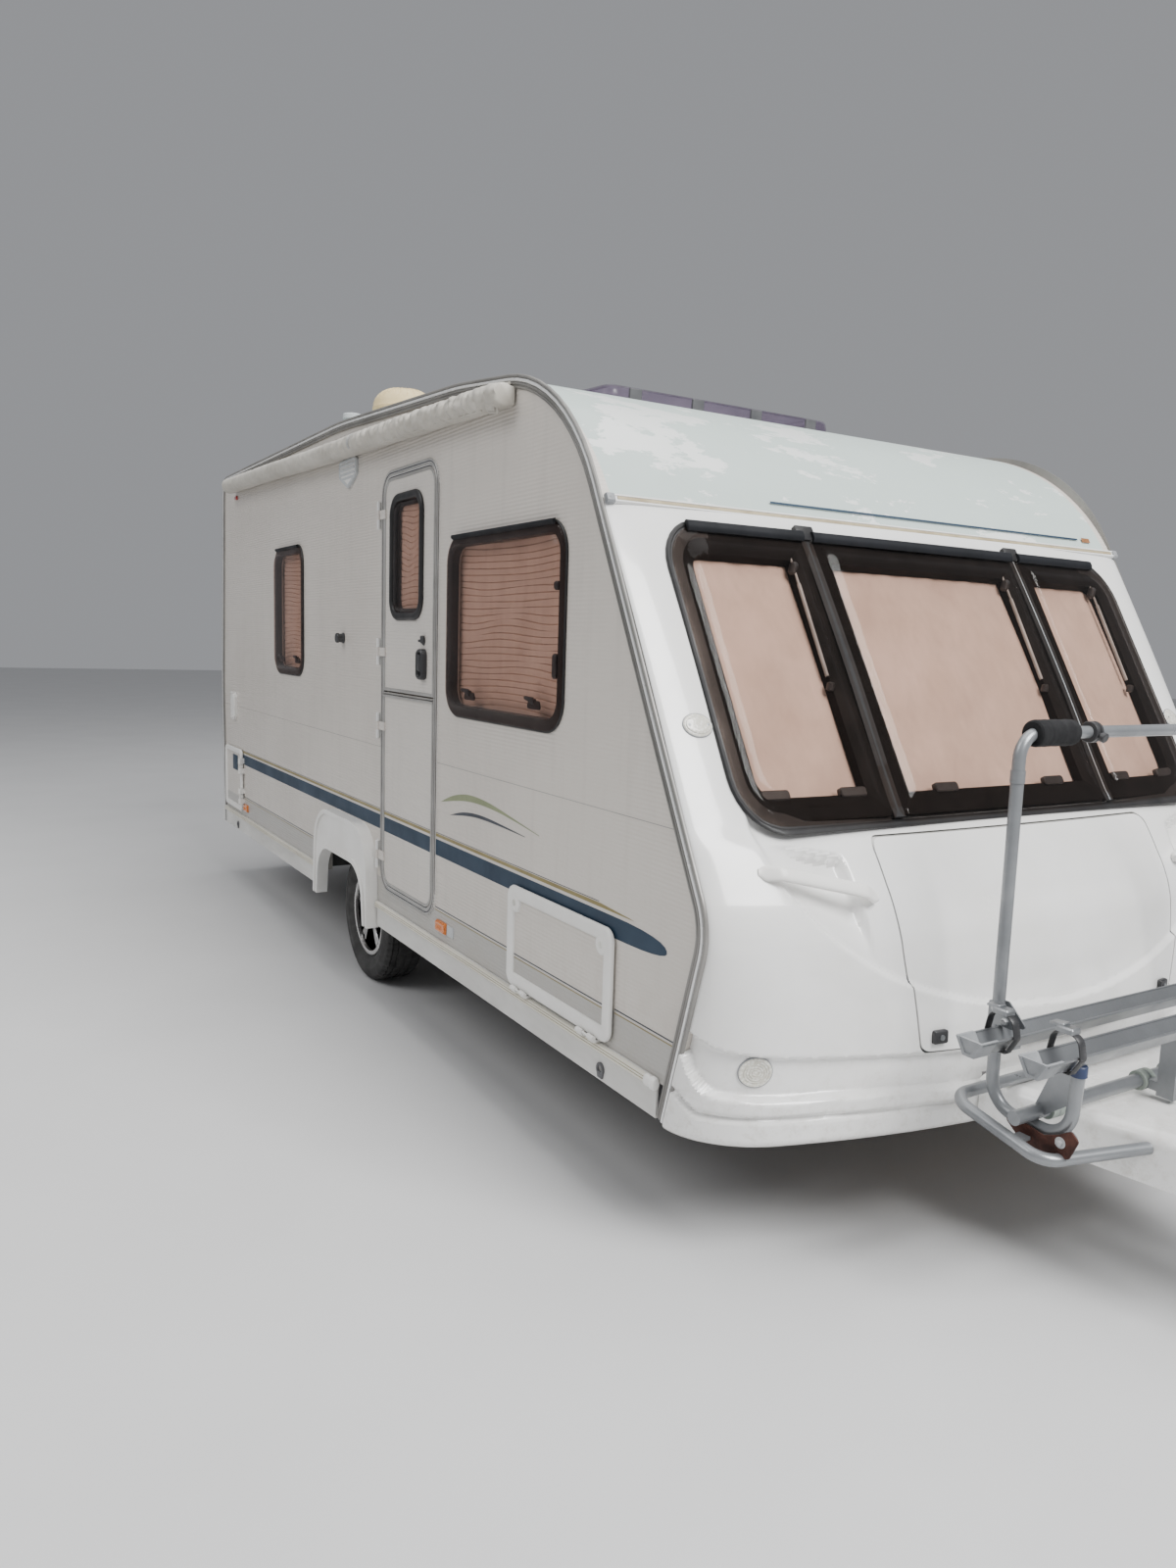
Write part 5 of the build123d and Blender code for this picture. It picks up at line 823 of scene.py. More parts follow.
def make_lid_gap_shade():
    """Dark-grey strip at the bottom of the gap round the gas locker lid, put there as painted shade to darken the
    gap.
    """
    seal = Shape()
    rings = []
    for share, height in ((0.10, -0.022), (0.10, -0.007), (0.50, -0.0055), (0.90, -0.007), (0.90, -0.022)):
        rings.append([on_relief(a[0] + (b[0] - a[0]) * share, a[1] + (b[1] - a[1]) * share, height)
                      for a, b in zip(lid_outline, lid_inner)])
    seal.skin(rings, closed=True)
    seal.finish("gas_locker_gap_shade", "dark_grey")


make_front()


# Places on the front moulding, found from its own surface

front_rows = np.linspace(front_bottom, front_sections[0][0], 316)
front_x, front_y = front_plan(*np.meshgrid(np.linspace(-1, 1, 401), front_rows))


def front_depth(x, z):
    """Y of the plain front at a place seen from the front."""
    place = min(max((z - front_rows[0]) / (front_rows[1] - front_rows[0]), 0), len(front_rows) - 1.001)
    low = int(place)
    share = place - low
    return ((1 - share) * np.interp(x, front_x[low], front_y[low])
            + share * np.interp(x, front_x[low + 1], front_y[low + 1]))


def on_front(x, z, out):
    """Point at a distance out from the plain front."""
    step = 0.004
    slope_x = (front_depth(x + step, z) - front_depth(x - step, z)) / (2 * step)
    slope_z = (front_depth(x, z + step) - front_depth(x, z - step)) / (2 * step)
    return Vector((x, front_depth(x, z), z)) + out * Vector((slope_x, -1, slope_z)).normalized()


def on_relief(x, z, out):
    """Point at a distance out from the front with its relief."""
    return on_front(x, z, out + float(front_relief(np.array(x), np.array(z))))


def ring_outline(a, b, radius_a, radius_b=None, sides=32):
    """Ellipse as an outline that takes an inset."""
    def outline(inset=0.0):
        first, second = radius_a - inset, (radius_b or radius_a) - inset
        return [(a + first * math.cos(turn), b + second * math.sin(turn)) for turn in turns_of(sides)]
    return outline


def cornered(corners, radii, steps=6):
    """Outline through corner points, each with its own radius, that takes an inset."""
    count = len(corners)
    area = sum(corners[i][0] * corners[(i + 1) % count][1] - corners[(i + 1) % count][0] * corners[i][1]
               for i in range(count))
    turn = 1 if area > 0 else -1

    def outline(inset=0.0):
        moved = []
        for i in range(count):
            before, corner, after = (Vector(corners[(i + k) % count]) for k in (-1, 0, 1))
            first, second = (corner - before).normalized(), (after - corner).normalized()
            normal_a = turn * Vector((-first.y, first.x))
            normal_b = turn * Vector((-second.y, second.x))
            middle = (normal_a + normal_b).normalized()
            moved.append(tuple(corner + middle * inset / max(middle.dot(normal_a), 0.2)))
        return closed_bent(moved, [max(radius - inset, 0.0008) for radius in radii], steps)
    return outline


def leaf_outline(low_y, high_y, low_z, high_z, top_radius, bottom_radius):
    """Outline of a door leaf with its own radius at the top and at the bottom."""
    return cornered([(low_y, low_z), (high_y, low_z), (high_y, high_z), (low_y, high_z)],
                    [bottom_radius, bottom_radius, top_radius, top_radius])


# Windows: rubber surrounds, bulged acrylic panes, catches and pleated blinds

front_side_window = (-1.185, -0.368, 1.272, 1.874, 0.095)
narrow_window = (1.371, 1.867, 1.329, 1.956, 0.090)
kitchen_window = (0.100, 0.860, 1.330, 1.800, 0.080)
door_window = (-0.147, 0.180, 1.595, 2.065, 0.080)
side_windows = [(-1, front_side_window), (-1, narrow_window), (1, front_side_window), (1, kitchen_window),
                (1, narrow_window)]
wall_thick = 0.030
pane_levels = [(0.000, 0.0072), (0.000, 0.0098), (0.002, 0.0115), (0.022, 0.0130), (0.028, 0.0150),
               (0.034, 0.0205), (0.041, 0.0245), (0.053, 0.0265), (0.085, 0.0275), (0.120, 0.0280)]
surround_section = [(-0.005, 0.0002), (-0.006, 0.0040), (-0.003, 0.0068), (0.004, 0.0070), (0.028, 0.0069),
                    (0.034, 0.0050), (0.036, -0.020), (0.030, -0.020), (0.030, 0.0002)]


def make_side_windows():
    """Surrounds, hinge rails and catches of the windows in the two side walls. Their panes are given back."""
    surrounds, panes, rails, catches = shapes(4)
    for side, (low_y, high_y, low_z, high_z, radius) in side_windows:
        place = on_side(side)
        outline = rounded_box(low_y, high_y, low_z, high_z, radius)
        surrounds.band(outline, surround_section, place)
        panes.slab(outline, pane_levels, place)
        rail = [(0.0000, 0.0115), (0.0020, 0.0190), (0.0075, 0.0215), (0.0130, 0.0190), (0.0175, 0.0115)]
        rails.skin([[place(y, high_z + 0.004 - s, h) for s, h in rail]
                    for y in (low_y + 0.055, low_y + 0.057, high_y - 0.057, high_y - 0.055)])
        z = low_z + 0.070
        for share in (0.22, 0.78):
            middle = low_y + share * (high_y - low_y)
            base = cornered([(middle - 0.042, z - 0.012), (middle + 0.042, z - 0.012), (middle + 0.030, z + 0.014),
                             (middle - 0.030, z + 0.014)], [0.008] * 4, 3)
            catches.slab(base, [(0, -0.004), (0, 0.002), (0.002, 0.004)], place)
            catches.turned([(-0.004, 0.010), (0.006, 0.010), (0.010, 0.007)],
                           place(middle, z + 0.010, 0.0), (side, 0, 0), 14)
            lever = cornered([(middle - 0.006, z + 0.006), (middle + 0.045, z + 0.016), (middle + 0.045, z + 0.026),
                              (middle - 0.006, z + 0.024)], [0.004] * 4, 3)
            catches.slab(lever, [(0, 0.004), (0, 0.010), (0.002, 0.012)], place)
        if side < 0 and high_y < 0:
            for z, length in ((1.462, 0.072), (1.690, 0.026)):
                catches.slab(centred_box(low_y + 0.047, z, 0.011, length / 2, 0.009, 3),
                             [(0, -0.006), (0, 0.008), (0.004, 0.012)], place)
    surrounds.finish("side_window_surrounds", "rubber")
    rails.finish("side_window_hinge_rails", "hinge_rail")
    catches.finish("side_window_catches", "black")
    return panes


cloth_thick = 0.0012
pleat_pitch = 0.0225
pleat_section = [(0.0, 0.0), (0.78, 0.0006), (0.88, -0.0052), (0.985, -0.0004)]


def pleated(name, place, low_y, high_y, low_z, high_z, bow, seed, body=BODY):
    """Pleated blind with wavy folds, as a thin closed sheet of cloth hung in front of a wall's inner face."""
    pleats = round((high_z - low_z) / pleat_pitch)
    pitch = (high_z - low_z) / pleats
    share = np.linspace(0, 1, 41)
    rows = []
    chance = random.Random(seed)
    drift = 0.0
    for pleat in range(pleats):
        drift = 0.80 * drift + chance.uniform(-0.0050, 0.0050)
        lean = chance.uniform(-0.004, 0.004)
        for along, depth in pleat_section:
            level = low_z + (pleat + along) * pitch
            inside = math.sin(math.pi * (level - low_z) / (high_z - low_z))
            wave = (bow * np.sin(math.pi * share) * (1 - 2 * (level - low_z) / (high_z - low_z))
                    + (drift * np.sin(2 * math.pi * share * 1.4 + 0.25 * pleat) + lean * (share - 0.5)) * inside)
            y = low_y + share * (high_y - low_y)
            rows.append([place(a, level + w, depth) for a, w in zip(y, wave)])
    front = np.array(rows)
    out = np.array(place(0, 0, 1.0)) - np.array(place(0, 0, 0.0))
    mesh = shell_mesh(name, front, front - out * cloth_thick)
    piece = add_piece(name, mesh, "blind", body)
    mesh.shade_smooth()
    mesh.set_sharp_from_angle(angle=math.radians(50))
    return piece


def make_side_blinds():
    """A pleated blind behind each side window and one in the upper door."""
    pieces = []
    for number, (side, (low_y, high_y, low_z, high_z, _)) in enumerate(side_windows):
        place = on_side(side, -wall_thick - 0.006)
        pieces.append(pleated(f"side_blind_{number + 1}", place, low_y + 0.012, high_y - 0.012, low_z + 0.010,
                              high_z - 0.010, 0.022, 40 + number))
    low_y, high_y, low_z, high_z, _ = door_window
    place = on_side(-1, -0.022)
    pleated("door_blind", place, low_y + 0.030, high_y - 0.030, low_z + 0.030, high_z - 0.030, 0.010, 77,
            "upper_door")
    return pieces


# Front window: three bulged panes on one rubber surround

divider_half = 0.006
front_panes = [(-window_half_width, -divider_x - divider_half, (window_corner, 0.030)),
               (-divider_x + divider_half, divider_x - divider_half, (0.030, 0.030)),
               (divider_x + divider_half, window_half_width, (0.030, window_corner))]
front_pane_levels = [(0.000, 0.0075), (0.000, 0.0120), (0.003, 0.0150), (0.030, 0.0160), (0.044, 0.0165),
                     (0.052, 0.0200), (0.062, 0.0255), (0.076, 0.0275), (0.110, 0.0285)]


def pane_outline(low_x, high_x, corners):
    """Outline of one front pane, with its own corner radius at each side."""
    left, right = corners
    return cornered([(low_x, window_bottom), (high_x, window_bottom), (high_x, window_top), (low_x, window_top)],
                    [left, right, right, left], 8)


def curved_pad(shape, outline, levels, place, steps=(0.8, 0.6, 0.4, 0.2, 0.03)):
    """Closed form on a curved surface: rings by levels, with both faces drawn in to the middle."""
    def rings_in(inset, height):
        ring = outline(inset)
        middle = (sum(a for a, b in ring) / len(ring), sum(b for a, b in ring) / len(ring))
        return [[place(middle[0] + (a - middle[0]) * t, middle[1] + (b - middle[1]) * t, height) for a, b in ring]
                for t in steps]

    rings = rings_in(*levels[0])[::-1]
    rings += [[place(a, b, height) for a, b in outline(inset)] for inset, height in levels]
    rings += rings_in(*levels[-1])
    shape.skin(rings)


def make_front_window():
    """Surround, reveals, hinge rails, stays and catches of the front window. Its panes are given back."""
    surround, panes, rails, stays, knobs, reveal = shapes(6)
    surround.band(window_outline, [(-0.016, 0.0003), (-0.017, 0.0050), (-0.013, 0.0085), (-0.007, 0.0085),
                                   (-0.004, 0.0060), (0.000, 0.0070), (0.032, 0.0070), (0.036, 0.004),
                                   (0.036, -0.018), (0.026, -0.018), (0.022, 0.0003)], on_front)
    for low_x, high_x, corners in front_panes:
        outline = pane_outline(low_x, high_x, corners)
        curved_pad(panes, outline, front_pane_levels, on_front)
        reveal.band(outline, [(0.010, 0.0065), (0.050, 0.0066), (0.070, -0.004), (0.073, -0.030), (0.070, -0.032),
                              (0.040, -0.012), (0.010, 0.0020)], on_front)
        rail = [(0.004, 0.0115), (0.004, 0.0190), (-0.001, 0.0245), (-0.012, 0.0250), (-0.020, 0.0215),
                (-0.024, 0.0150), (-0.024, 0.0115)]
        left, right = low_x + (0.075 if corners[0] > 0.1 else 0.012), high_x - (0.075 if corners[1] > 0.1 else 0.012)
        stations = [left + (right - left) * k / 16 for k in range(17)]
        rails.skin([[on_front(x, window_top + s + 0.004, h) for s, h in rail] for x in stations])
        stay_x = high_x - (0.100 if corners[1] > 0.1 else 0.072)
        top, low = window_top - 0.135, window_top - 0.385
        stays.tube([on_front(stay_x + 0.004, top, -0.006), on_front(stay_x, low, -0.012)], 0.0055, 10)
        stays.tube([on_front(stay_x + 0.005, top + 0.075, -0.004), on_front(stay_x + 0.004, top, -0.006)], 0.0035, 8)
        knobs.turned([(-0.012, 0.006), (-0.010, 0.011), (0.010, 0.011), (0.013, 0.006)],
                     on_front(stay_x - 0.001, low - 0.028, -0.012), (0.2, 0, 1), 12)
        knobs.turned([(-0.020, 0.007), (-0.014, 0.013), (0.012, 0.013), (0.018, 0.006)],
                     on_front(stay_x + 0.004, top + 0.045, -0.006), (0.2, 0, 1), 12)
        for share in (0.24, 0.76):
            middle = low_x + share * (high_x - low_x)
            low, high = window_bottom + 0.064, window_bottom + 0.088
            knobs.slab(rounded_box(middle - 0.045, middle + 0.045, low, high, 0.008, 3),
                       [(0, -0.012), (0, 0.000), (0.003, 0.003)], on_front)
    line = Shape()
    for side in (-1, 1):
        middle = side * divider_x
        surround.slab(rounded_box(middle - 0.034, middle + 0.034, window_top - 0.014, window_top + 0.027, 0.004, 3),
                      [(0, 0.0003), (0, 0.0135), (0.003, 0.0155)], on_front)
        stations = np.linspace(window_bottom + 0.006, window_top - 0.004, 24)
        # The thin light-grey strip, on the right divider only, is a painted highlight standing for the bright edge of
        # that divider.
        strips = [(surround, 0.020, 0.0, 0.0068)] + [(line, 0.0010, 0.006, 0.0086)] * (side > 0)
        for shape, half, low, high in strips:
            shape.skin([[on_front(middle + a, z, h) for a, h in strip_section(half, low, high)] for z in stations])
    line.finish("front_window_divider_highlight", "light_grey")
    surround.finish("front_window_surround", "rubber", replaces=["window_seals"])
    reveal.finish("front_window_reveals", "border")
    rails.finish("front_window_hinge_rails", "hinge_rail")
    stays.finish("front_window_stays", "stay")
    knobs.finish("front_window_catches", "black")
    return panes


def make_front_blinds():
    """Plain roller blind behind each front pane, a little slack across."""
    chance = random.Random(12)
    for number, (low_x, high_x, _) in enumerate(front_panes):
        low_x, high_x = low_x + 0.040, high_x - 0.040
        phase = chance.uniform(0, 6)
        rows = []
        for z in np.linspace(window_bottom + 0.035, window_top - 0.040, 30):
            row = []
            for x in np.linspace(low_x, high_x, 49):
                slack = 0.0016 * math.sin(70 * x + phase + 2 * math.sin(5 * z)) + 0.0010 * math.sin(31 * x - 3 * z)
                row.append(on_front(x, z, -wall_thick - 0.004 + slack))
            rows.append(row)
        front = np.array(rows)
        mesh = shell_mesh(f"front_blind_{number + 1}", front, front + np.array((0, cloth_thick, cloth_thick / 2)))
        piece = add_piece(f"front_blind_{number + 1}", mesh, "plain_blind", BODY)
        mesh.shade_smooth()


make_lid_gap_shade()
side_panes = make_side_windows()
front_glass = make_front_window()
side_panes.finish("side_window_panes", "side_acrylic", replaces=["window_panes"])
front_glass.finish("front_window_panes", "acrylic", smooth=40)
side_blind_pieces = make_side_blinds()
make_front_blinds()
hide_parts("window_blinds")


# Painted lines and bands on the walls, as thin film

film = 0.0005
door_low_y, door_high_y = -0.280, 0.280
side_locker = (-1.505, -0.890, 0.460, 0.780, 0.038)
service_hatch = (2.617, 3.028, 0.471, 0.841, 0.038)
arch_low_y, arch_high_y = 0.315, 1.065
skirt_end_y = 3.060
seam_end_y = 3.090
gold_start_y = -1.60
edge_width = 0.041
leaf_low_y, leaf_high_y = -0.251, 0.251
band_low, band_high = 0.754, 0.812
seam_z = 1.090
band_tail_y = 2.640
band_taper_y, band_tip_y = -1.45, -1.734
band_tip_low, band_tip_high = 0.775, 0.781
gold_line = (0.822, 0.833)
dark_line = (0.8355, 0.8375)
seam_thick = 0.0002
leaf_skin = 0.004
pinstripe_z = 0.557
dark_pinstripe = (pinstripe_z + 0.003, pinstripe_z + 0.007)
gold_pinstripe = (pinstripe_z - 0.007, pinstripe_z - 0.004)
upper_swoosh = ([(-0.318, 0.953), (-0.42, 0.988), (-0.53, 1.008), (-0.64, 1.010), (-0.76, 1.000), (-0.90, 0.980),
                 (-1.06, 0.957)],
                [(-1.06, 0.955), (-0.92, 0.972), (-0.78, 0.985), (-0.65, 0.990), (-0.54, 0.986), (-0.43, 0.972)])
lower_swoosh = ([(-0.40, 0.918), (-0.50, 0.942), (-0.60, 0.953), (-0.70, 0.954), (-0.82, 0.948), (-0.97, 0.938)],
                [(-0.97, 0.9365), (-0.83, 0.941), (-0.70, 0.943), (-0.60, 0.941), (-0.50, 0.931)])


def film_strip(shape, side, low_y, high_y, low_z, high_z, base=0.0, thick=film):
    """Level strip of film on a side, on top of a base height."""
    place = on_side(side, base)
    shape.skin([[place(low_y, low_z, h), place(high_y, low_z, h), place(high_y, high_z, h), place(low_y, high_z, h)]
                for h in (0.0, thick)])


def film_area(shape, side, outline):
    """Film over an outline (y, z) on a side."""
    place = on_side(side)
    shape.skin([[place(y, z, h) for y, z in outline] for h in (0, film)])


def front_edge_y(z):
    """Y of the front end of the wall's flat face at a height."""
    return float(side_edge(z)) + edge_width


def make_stripes():
    """Blue band, gold line, swooshes, pinstripes and sheet seams on both sides, and what crosses the doors."""
    navy, gold, ink, olive, seam = shapes(5)
    leaf_navy, leaf_gold, leaf_ink = shapes(3)
    taper = [(0.0, 1.0), (0.35, 0.985), (0.60, 0.90), (0.78, 0.74), (0.90, 0.54), (0.97, 0.30), (1.0, 0.05)]
    reach = band_tip_y - band_taper_y
    tip = [(band_taper_y + reach * a, band_tip_high + (band_high - band_tip_high) * b) for a, b in taper]
    tip += [(band_taper_y + reach * a, band_tip_low + (band_low - band_tip_low) * b) for a, b in reversed(taper)]
    for side in (-1, 1):
        if side < 0:
            cuts = [[(door_high_y, band_low), (band_tail_y, band_low), (band_tail_y, band_high),
                     (door_high_y, band_high)], [(door_low_y, band_low), (door_low_y, band_high)] + tip]
            spans = [(door_high_y, band_tail_y), (gold_start_y, door_low_y)]
            stripe_spans = [(front_edge_y(pinstripe_z), side_locker[0]), (side_locker[1], door_low_y),
                            (arch_high_y, service_hatch[0]), (service_hatch[1], skirt_end_y)]
            seam_spans = [(front_edge_y(seam_z), door_low_y), (door_high_y, seam_end_y)]
            for shape, heights in ((leaf_navy, (band_low, band_high)), (leaf_gold, gold_line), (leaf_ink, dark_line)):
                film_strip(shape, side, leaf_low_y, leaf_high_y, *heights, leaf_skin)
        else:
            cuts = [[(band_tail_y, band_low), (band_tail_y, band_high)] + tip]
            spans = [(gold_start_y, band_tail_y)]
            stripe_spans = [(front_edge_y(pinstripe_z), arch_low_y), (arch_high_y, skirt_end_y)]
            seam_spans = [(front_edge_y(seam_z), seam_end_y)]
        for cut in cuts:
            film_area(navy, side, cut)
        for low_y, high_y in spans:
            if low_y == gold_start_y:
                film_area(gold, side, [(high_y, gold_line[0]), (high_y, gold_line[1]), (-1.42, gold_line[1]),
                                       (-1.56, 0.8245), (-1.585, gold_line[0])])
                film_strip(ink, side, -1.41, high_y, *dark_line)
            else:
                film_strip(gold, side, low_y, high_y, *gold_line)
                film_strip(ink, side, low_y, high_y, *dark_line)
        film_area(olive, side, smooth_loop(*upper_swoosh))
        film_area(ink, side, smooth_loop(*lower_swoosh))
        for low_y, high_y in stripe_spans:
            film_strip(ink, side, low_y, high_y, *dark_pinstripe)
            film_strip(gold, side, low_y, high_y, *gold_pinstripe)
        for low_y, high_y in seam_spans:
            film_strip(seam, side, low_y, high_y, seam_z - 0.0010, seam_z + 0.0010, thick=seam_thick)
    navy.finish("side_bands", "navy", smooth=0)
    gold.finish("side_gold_lines", "gold", smooth=0)
    ink.finish("side_dark_lines", "ink", smooth=0)
    olive.finish("side_swooshes", "olive", smooth=0)
    seam.finish("side_sheet_seams", "seam", smooth=0)
    leaf_navy.finish("door_band", "navy", "lower_door", smooth=0)
    leaf_gold.finish("door_gold_line", "gold", "lower_door", smooth=0)
    leaf_ink.finish("door_dark_line", "ink", "lower_door", smooth=0)


def smooth_loop(upper, lower, steps=5):
    """Closed outline through two rows of points, smoothed along each row."""
    def smoothed(points):
        points = [Vector(p) for p in points]
        line = []
        for i in range(len(points) - 1):
            p0, p1 = points[max(i - 1, 0)], points[i]
            p2, p3 = points[i + 1], points[min(i + 2, len(points) - 1)]
            for k in range(steps):
                t = k / steps
                line.append(tuple(0.5 * (2 * p1 + (p2 - p0) * t + (2 * p0 - 5 * p1 + 4 * p2 - p3) * t * t
                                         + (3 * p1 - p0 - 3 * p2 + p3) * t ** 3)))
        return line + [tuple(points[-1])]
    return smoothed(upper) + smoothed(lower)


# Roof line and the joint trim between the roof and the front

roof_line_z = 1.955
trim_centre = (-1.374, 1.908)
trim_end_x = 1.090
trim_along = Vector((0, 0.469, 0.883))
trim_out = Vector((0, -0.883, 0.469))


def make_roof_front():
    """Joint trim with its beige insert and end caps, and the thin line above it."""
    base = Vector((0, *trim_centre))
    trim, insert, caps, line, mark = shapes(5)
    section = mirrored([(-0.013, -0.004), (-0.013, 0.0065), (-0.0105, 0.0105), (-0.0065, 0.0105), (-0.0055, 0.0075)])
    insert_section = [(-0.0055, 0.0070), (-0.0050, 0.0092), (0, 0.0102), (0.0050, 0.0092), (0.0055, 0.0070)]
    xs = np.linspace(-trim_end_x, trim_end_x, 90)
    trim.skin([[base + Vector((x, 0, 0)) + s * trim_along + h * trim_out for s, h in section] for x in xs])
    chance = random.Random(5)
    rings = []
    for x in xs[1:-1]:
        lift = chance.uniform(-0.0006, 0.0006)
        rings.append([base + Vector((x, 0, 0)) + s * trim_along + (h + lift) * trim_out for s, h in insert_section])
    insert.skin(rings)
    for side in (-1, 1):
        centre = base + Vector((side * trim_end_x, 0, 0))
        cap_section = mirrored([(-0.0145, -0.004), (-0.0145, 0.008), (-0.010, 0.0130)])
        caps.skin([[centre + Vector((side * x, 0, 0)) + s * k * trim_along + h * k * trim_out for s, h in cap_section]
                   for x, k in ((-0.014, 0.96), (-0.012, 1), (0.006, 1), (0.0095, 0.9))])
        screw = centre + trim_out * 0.0128
        caps.turned([(0.0, 0.0035), (0.0012, 0.0035), (0.0018, 0.002)], screw, trim_out, 10)
    line_thick = 0.0006
    slope = Vector((0, 0.467, 0.884))
    out = Vector((0, -0.884, 0.467))
    for shape, x0, x1, half in ((line, -0.510, 0.930, 0.0035), (mark, 0.955, 1.000, 0.009)):
        origin = Vector((0, float(side_edge(roof_line_z)), roof_line_z))
        stations = np.linspace(x0, x1, 24)
        shape.skin([[origin + Vector((x, 0, 0)) + s * slope + h * out for s, h in strip_section(half, 0, line_thick)]
                    for x in stations])
    trim.finish("roof_front_rail", "frame", replaces=["roof_front_trim"])
    insert.finish("roof_front_rail_insert", "beige")
    caps.finish("roof_front_rail_caps", "grey")
    line.finish("roof_front_line", "navy", smooth=0)
    mark.finish("roof_front_reflector", "brown_lens", smooth=0)


# Edge trims: ribbed strips around the side walls

trim_widen = 1.25
rib_section = [(-0.004, 0.0), (-0.0042, 0.0055), (-0.002, 0.0085), (0.0015, 0.0088), (0.0035, 0.0050),
               (0.0052, 0.0050), (0.0066, 0.0082), (0.0088, 0.0092), (0.0110, 0.0082), (0.0125, 0.0050),
               (0.0142, 0.0050), (0.0158, 0.0082), (0.0192, 0.0082), (0.0208, 0.0050), (0.0224, 0.0050),
               (0.0240, 0.0080), (0.0278, 0.0078), (0.0300, 0.0045), (0.0300, 0.0)]
bead_section = [(0.0050, 0.0048), (0.0058, 0.0086), (0.0088, 0.0100), (0.0118, 0.0086), (0.0126, 0.0048)]


def profile_frames():
    """Points of the side profile with the direction into the wall at each."""
    points = [Vector(p) for p in profile]
    frames = []
    for i, point in enumerate(points):
        along = (points[min(i + 1, len(points) - 1)] - points[max(i - 1, 0)]).normalized()
        frames.append((point, Vector((along.y, -along.x))))
    return frames


def make_edge_trims():
    """Ribbed trim on the edge of both side walls, with its bright bead."""
    trims, bead = shapes(2)
    frames = profile_frames()
    for side in (-1, 1):
        place = on_side(side)
        for shape, section in ((trims, rib_section), (bead, bead_section)):
            shape.skin([[place(*(point + inward * inset * trim_widen), height) for inset, height in section]
                        for point, inward in frames])
    trims.finish("edge_trims_ribbed", "trim", replaces=["edge_trims"], smooth=50)
    bead.finish("edge_trim_beads", "bright", smooth=50)


# Entrance door: beads of the frame, leaf borders, window seal and handle

door_corner = 0.095


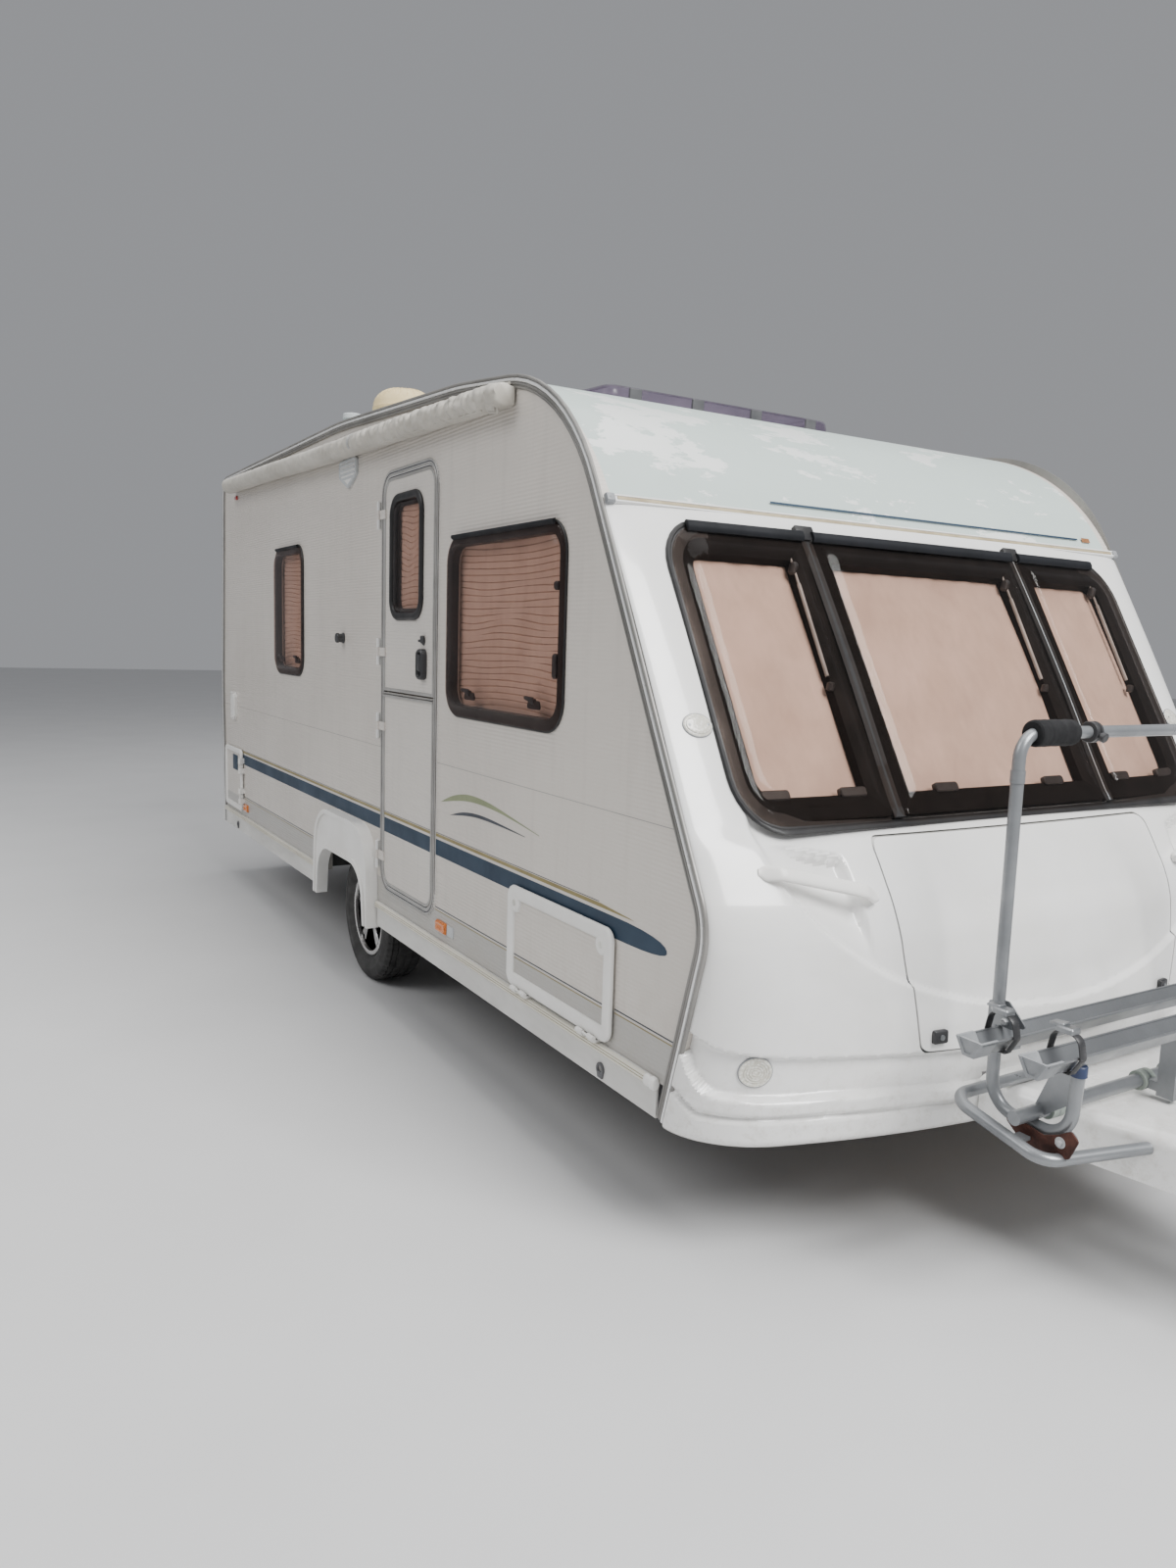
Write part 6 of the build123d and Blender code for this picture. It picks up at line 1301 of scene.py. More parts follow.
def make_door():
    """Frame beads, gaskets, leaf borders, split rail, door window and its seal."""
    beads, gasket = shapes(2)
    place = on_side(-1)
    outline = rounded_box(door_low_y, door_high_y, 0.510, 2.161, door_corner, 12)
    for inset, width, height in ((0.0000, 0.0065, 0.0078), (0.0150, 0.0075, 0.0072)):
        beads.band(outline, [(inset, 0.0030), (inset, height - 0.0015), (inset + 0.0018, height),
                             (inset + width - 0.0018, height), (inset + width, height - 0.0015),
                             (inset + width, 0.0030)], place)
    gasket.band(outline, [(0.0236, -0.010), (0.0236, 0.0030), (0.0250, 0.0042), (0.0275, 0.0030), (0.0278, -0.010)],
                place)
    gasket.band(outline, [(0.0080, 0.0040), (0.0080, 0.0056), (0.0135, 0.0056), (0.0135, 0.0040)], place)
    beads.finish("door_frame_beads", "bead")
    gasket.finish("door_frame_gasket", "dark_grey")
    for name, body, low_z, high_z, top, bottom in (("upper", "upper_door", 1.3205, 2.132, 0.066, 0.001),
                                                   ("lower", "lower_door", 0.539, 1.3135, 0.001, 0.066)):
        border = Shape()
        leaf = leaf_outline(leaf_low_y, leaf_high_y, low_z, high_z, top, bottom)
        border.band(leaf, [(0.0002, 0.0020), (0.0004, 0.0056), (0.0020, 0.0066), (0.0105, 0.0066), (0.0120, 0.0052),
                           (0.0122, 0.0020)], place)
        border.finish(f"{name}_door_border", "bead", body)
    rail = Shape()
    section = [(1.2960, 0.0040), (1.2960, 0.0085), (1.2985, 0.0098), (1.3040, 0.0098), (1.3060, 0.0066),
               (1.3080, 0.0066), (1.3095, 0.0098), (1.3125, 0.0095), (1.3132, 0.0040)]
    rail.skin([[place(y, z, h) for z, h in section] for y in (leaf_low_y + 0.001, leaf_high_y - 0.001)])
    rail.finish("door_split_rail", "bead", "lower_door")
    seal, pane = shapes(2)
    leaf_place = on_side(-1, leaf_skin)
    window = rounded_box(*door_window)
    seal.band(window, [(0.0, 0.0002), (-0.001, 0.005), (0.002, 0.0095), (0.008, 0.0120), (0.020, 0.0120),
                       (0.026, 0.0095), (0.029, 0.0050), (0.030, -0.012), (0.024, -0.012), (0.024, 0.0002)],
              leaf_place)
    seal.finish("door_window_rubber", "rubber", "upper_door", replaces=["door_window_seal"])
    pane.slab(window, [(0.0275, -0.006), (0.0275, 0.0030), (0.034, 0.0040), (0.040, 0.0085), (0.050, 0.0115),
                       (0.070, 0.0125)], leaf_place)
    pane.finish("door_window_acrylic", "side_acrylic", "upper_door", replaces=["door_window_pane"])
    backs = Shape()
    backs.band(window, [(0.024, -0.012), (0.044, -0.013), (0.044, -0.020), (0.024, -0.020)], leaf_place)
    backs.finish("door_window_reveal", "rubber", "upper_door")
    handle = Shape()
    centre_y, centre_z = -0.155, 1.435
    handle.band(centred_box(centre_y, centre_z, 0.031, 0.056, 0.024),
                [(0.0, 0.0), (0.0, 0.014), (0.002, 0.019), (0.006, 0.022), (0.010, 0.0215), (0.013, 0.018),
                 (0.016, 0.008), (0.016, 0.0)], leaf_place)
    handle.slab(centred_box(centre_y, centre_z, 0.018, 0.043, 0.014), [(0, 0.0005), (0, 0.006), (0.002, 0.007)],
                leaf_place)
    paddle = cornered([(centre_y - 0.014, centre_z - 0.030), (centre_y + 0.020, centre_z - 0.022),
                       (centre_y + 0.020, centre_z + 0.040), (centre_y - 0.014, centre_z + 0.034)], [0.007] * 4, 4)
    handle.slab(paddle, [(0, 0.004), (0, 0.015), (0.002, 0.0195), (0.006, 0.0215)], leaf_place)
    plug_y, plug_z = -0.155, 1.519
    handle.turned([(0.0, 0.0150), (0.003, 0.0150), (0.0045, 0.0130), (0.0050, 0.0090), (0.010, 0.0080)],
                  leaf_place(plug_y, plug_z, 0), (-1, 0, 0), 20)
    handle.slab(rounded_box(plug_y - 0.014, plug_y + 0.014, plug_z - 0.007, plug_z + 0.020, 0.006, 4),
                [(0, 0.004), (0, 0.0085), (0.002, 0.0100)], leaf_place)
    handle.block((-wall_x - leaf_skin - 0.0095, plug_y + 0.010, plug_z - 0.004),
                 (-wall_x - leaf_skin, plug_y + 0.034, plug_z + 0.006), 0.002)
    handle.finish("door_handle_set", "black", "upper_door", replaces=["door_handle"])


# Lockers: rounded frames with lock lobes, and the panels in them

def make_lockers():
    """Doors of the side locker and the service hatch."""
    for name, body, region, lobes in (("side_locker", "side_locker_door", side_locker, True),
                                      ("service_hatch", "service_hatch_door", service_hatch, False)):
        low_y, high_y, low_z, high_z, _ = region
        place = on_side(-1)
        outline = rounded_box(*region)
        frame_piece, panel, locks = shapes(3)
        wide = 0.043 if lobes else 0.032
        frame_piece.band(outline, [(0.0010, 0.0060), (0.0000, 0.0105), (0.0018, 0.0150), (0.0055, 0.0176),
                                   (0.0110, 0.0185), (wide - 0.010, 0.0180), (wide - 0.0045, 0.0160),
                                   (wide - 0.001, 0.0120), (wide, 0.0070)], place)
        panel.slab(outline, [(wide - 0.002, 0.0060), (wide - 0.002, 0.0095), (wide + 0.001, 0.0100)], place)
        lock_places = [(low_y + 0.052, high_z - 0.052), (high_y - 0.052, high_z - 0.052)]
        if not lobes:
            lock_places = [(low_y + 0.022, low_z + 0.090), (low_y + 0.022, high_z - 0.090)]
        for lock_y, lock_z in lock_places:
            if lobes:
                lobe = ring_outline(lock_y, lock_z, 0.032, sides=28)
                frame_piece.slab(lobe, [(0.000, 0.0070), (0.0005, 0.0120), (0.003, 0.0162), (0.007, 0.0182),
                                        (0.012, 0.0187)], place)
            locks.turned([(0.0, 0.0105), (0.0195, 0.0105), (0.0202, 0.0095), (0.0196, 0.0080), (0.0196, 0.001)],
                         place(lock_y, lock_z, 0.0), (-1, 0, 0), 20)
            locks.block((-wall_x - 0.0215, lock_y - 0.0015, lock_z - 0.005),
                        (-wall_x - 0.0190, lock_y + 0.0015, lock_z + 0.005), 0.0005)
        frame_piece.finish(f"{name}_frame", "white", body, replaces=[f"{name}_door"], smooth=45)
        panel.finish(f"{name}_panel", "wall", body)
        locks.finish(f"{name}_locks", "lock", body)
        if lobes:
            for colour, finish, heights in (("dark", "ink", dark_pinstripe), ("gold", "gold", gold_pinstripe)):
                line = Shape()
                film_strip(line, -1, low_y + wide, high_y - wide, *heights, 0.0100)
                line.finish(f"side_locker_{colour}_line", finish, body, smooth=0)
        else:
            square = Shape()
            square.slab(rounded_box(low_y + 0.105, low_y + 0.225, high_z - 0.135, high_z - 0.045, 0.006, 3),
                        [(0, 0.0095), (0, 0.0118), (0.001, 0.0122)], place)
            square.finish("service_hatch_square", "navy", body)


# Small fittings on the door side: catch knob, vent under the roof, inlet lid

def make_fittings():
    """Black catch for the open door, the shield vent's slots and rim, and the inlet's lid."""
    place = on_side(-1)
    knob, vent, inlet = shapes(3)
    knob.turned([(0.0, 0.0235), (0.003, 0.0235), (0.005, 0.0200), (0.0215, 0.0180), (0.0225, 0.0215),
                 (0.0300, 0.0215), (0.0335, 0.0190), (0.0345, 0.010)], place(0.771, 1.519, 0), (-1, 0, 0), 28)
    shield = cornered([(0.579, 2.265), (0.795, 2.265), (0.795, 2.195), (0.687, 2.146), (0.579, 2.195)], [0.018] * 5)
    vent.band(shield, [(-0.001, 0.0), (-0.001, 0.0105), (0.003, 0.0135), (0.009, 0.0135), (0.013, 0.0105),
                       (0.013, 0.008)], place)
    for k in range(4):
        z = 2.240 - 0.018 * k
        half = 0.086 if k < 3 else 0.070
        vent.skin([[place(0.687 + w, z + a, h) for a, h in ((-0.004, 0.009), (0.003, 0.0145), (0.006, 0.0140),
                                                            (0.001, 0.009))] for w in (-half, half)])
    inlet.slab(rounded_box(2.769, 2.857, 1.010, 1.170, 0.036),
               [(0, 0.012), (0, 0.0165), (0.003, 0.0195), (0.010, 0.0205)], place)
    inlet.slab(rounded_box(2.796, 2.830, 1.018, 1.030, 0.004, 3), [(0, 0.018), (0, 0.0235), (0.002, 0.025)], place)
    inlet.block((-wall_x - 0.024, 2.785, 1.163), (-wall_x - 0.013, 2.841, 1.173), 0.002)
    knob.finish("door_catch", "black")
    vent.finish("shield_vent_louvres", "light_grey")
    inlet.finish("inlet_lid", "white")


# Skirts: rail with two lines, end plugs, crank sockets

rail_z = 0.4355
crank_ys = (-1.457, 2.740)


def make_skirts():
    """Rail along the top of each skirt, its end plugs, and the sockets of the steadies' crank."""
    rail, lines, plugs, sockets = shapes(4)
    section = [(0.4225, 0.0060), (0.4235, 0.0130), (0.4275, 0.0165), (0.4310, 0.0165), (0.4322, 0.0150),
               (0.4338, 0.0150), (0.4350, 0.0165), (0.4385, 0.0165), (0.4400, 0.0150), (0.4415, 0.0150),
               (0.4428, 0.0160), (0.4455, 0.0150), (0.4475, 0.0100), (0.4478, 0.0060)]
    for side in (-1, 1):
        place = on_side(side)
        for low_y, high_y in ((-1.700, 0.3145), (1.0655, 3.060)):
            rail.skin([[place(y, z, h) for z, h in section] for y in (low_y, low_y + 0.001, high_y - 0.001, high_y)])
            for low_z, high_z in ((0.4322, 0.4338), (0.4400, 0.4415)):
                film_strip(lines, side, low_y + 0.001, high_y - 0.001, low_z, high_z, 0.0149)
        plug = [(-1.727, 0.42), (-1.7255, 0.80), (-1.720, 1.0), (-1.709, 1.0), (-1.706, 0.72), (-1.700, 0.70),
                (-1.694, 0.90), (-1.684, 0.92), (-1.681, 0.80)]
        plugs.skin([[place(y, rail_z + 0.0185 * size * math.sin(t), max(0.0105 + 0.0135 * size * math.cos(t), 0.0))
                     for t in turns_of(16)] for y, size in plug])
        for y in crank_ys:
            sockets.band(ring_outline(y, 0.378, 0.0185, sides=24), [(0.0, 0.0060), (0.0, 0.0110), (0.002, 0.0125),
                         (0.0065, 0.0125), (0.0085, 0.0105), (0.0085, 0.0060)], place)
            flap = cornered([(y - 0.012, 0.352), (y + 0.012, 0.352), (y + 0.016, 0.372), (y - 0.016, 0.372)],
                            [0.004] * 4, 3)
            sockets.slab(flap, [(0, 0.0060), (0, 0.0100), (0.0015, 0.0112)], place)
    rail.finish("skirt_rails", "cream", smooth=40)
    lines.finish("skirt_rail_lines", "gold", smooth=0)
    plugs.finish("skirt_rail_plugs", "white")
    sockets.finish("crank_sockets", "dark_grey")


make_stripes()
make_roof_front()
make_edge_trims()
make_door()
make_lockers()
make_skirts()
make_fittings()


# Awning rolled up in its bag: a sagging shell with crosswise folds, its welts and its tie

bag_start = Vector((-1.1003, -0.850, 2.259))
bag_end = Vector((-1.1003, 2.724, 2.366))
bag_depth = 0.088
bag_height = 0.084
bag_sides = 44
fold_seed = 3.0
tie_at, tie_half = 1.32, 0.009


def fold_at(y, angle):
    """Depth of the cloth's folds at a place along the bag, from 0 to 1."""
    lean = 0.25 * math.sin(angle + fold_seed)
    wave = noise.noise(Vector((31.0 * (y + 0.05 * lean), 0.9 * math.cos(angle), fold_seed)))
    fine = noise.noise(Vector((83.0 * (y - 0.03 * lean), 1.6 * math.sin(angle), fold_seed + 7)))
    return max(0.0, 0.55 * wave + 0.35 * fine + 0.18)


def make_awning_bag():
    """The bag, its welts, its tie and the flap on its front end."""
    along = bag_end - bag_start
    length = along.length
    axis = along.normalized()
    up = Vector((0, -axis.z, axis.y))
    stations = [0.0, 0.006, 0.016, 0.030] + list(np.linspace(0.045, length - 0.045, 470))
    stations += [length - 0.030, length - 0.016, length - 0.006, length]
    bag, welt, ties, flap = shapes(4)
    rings = []
    for s in stations:
        end = min(s, length - s)
        gather = 0.80 + 0.20 * math.sqrt(min(end / 0.030, 1.0)) if end < 0.030 else 1.0
        tied = 0.05 * math.exp(-((s - tie_at) / 0.02) ** 2)
        crumple = 0.0135 * math.exp(-((s - 0.3) / 0.9) ** 2) + 0.0045
        sag = 0.0035 * math.sin(2.6 * s) * math.sin(math.pi * s / length)
        ring = []
        for angle in turns_of(bag_sides):
            c, d = math.cos(angle), math.sin(angle)
            low = 1.0 if d < 0 else 0.93
            out = 0.5 * bag_depth * (1 + signed_power(c, 0.86) * gather)
            rise = 0.5 * bag_height * signed_power(d, 0.92) * low * gather
            front = max(0.0, c + 0.5) / 1.5
            push = 1 - tied * front - crumple / 0.044 * fold_at(s, angle) * (0.3 + 0.7 * front)
            out = 0.004 + (out - 0.004) * push
            rise = rise * push - 0.0022 + min(sag, 0.0015)
            if c < -0.55:
                out = min(out, 0.006)
            ring.append(bag_start + axis * s + Vector((-out, 0, 0)) + up * rise)
        rings.append(ring)
    bag.skin(rings)
    piece = bag.finish("awning_bag_cloth", "bag", replaces=["awning_bag"], smooth=60)
    chance = random.Random(21)
    line = []
    for s in np.linspace(0.02, length - 0.02, 160):
        line.append(bag_start + axis * s + up * (0.0365 + chance.uniform(-0.0006, 0.0006)) + Vector((-0.0145, 0, 0)))
    welt.tube(line, 0.0042, 8)
    line = []
    for s in np.linspace(0.115, length - 0.05, 220):
        drop = 0.0012 * math.sin(9 * s) + chance.uniform(-0.0005, 0.0005)
        line.append(bag_start + axis * s - up * (0.0365 + drop) + Vector((-0.060, 0, 0)))
    welt.tube(line, 0.0028, 8)
    welt.finish("awning_bag_welts", "bag")
    strap = []
    for offset, lift in ((-tie_half, -0.0005), (-tie_half, 0.0012), (tie_half, 0.0012), (tie_half, -0.0005)):
        loop = []
        for k in range(25):
            angle = math.radians(-128 + 256 * k / 24)
            out = 0.5 * bag_depth * (1 + math.cos(angle) * 0.94) + lift
            rise = (0.5 * bag_height * 0.93 + lift) * math.sin(angle) - 0.002
            loop.append(bag_start + axis * (tie_at + offset) + Vector((-max(out, 0.003), 0, 0)) + up * rise)
        strap.append(loop)
    ties.skin(strap)
    ties.finish("awning_bag_ties", "bag_dark")
    outline = cornered([(-0.030, -0.052), (0.034, -0.046), (0.040, 0.020), (-0.036, 0.026)],
                       [0.006, 0.016, 0.01, 0.01], 4)
    for lift, turn in ((0.0, 0.0), (0.0035, 0.10)):
        rows = []
        for inset, height in ((0.0, 0.0), (0.0, 0.0016), (0.004, 0.0022)):
            rows.append([bag_start + axis * (0.055 + a + turn * b) + up * (b - 0.004)
                         + Vector((-(0.0785 + lift - 55 * a * a * 0.25 - 9 * b * b + height), 0, 0))
                         for a, b in outline(inset + lift * 2)])
        flap.skin(rows)
    flap.finish("awning_bag_end_flap", "bag")


# Lamps, reflectors, grab handles and lid locks

marker_place = (1.009, 1.337)
marker_radii = (0.040, 0.027)
reflector_place = (0.975, 0.519)
reflector_radius = 0.038
band_depth = 0.017


def make_lamps():
    """Marker lamps and reflectors on the front, and the side markers."""
    clear, screws, ribbed, amber, plates, red = shapes(6)
    for side in (-1, 1):
        x, z = side * marker_place[0], marker_place[1]
        curved_pad(clear, ring_outline(x, z, *marker_radii), [(0, -0.004), (0, 0.0035), (0.0025, 0.0050),
                   (0.0050, 0.0052), (0.0065, 0.0075), (0.012, 0.0090)], on_front)
        for shift in (-0.026, 0.026):
            curved_pad(screws, ring_outline(x + shift, z, 0.0035, sides=10),
                       [(0, 0.006), (0, 0.0092), (0.001, 0.0098)], on_front, (0.5,))
        x, z = side * reflector_place[0], reflector_place[1]
        curved_pad(ribbed, ring_outline(x, z, reflector_radius), [(0, -0.020), (0, -band_depth + 0.004),
                   (0.002, -band_depth + 0.006), (0.006, -band_depth + 0.006), (0.007, -band_depth + 0.004)],
                   on_front, (0.9, 0.6, 0.3, 0.03))
        for radius in (0.026, 0.020, 0.014, 0.008):
            outline = ring_outline(x, z, radius, sides=36)
            ribbed.band(outline, [(-0.0012, -band_depth + 0.0036), (0.0, -band_depth + 0.0058),
                                  (0.0012, -band_depth + 0.0036)], on_front)
        place = on_side(side)
        for y in (-0.343, 2.557):
            outline = rounded_box(y - 0.044, y + 0.044, 0.479, 0.521, 0.007, 4)
            amber.slab(outline, [(0, 0.0), (0, 0.0045), (0.0015, 0.0055)], place)
            amber.slab(rounded_box(y - 0.040, y + 0.040, 0.4825, 0.5175, 0.006, 4),
                       [(0, 0.005), (0, 0.0095), (0.002, 0.0115), (0.006, 0.0120)], place)
            for k in range(9):
                middle = y - 0.024 + 0.006 * k
                amber.skin([[place(middle + w, z, h) for w, h in rib_of(0.0018, 0.0115, 0.0132)]
                            for z in (0.4915, 0.5085)])
        plates.slab(rounded_box(-0.448, -0.392, 0.481, 0.519, 0.004, 3), [(0, 0), (0, 0.0022), (0.001, 0.003)], place)
    rings = Shape()
    for side in (-1, 1):
        rings.band(ring_outline(side * marker_place[0], marker_place[1], *marker_radii),
                   [(-0.0022, 0.0), (-0.0022, 0.0022), (0.0004, 0.0030), (0.0004, 0.0)], on_front)
        rings.band(ring_outline(side * reflector_place[0], reflector_place[1], reflector_radius),
                   [(-0.0022, -band_depth - 0.003), (-0.0022, -band_depth + 0.0035), (0.0003, -band_depth + 0.0042),
                    (0.0003, -band_depth - 0.003)], on_front)
    rings.finish("front_lamp_gaskets", "grey")
    place = on_side(-1)
    red.slab(rounded_box(2.690, 2.732, 2.290, 2.312, 0.006, 4), [(0, 0), (0, 0.007), (0.003, 0.010)], place)
    clear.finish("front_marker_lenses", "clear", replaces=["marker_lamps"])
    screws.finish("front_marker_screws", "alloy")
    ribbed.finish("front_reflectors", "clear")
    amber.finish("side_marker_lenses", "amber")
    plates.finish("side_marker_plates", "light_grey")
    red.finish("rear_corner_marker", "red")


def make_handles():
    """Grab handles over their recesses, and the two locks on the lid's lower edge."""
    bars, locks, discs = shapes(3)
    for side in (-1, 1):
        start, end = Vector((side * 0.964, 1.0035)), Vector((side * 0.640, 0.9285))
        across = Vector((-(end - start).y, (end - start).x)).normalized()
        rings = []
        for share in np.linspace(0, 1, 49):
            tip = min(share, 1 - share)
            arch = step_up(tip / 0.17)
            middle = start + (end - start) * share
            half = 0.0175 * (0.50 + 0.50 * float(step_up(tip / 0.05))) * (1 - 0.10 * float(arch))
            ring = []
            for angle in turns_of(20):
                place = middle + across * (half * signed_power(math.cos(angle), 0.7))
                rise = 0.0085 * signed_power(math.sin(angle), 0.7)
                ring.append(on_front(place.x, place.y, -0.004 + 0.0255 * float(arch) + rise))
            rings.append(ring)
        bars.skin(rings)
        x, z = side * 0.480, 0.572
        low = float(front_relief(np.array(x), np.array(z)))
        curved_pad(locks, centred_box(x, z, 0.0225, 0.0175, 0.006, 4),
                   [(0, low - 0.002), (0, low + 0.008), (0.003, low + 0.0115), (0.006, low + 0.012)], on_front)
        curved_pad(discs, ring_outline(x, z, 0.0075, sides=16), [(0, low + 0.010), (0, low + 0.0145),
                   (0.0015, low + 0.0152)], on_front, (0.6, 0.1))
    bars.finish("front_grab_bars", "white", replaces=["grab_handles"])
    locks.finish("gas_locker_locks", "black", "gas_locker_lid")
    discs.finish("gas_locker_lock_discs", "alloy", "gas_locker_lid")


# Carrier: lips, end caps, straps, bolts and grips on its CAD frame

rail_places = ((-2.283, 0.664), (-2.449, 0.675))
rail_half = 0.640
leg_x = 0.480
mast_y = -2.229
mast_top = 1.355
grip_x, clamp_x = -0.368, -0.218
pivot_y, pivot_z = -2.440, 0.458


def make_carrier():
    """What is fixed to the carrier's frame and to its base."""
    lips, caps, straps, buckles, bolts = shapes(5)
    for y, z in rail_places:
        for side in (-1, 1):
            lips.tube([(x, y + side * 0.0335, z - 0.001) for x in np.linspace(-rail_half, rail_half, 12)], 0.0034, 10)
            wall = mirrored([(-0.0375, 0.003), (-0.0145, -0.0385)]) + mirrored([(0.0300, 0.003), (0.0090, -0.0310)])
            caps.skin([[(side * x, y + a * k, z + b * k) for a, b in wall]
                       for x, k in ((rail_half - 0.052, 0.97), (rail_half - 0.050, 1), (rail_half + 0.003, 1),
                                    (rail_half + 0.007, 0.94))])
            end = [(y - 0.034, z + 0.002), (y - 0.0130, z - 0.0365), (y + 0.0130, z - 0.0365), (y + 0.034, z + 0.002)]
            caps.skin([[(side * x, a, b) for a, b in end] for x in (rail_half - 0.004, rail_half + 0.004)])
            x = side * 0.530
            path = closed_bent([(y - 0.041, z - 0.002), (y - 0.0175, z - 0.0425), (y + 0.0175, z - 0.0425),
                                (y + 0.041, z - 0.002), (y + 0.031, z + 0.046), (y - 0.031, z + 0.046)],
                               [0.012, 0.008, 0.008, 0.012, 0.024, 0.024], 6)
            straps.skin(strap_rings(path, x, 0.011), closed=True)
            buckles.slab(rounded_box(x - 0.016, x + 0.016, y - 0.020, y + 0.022, 0.004, 3),
                         [(0, 0.0), (0, 0.010), (0.003, 0.014)], lambda a, b, h, z=z: (a, b, z + 0.047 + h))
            buckles.slab(rounded_box(x - 0.013, x + 0.013, y + 0.004, y + 0.040, 0.003, 3),
                         [(0, 0.0), (0, 0.004), (0.002, 0.006)],
                         lambda a, b, h, y=y, z=z: (a, b, z + 0.061 + h - 0.1 * (b - y)))
            for shift in (-0.2, 0.0, 0.2):
                bolts.turned([(0.0, 0.0075), (0.003, 0.0075), (0.0045, 0.005)],
                             (side * 0.30 + shift, y, z - 0.0335), (0, 0, 1), 6)
    for side in (-1, 1):
        x = side * leg_x
        for shift in (-1, 1):
            for y, z in ((mast_y - 0.004, 0.704), (-2.262, 0.679)):
                bolts.turned([(0.0, 0.0095), (0.002, 0.0095), (0.0022, 0.0075), (0.008, 0.0075), (0.009, 0.006)],
                             (x + shift * 0.0152, y, z), (shift, 0, 0), 6)
        bolts.turned([(-0.001, 0.006), (0.006, 0.006), (0.0075, 0.004)], (x - side * 0.015, mast_y, 1.255),
                     (-side, 0, 0), 8)
        bolts.turned([(0.0, 0.010), (0.002, 0.010), (0.0022, 0.008), (0.009, 0.008), (0.010, 0.006)],
                     (side * 0.5085, pivot_y, pivot_z), (side, 0, 0), 6)
    lips.finish("carrier_rail_lips", "alloy", "carrier")
    caps.finish("carrier_rail_caps", "grey", "carrier")
    straps.finish("carrier_wheel_straps", "black", "carrier", smooth=50)
    buckles.finish("carrier_strap_buckles", "alloy", "carrier")
    bolts.finish("carrier_bolts", "steel", "carrier")
    make_carrier_grips()


def strap_rings(path, x, half):
    """Toothed strap in a loop: a flat section around a path (y, z), with a tooth every other step."""
    fine = []
    count = len(path)
    for i in range(count):
        a, b = Vector(path[i]), Vector(path[(i + 1) % count])
        parts = max(1, round((b - a).length / 0.0035))
        fine += [a + (b - a) * k / parts for k in range(parts)]
    rings = []
    for i, point in enumerate(fine):
        along = (fine[(i + 1) % len(fine)] - fine[i - 1]).normalized()
        out = Vector((along.y, -along.x))
        rise = 0.0030 if i % 2 else 0.0016
        rings.append([(x + w, *(point + out * h)) for w, h in ((-half, -0.0012), (-half, 0.0012), (-half * 0.8, rise),
                                                              (half * 0.8, rise), (half, 0.0012), (half, -0.0012))])
    return rings


def make_carrier_grips():
    """Foam grip and clamp on the top tube, caps and collars, and the rusted pivot plates."""
    grip, clamp, caps, collars, plates, washers = shapes(6)
    chance = random.Random(8)
    profile_of_grip = [(-0.0730, 0.0160), (-0.0725, 0.0270), (-0.0690, 0.0310)]
    profile_of_grip += [(-0.066 + 0.006 * k, 0.0320 + chance.uniform(-0.0007, 0.0007)) for k in range(23)]
    profile_of_grip += [(0.0690, 0.0310), (0.0725, 0.0270), (0.0730, 0.0160)]
    grip.turned(profile_of_grip, (grip_x, mast_y, mast_top), (1, 0, 0), 32)
    clamp.turned(mirrored([(-0.0130, 0.0155), (-0.0130, 0.0245), (-0.011, 0.0262), (-0.003, 0.0262),
                           (-0.002, 0.0240)]), (clamp_x, mast_y, mast_top), (1, 0, 0), 28)
    clamp.turned([(0.018, 0.008), (0.030, 0.008), (0.031, 0.0125), (0.040, 0.0125), (0.042, 0.010)],
                 (clamp_x, mast_y, mast_top), (0, -0.9, -0.3), 12)
    for side in (-1, 1):
        caps.turned([(-0.003, 0.0160), (-0.002, 0.0178), (0.021, 0.0178), (0.0235, 0.0160), (0.0245, 0.012)],
                    (side * leg_x, -2.451, 0.6145), (0, 0.012, 1), 24)
        for x in (side * 0.420, side * 0.060):
            collars.turned(mirrored([(-0.0222, 0.0180), (-0.0222, 0.0238), (-0.0205, 0.0250), (-0.004, 0.0250),
                                     (-0.003, 0.0240)]), (x, -2.350, 0.488), (1, 0, 0), 28)
        outline = cornered([(-2.296, 0.455), (-2.330, 0.428), (-2.400, 0.411), (-2.462, 0.428), (-2.482, 0.476),
                            (-2.462, 0.492), (-2.428, 0.470), (-2.395, 0.456), (-2.345, 0.464), (-2.312, 0.482)],
                           [0.007] * 10, 4)
        plates.slab(outline, [(0.0004, -0.0004), (-0.0006, 0.0002), (-0.0006, 0.0048), (0.0004, 0.0054)],
                    lambda a, b, h, side=side: (side * (0.503 + h), a, b))
        washers.turned([(0.0, 0.0130), (0.0016, 0.0130), (0.0020, 0.0115)], (side * 0.5083, pivot_y, pivot_z),
                       (side, 0, 0), 24)
    grip.finish("carrier_grip", "foam", "carrier", replaces=["carrier_clamps"])
    clamp.finish("carrier_clamp", "black", "carrier")
    caps.finish("carrier_leg_caps", "navy_cap", "carrier")
    collars.finish("carrier_collars", "green_grey", "carrier")
    plates.finish("carrier_pivot_plates", "rust")
    washers.finish("carrier_pivot_washers", "steel")


# Wheels: tyres with tread and sidewall rings, and five-spoke rims

tyre_x = 0.938
rim_radius = 0.178


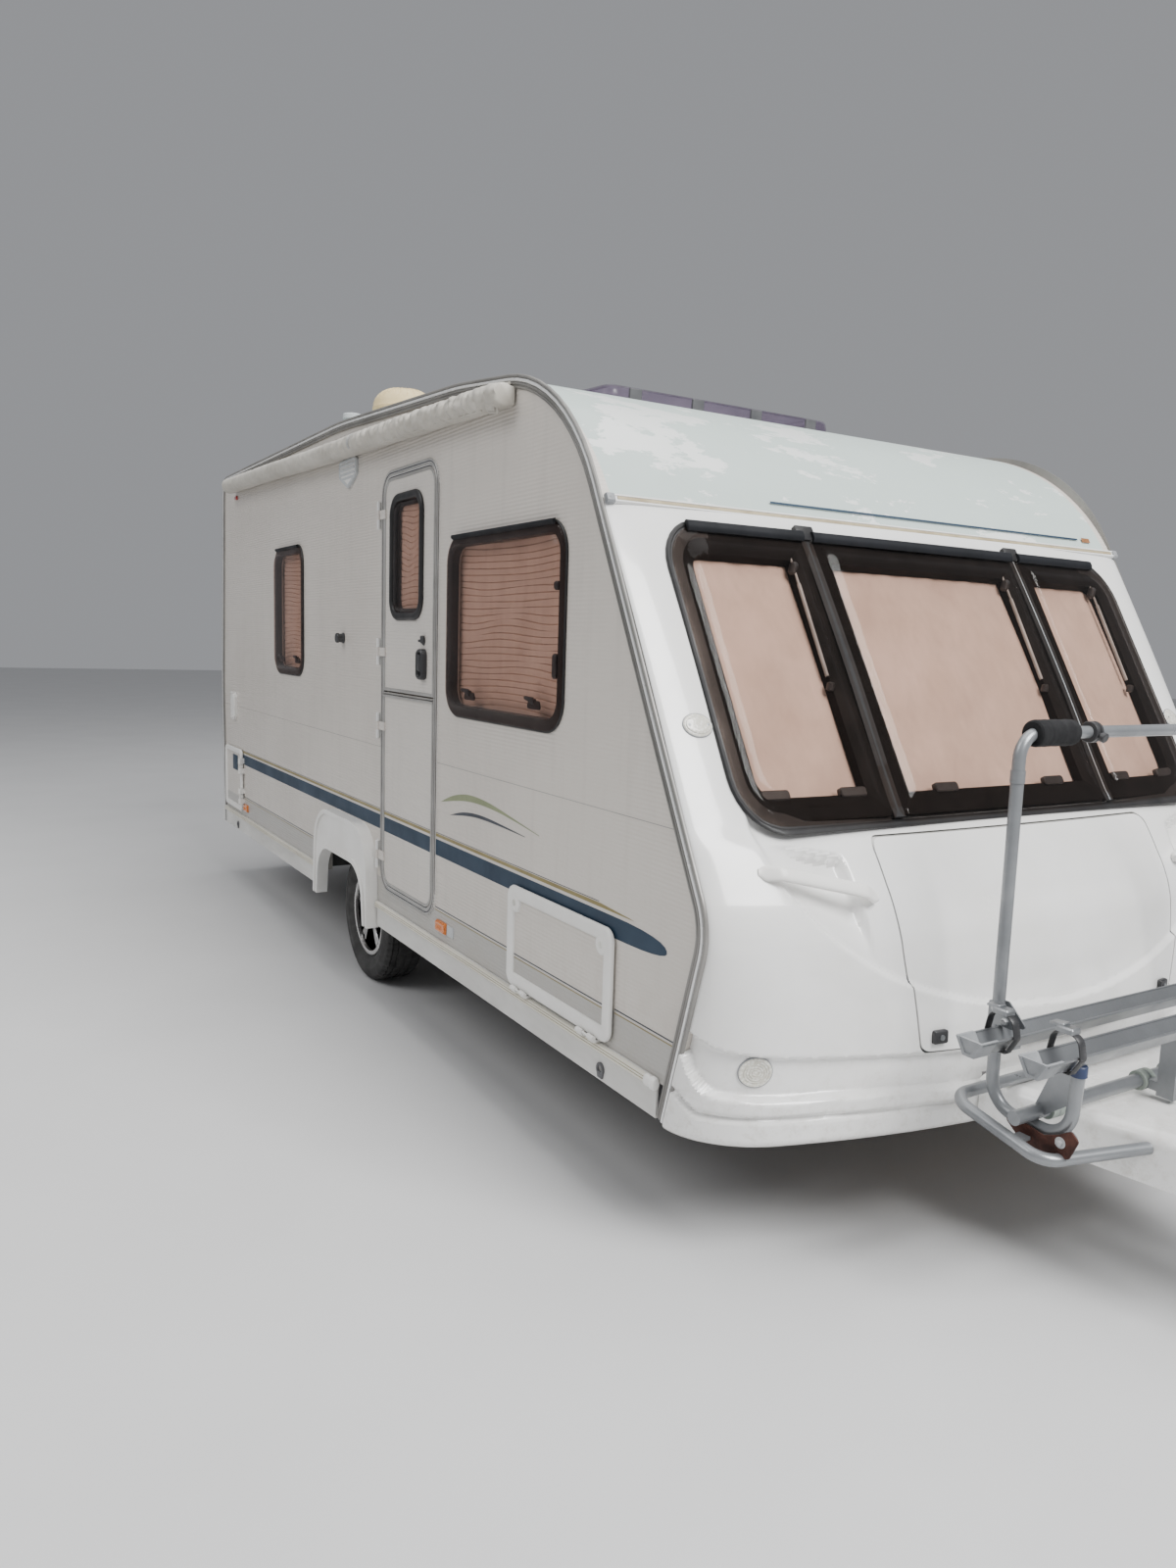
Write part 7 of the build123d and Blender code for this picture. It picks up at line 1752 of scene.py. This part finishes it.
def make_wheels():
    """Tyres and rim faces on both sides."""
    bead = rim_radius + 0.0003
    section = [(-0.068, bead), (-0.068, bead + 0.012), (-0.0865, bead + 0.030), (-0.0900, bead + 0.040),
               (-0.0908, bead + 0.041), (-0.0912, bead + 0.044), (-0.0925, bead + 0.055), (-0.0920, bead + 0.068),
               (-0.0928, bead + 0.070), (-0.0905, bead + 0.080), (-0.0880, bead + 0.092),
               (-0.0825, wheel_radius - 0.014), (-0.0760, wheel_radius - 0.0075), (-0.0645, wheel_radius - 0.0006)]
    tread = []
    for low, high in ((-0.0590, -0.0400), (-0.0330, -0.0080), (0.0080, 0.0330), (0.0400, 0.0590)):
        tread += [(low, wheel_radius - 0.0065), (low + 0.0005, wheel_radius), (high - 0.0005, wheel_radius),
                  (high, wheel_radius - 0.0065)]
    section += tread + [(-a, r) for a, r in reversed(section)]
    for side, side_name in ((-1, "door_side"), (1, "far_side")):
        centre = Vector((side * tyre_x, wheel_centre.y, wheel_radius))
        tyre, rim, lip, nuts = shapes(4)
        rings = []
        for k, turn in enumerate(turns_of(216)):
            sipe = 0.0055 if k % 4 == 0 else 0.0
            ring = []
            for a, r in section:
                cut = sipe * (wheel_radius - 0.013 < r) * (0.030 < abs(a) < 0.085)
                cut += 0.004 * (wheel_radius - 0.001 < r) * (abs(a) < 0.035) * (k % 6 == 3)
                ring.append(centre + Vector((a, (r - cut) * math.cos(turn), (r - cut) * math.sin(turn))))
            rings.append(ring)
        tyre.skin(rings, closed=True)
        out = (side, 0, 0)
        lip.turned([(0.060, rim_radius - 0.0095), (0.0745, rim_radius - 0.0095), (0.0762, rim_radius - 0.004),
                    (0.0762, rim_radius + 0.0060), (0.0745, rim_radius + 0.0088), (0.069, rim_radius + 0.0075),
                    (0.068, rim_radius - 0.001), (0.060, rim_radius - 0.001)], centre, out, 72)
        for k in range(5):
            turn = math.radians(90 + 72 * k)
            radial, around = Vector((0, math.cos(turn), math.sin(turn))), Vector((0, -math.sin(turn), math.cos(turn)))
            rows = []
            for share in np.linspace(0, 1, 14):
                r = 0.034 + share * (rim_radius - 0.044)
                wide = 0.034 - 0.017 * math.sin(math.pi * min(share * 1.15, 1)) - 0.004 * share
                proud = 0.0545 + 0.0075 * math.sin(math.pi * share) + 0.004 * share
                rows.append([centre + Vector(out) * h + radial * r + around * w for w, h in (
                    (-wide, 0.041), (-wide, proud - 0.004), (-wide * 0.78, proud), (-wide * 0.22, proud),
                    (0, proud - 0.0022), (wide * 0.22, proud), (wide * 0.78, proud), (wide, proud - 0.004),
                    (wide, 0.041))])
            rim.skin(rows)
            turn += math.radians(36)
            place = centre + Vector(out) * 0.0535 + Vector((0, math.cos(turn), math.sin(turn))) * 0.050
            nuts.turned([(0.0, 0.0115), (0.0015, 0.0115), (0.0018, 0.0092), (0.0090, 0.0092), (0.0115, 0.006)],
                        place, out, 6)
        rim.turned([(0.040, 0.066), (0.0525, 0.066), (0.0560, 0.062), (0.0560, 0.040), (0.0600, 0.034),
                    (0.0625, 0.031), (0.0660, 0.026), (0.0680, 0.012)], centre, out, 48)
        body = f"{side_name}_wheel"
        tyre.finish(f"{side_name}_tyre_tread", "tyre", body, smooth=30, replaces=[f"{side_name}_tyre"])
        rim.finish(f"{side_name}_rim_spokes", "rim", body)
        lip.finish(f"{side_name}_rim_lip", "bright_rim", body)
        nuts.finish(f"{side_name}_wheel_nuts", "steel", body)


# Roof: the rooflight's lid with its clips, the vent dome and the flue

roof_origin = Vector((0, -0.095, 2.3836))
roof_slope = math.radians(3.164)
roof_along = Vector((0, math.cos(roof_slope), math.sin(roof_slope)))
roof_out = Vector((0, -math.sin(roof_slope), math.cos(roof_slope)))
vent_place = Vector((-0.860, 0.690, 2.427))
flue_place = Vector((-0.880, 1.310, 2.427))


def on_roof(a, b, height):
    """Point on the rooflight's plane: across, along and out from the roof."""
    return roof_origin + Vector((a, 0, 0)) + roof_along * b + roof_out * height


def make_roof():
    """Domed rooflight lid, the clips that hold it, and the vent and flue."""
    lid, clips, gasket, vent, flue = shapes(5)
    outline = rounded_box(-0.540, 0.540, -0.350, 0.350, 0.050)
    lid.band(outline, [(0.0, 0.0443), (-0.0005, 0.0470), (0.0, 0.0560), (0.006, 0.0780), (0.014, 0.0860),
                       (0.030, 0.0905), (0.062, 0.0930), (0.062, 0.0890), (0.032, 0.0865), (0.018, 0.0820),
                       (0.011, 0.0760), (0.005, 0.0545), (0.005, 0.0443)], on_roof)
    lid.slab(outline, [(0.0615, 0.0892), (0.0615, 0.0929), (0.10, 0.0940)], on_roof)
    for x0 in (-0.380, 0.260):
        lid.turned([(0.041, 0.0055), (0.042, 0.0062), (0.078, 0.0062), (0.079, 0.0055)],
                   on_roof(x0, 0.362, 0.046), (1, 0, 0), 16)
    gasket.band(outline, [(0.002, 0.040), (0.002, 0.0441), (0.014, 0.0441), (0.014, 0.040)], on_roof)
    for x in (-0.42, -0.14, 0.14, 0.42):
        for y, away in ((-0.350, -1), (0.318, 1)):
            if away > 0 and abs(x) > 0.2:
                continue
            out = y - 0.010 if away < 0 else y + 0.028
            clips.slab(rounded_box(x - 0.026, x + 0.026, out, out + 0.012, 0.003, 3),
                       [(0, 0.044), (0, 0.078), (0.003, 0.081)], on_roof)
    vent.turned([(0.050, 0.090), (0.058, 0.130), (0.060, 0.1340), (0.070, 0.1340), (0.074, 0.1310),
                 (0.090, 0.1300), (0.105, 0.1240), (0.120, 0.1130), (0.134, 0.0970), (0.145, 0.0760),
                 (0.151, 0.0500), (0.153, 0.0200)], vent_place, (0, 0, 1), 64)
    vent.turned([(-0.020, 0.1150), (0.0, 0.1150), (0.004, 0.1100), (0.008, 0.0970), (0.052, 0.0950)],
                vent_place, (0, 0, 1), 48)
    for turn in turns_of(24):
        toward = Vector((math.cos(turn), math.sin(turn), 0))
        across = Vector((-math.sin(turn), math.cos(turn), 0))
        vent.skin([[vent_place + toward * r + across * w + Vector((0, 0, h + lift))
                    for w, h in rib_of(0.0016, 0, 0.0022)]
                   for r, lift in ((0.1305, 0.076), (0.1235, 0.105), (0.1125, 0.120), (0.0965, 0.134),
                                   (0.0755, 0.145), (0.0500, 0.1505))])
    flue.turned([(-0.020, 0.045), (0.002, 0.045), (0.006, 0.040), (0.010, 0.032), (0.124, 0.032), (0.126, 0.046),
                 (0.144, 0.046), (0.149, 0.042), (0.151, 0.020)], flue_place, (0, 0, 1), 40)
    for level in [0.024 + 0.012 * k for k in range(8)]:
        flue.turned([(level + a, r) for a, r in ((-0.0025, 0.0315), (-0.0020, 0.0355), (0.0020, 0.0355),
                                                 (0.0025, 0.0315))], flue_place, (0, 0, 1), 32)
    lid.finish("rooflight_dome", "dome", "rooflight_lid", replaces=["rooflight_lid"])
    gasket.finish("rooflight_gasket", "dark_grey")
    clips.finish("rooflight_clips", "dark_grey", "rooflight_lid")
    vent.finish("roof_vent_dome", "vent", replaces=["roof_vents"])
    flue.finish("roof_flue", "light_grey")


# Rear lamps, as lenses in their housings

rear_face_y = 3.160


def on_rear(a, b, height):
    """Point on the rear: across, up and out from its face."""
    return a, rear_face_y + height, b


def make_rear_lamps():
    """Housings with a red, an amber and a clear lens on each rear corner."""
    housing, red, amber, clear = shapes(4)
    for side in (-1, 1):
        x = side * 0.985
        housing.slab(rounded_box(x - 0.055, x + 0.055, 0.490, 0.790, 0.030),
                     [(0, -0.060), (0, -0.010), (0.003, -0.007)], on_rear)
        for shape, low, high in ((red, 0.690, 0.782), (amber, 0.596, 0.682), (clear, 0.498, 0.588)):
            shape.slab(rounded_box(x - 0.047, x + 0.047, low, high, 0.020, 6),
                       [(0, -0.010), (0, -0.004), (0.003, -0.001), (0.008, 0.0)], on_rear)
            for k in range(5):
                level = low + 0.018 + (high - low - 0.036) * k / 4
                shape.skin([[on_rear(x + w, level + s, h) for s, h in rib_of(0.0025, -0.001, 0.0016)]
                            for w in (-0.036, 0.036)])
    housing.finish("rear_lamp_housings", "white", replaces=["rear_lamps"])
    red.finish("rear_stop_lenses", "red")
    amber.finish("rear_turn_lenses", "amber")
    clear.finish("rear_reverse_lenses", "clear")


make_awning_bag()
make_lamps()
make_handles()
make_carrier()
make_wheels()
make_roof()
make_rear_lamps()


# Camera, light and floor, placed as the photograph was taken
camera_place = Vector((-2.605, -3.826, 1.533))
camera_yaw = math.radians(31.11)
camera_pitch = math.radians(7.53)
camera_roll = math.radians(-1.77)
image_height = 1600
focal_pixels = 1092.7
sensor = 36.0


def add_camera():
    """Camera with its view direction from yaw, pitch and roll."""
    ahead = Vector((math.sin(camera_yaw) * math.cos(camera_pitch), math.cos(camera_yaw) * math.cos(camera_pitch),
                    -math.sin(camera_pitch)))
    right = Vector((math.cos(camera_yaw), -math.sin(camera_yaw), 0))
    down = ahead.cross(right)
    turned_right = math.cos(camera_roll) * right + math.sin(camera_roll) * down
    turned_down = -math.sin(camera_roll) * right + math.cos(camera_roll) * down
    data = bpy.data.cameras.new("camera")
    data.sensor_width = sensor
    data.lens = focal_pixels / image_height * sensor
    camera = bpy.data.objects.new("camera", data)
    scene.collection.objects.link(camera)
    columns = Matrix((turned_right, -turned_down, -ahead)).transposed()
    camera.matrix_world = Matrix.Translation(camera_place) @ columns.to_4x4()
    scene.camera = camera


def add_light(name, place, aim, size, power):
    """Square soft light aimed at a point."""
    data = bpy.data.lights.new(name, "AREA")
    data.size = size
    data.energy = power
    light = bpy.data.objects.new(name, data)
    scene.collection.objects.link(light)
    light.location = place
    light.rotation_euler = (Vector(aim) - Vector(place)).to_track_quat("-Z", "Y").to_euler()


def add_floor():
    """Plain pale floor under everything."""
    paint = Paint("pale_floor")
    clouds = paint.noise(paint.place(), 1.5)
    mesh = bpy.data.meshes.new("floor")
    reach = 40
    mesh.from_pydata([(-reach, -reach, 0), (reach, -reach, 0), (reach, reach, 0), (-reach, reach, 0)], [],
                     [(0, 1, 2, 3)])
    mesh.materials.append(paint.fill({
        "Base Color": paint.ramp(clouds, 0.3, (0.60, 0.60, 0.60), 0.7, (0.63, 0.63, 0.63)), "Roughness": 0.7}))
    floor = bpy.data.objects.new("floor", mesh)
    scene.collection.objects.link(floor)


def add_world():
    """Even sky light of a faintly blue white."""
    world = bpy.data.worlds.new("soft_sky")
    scene.world = world
    world.use_nodes = True
    sky = world.node_tree.nodes["Background"]
    sky.inputs["Color"].default_value = (0.93, 0.95, 1.0, 1)
    sky.inputs["Strength"].default_value = 0.34


add_camera()
add_floor()
add_world()
add_light("front_light", (0.6, -8, 8), (0, 0, 1.2), 5, 1500)
add_light("door_side_light", (-8, 1.0, 8), (0, 0.5, 1.2), 5, 360)
add_light("top_light", (0, 0, 10), (0, 0, 0), 9, 600)
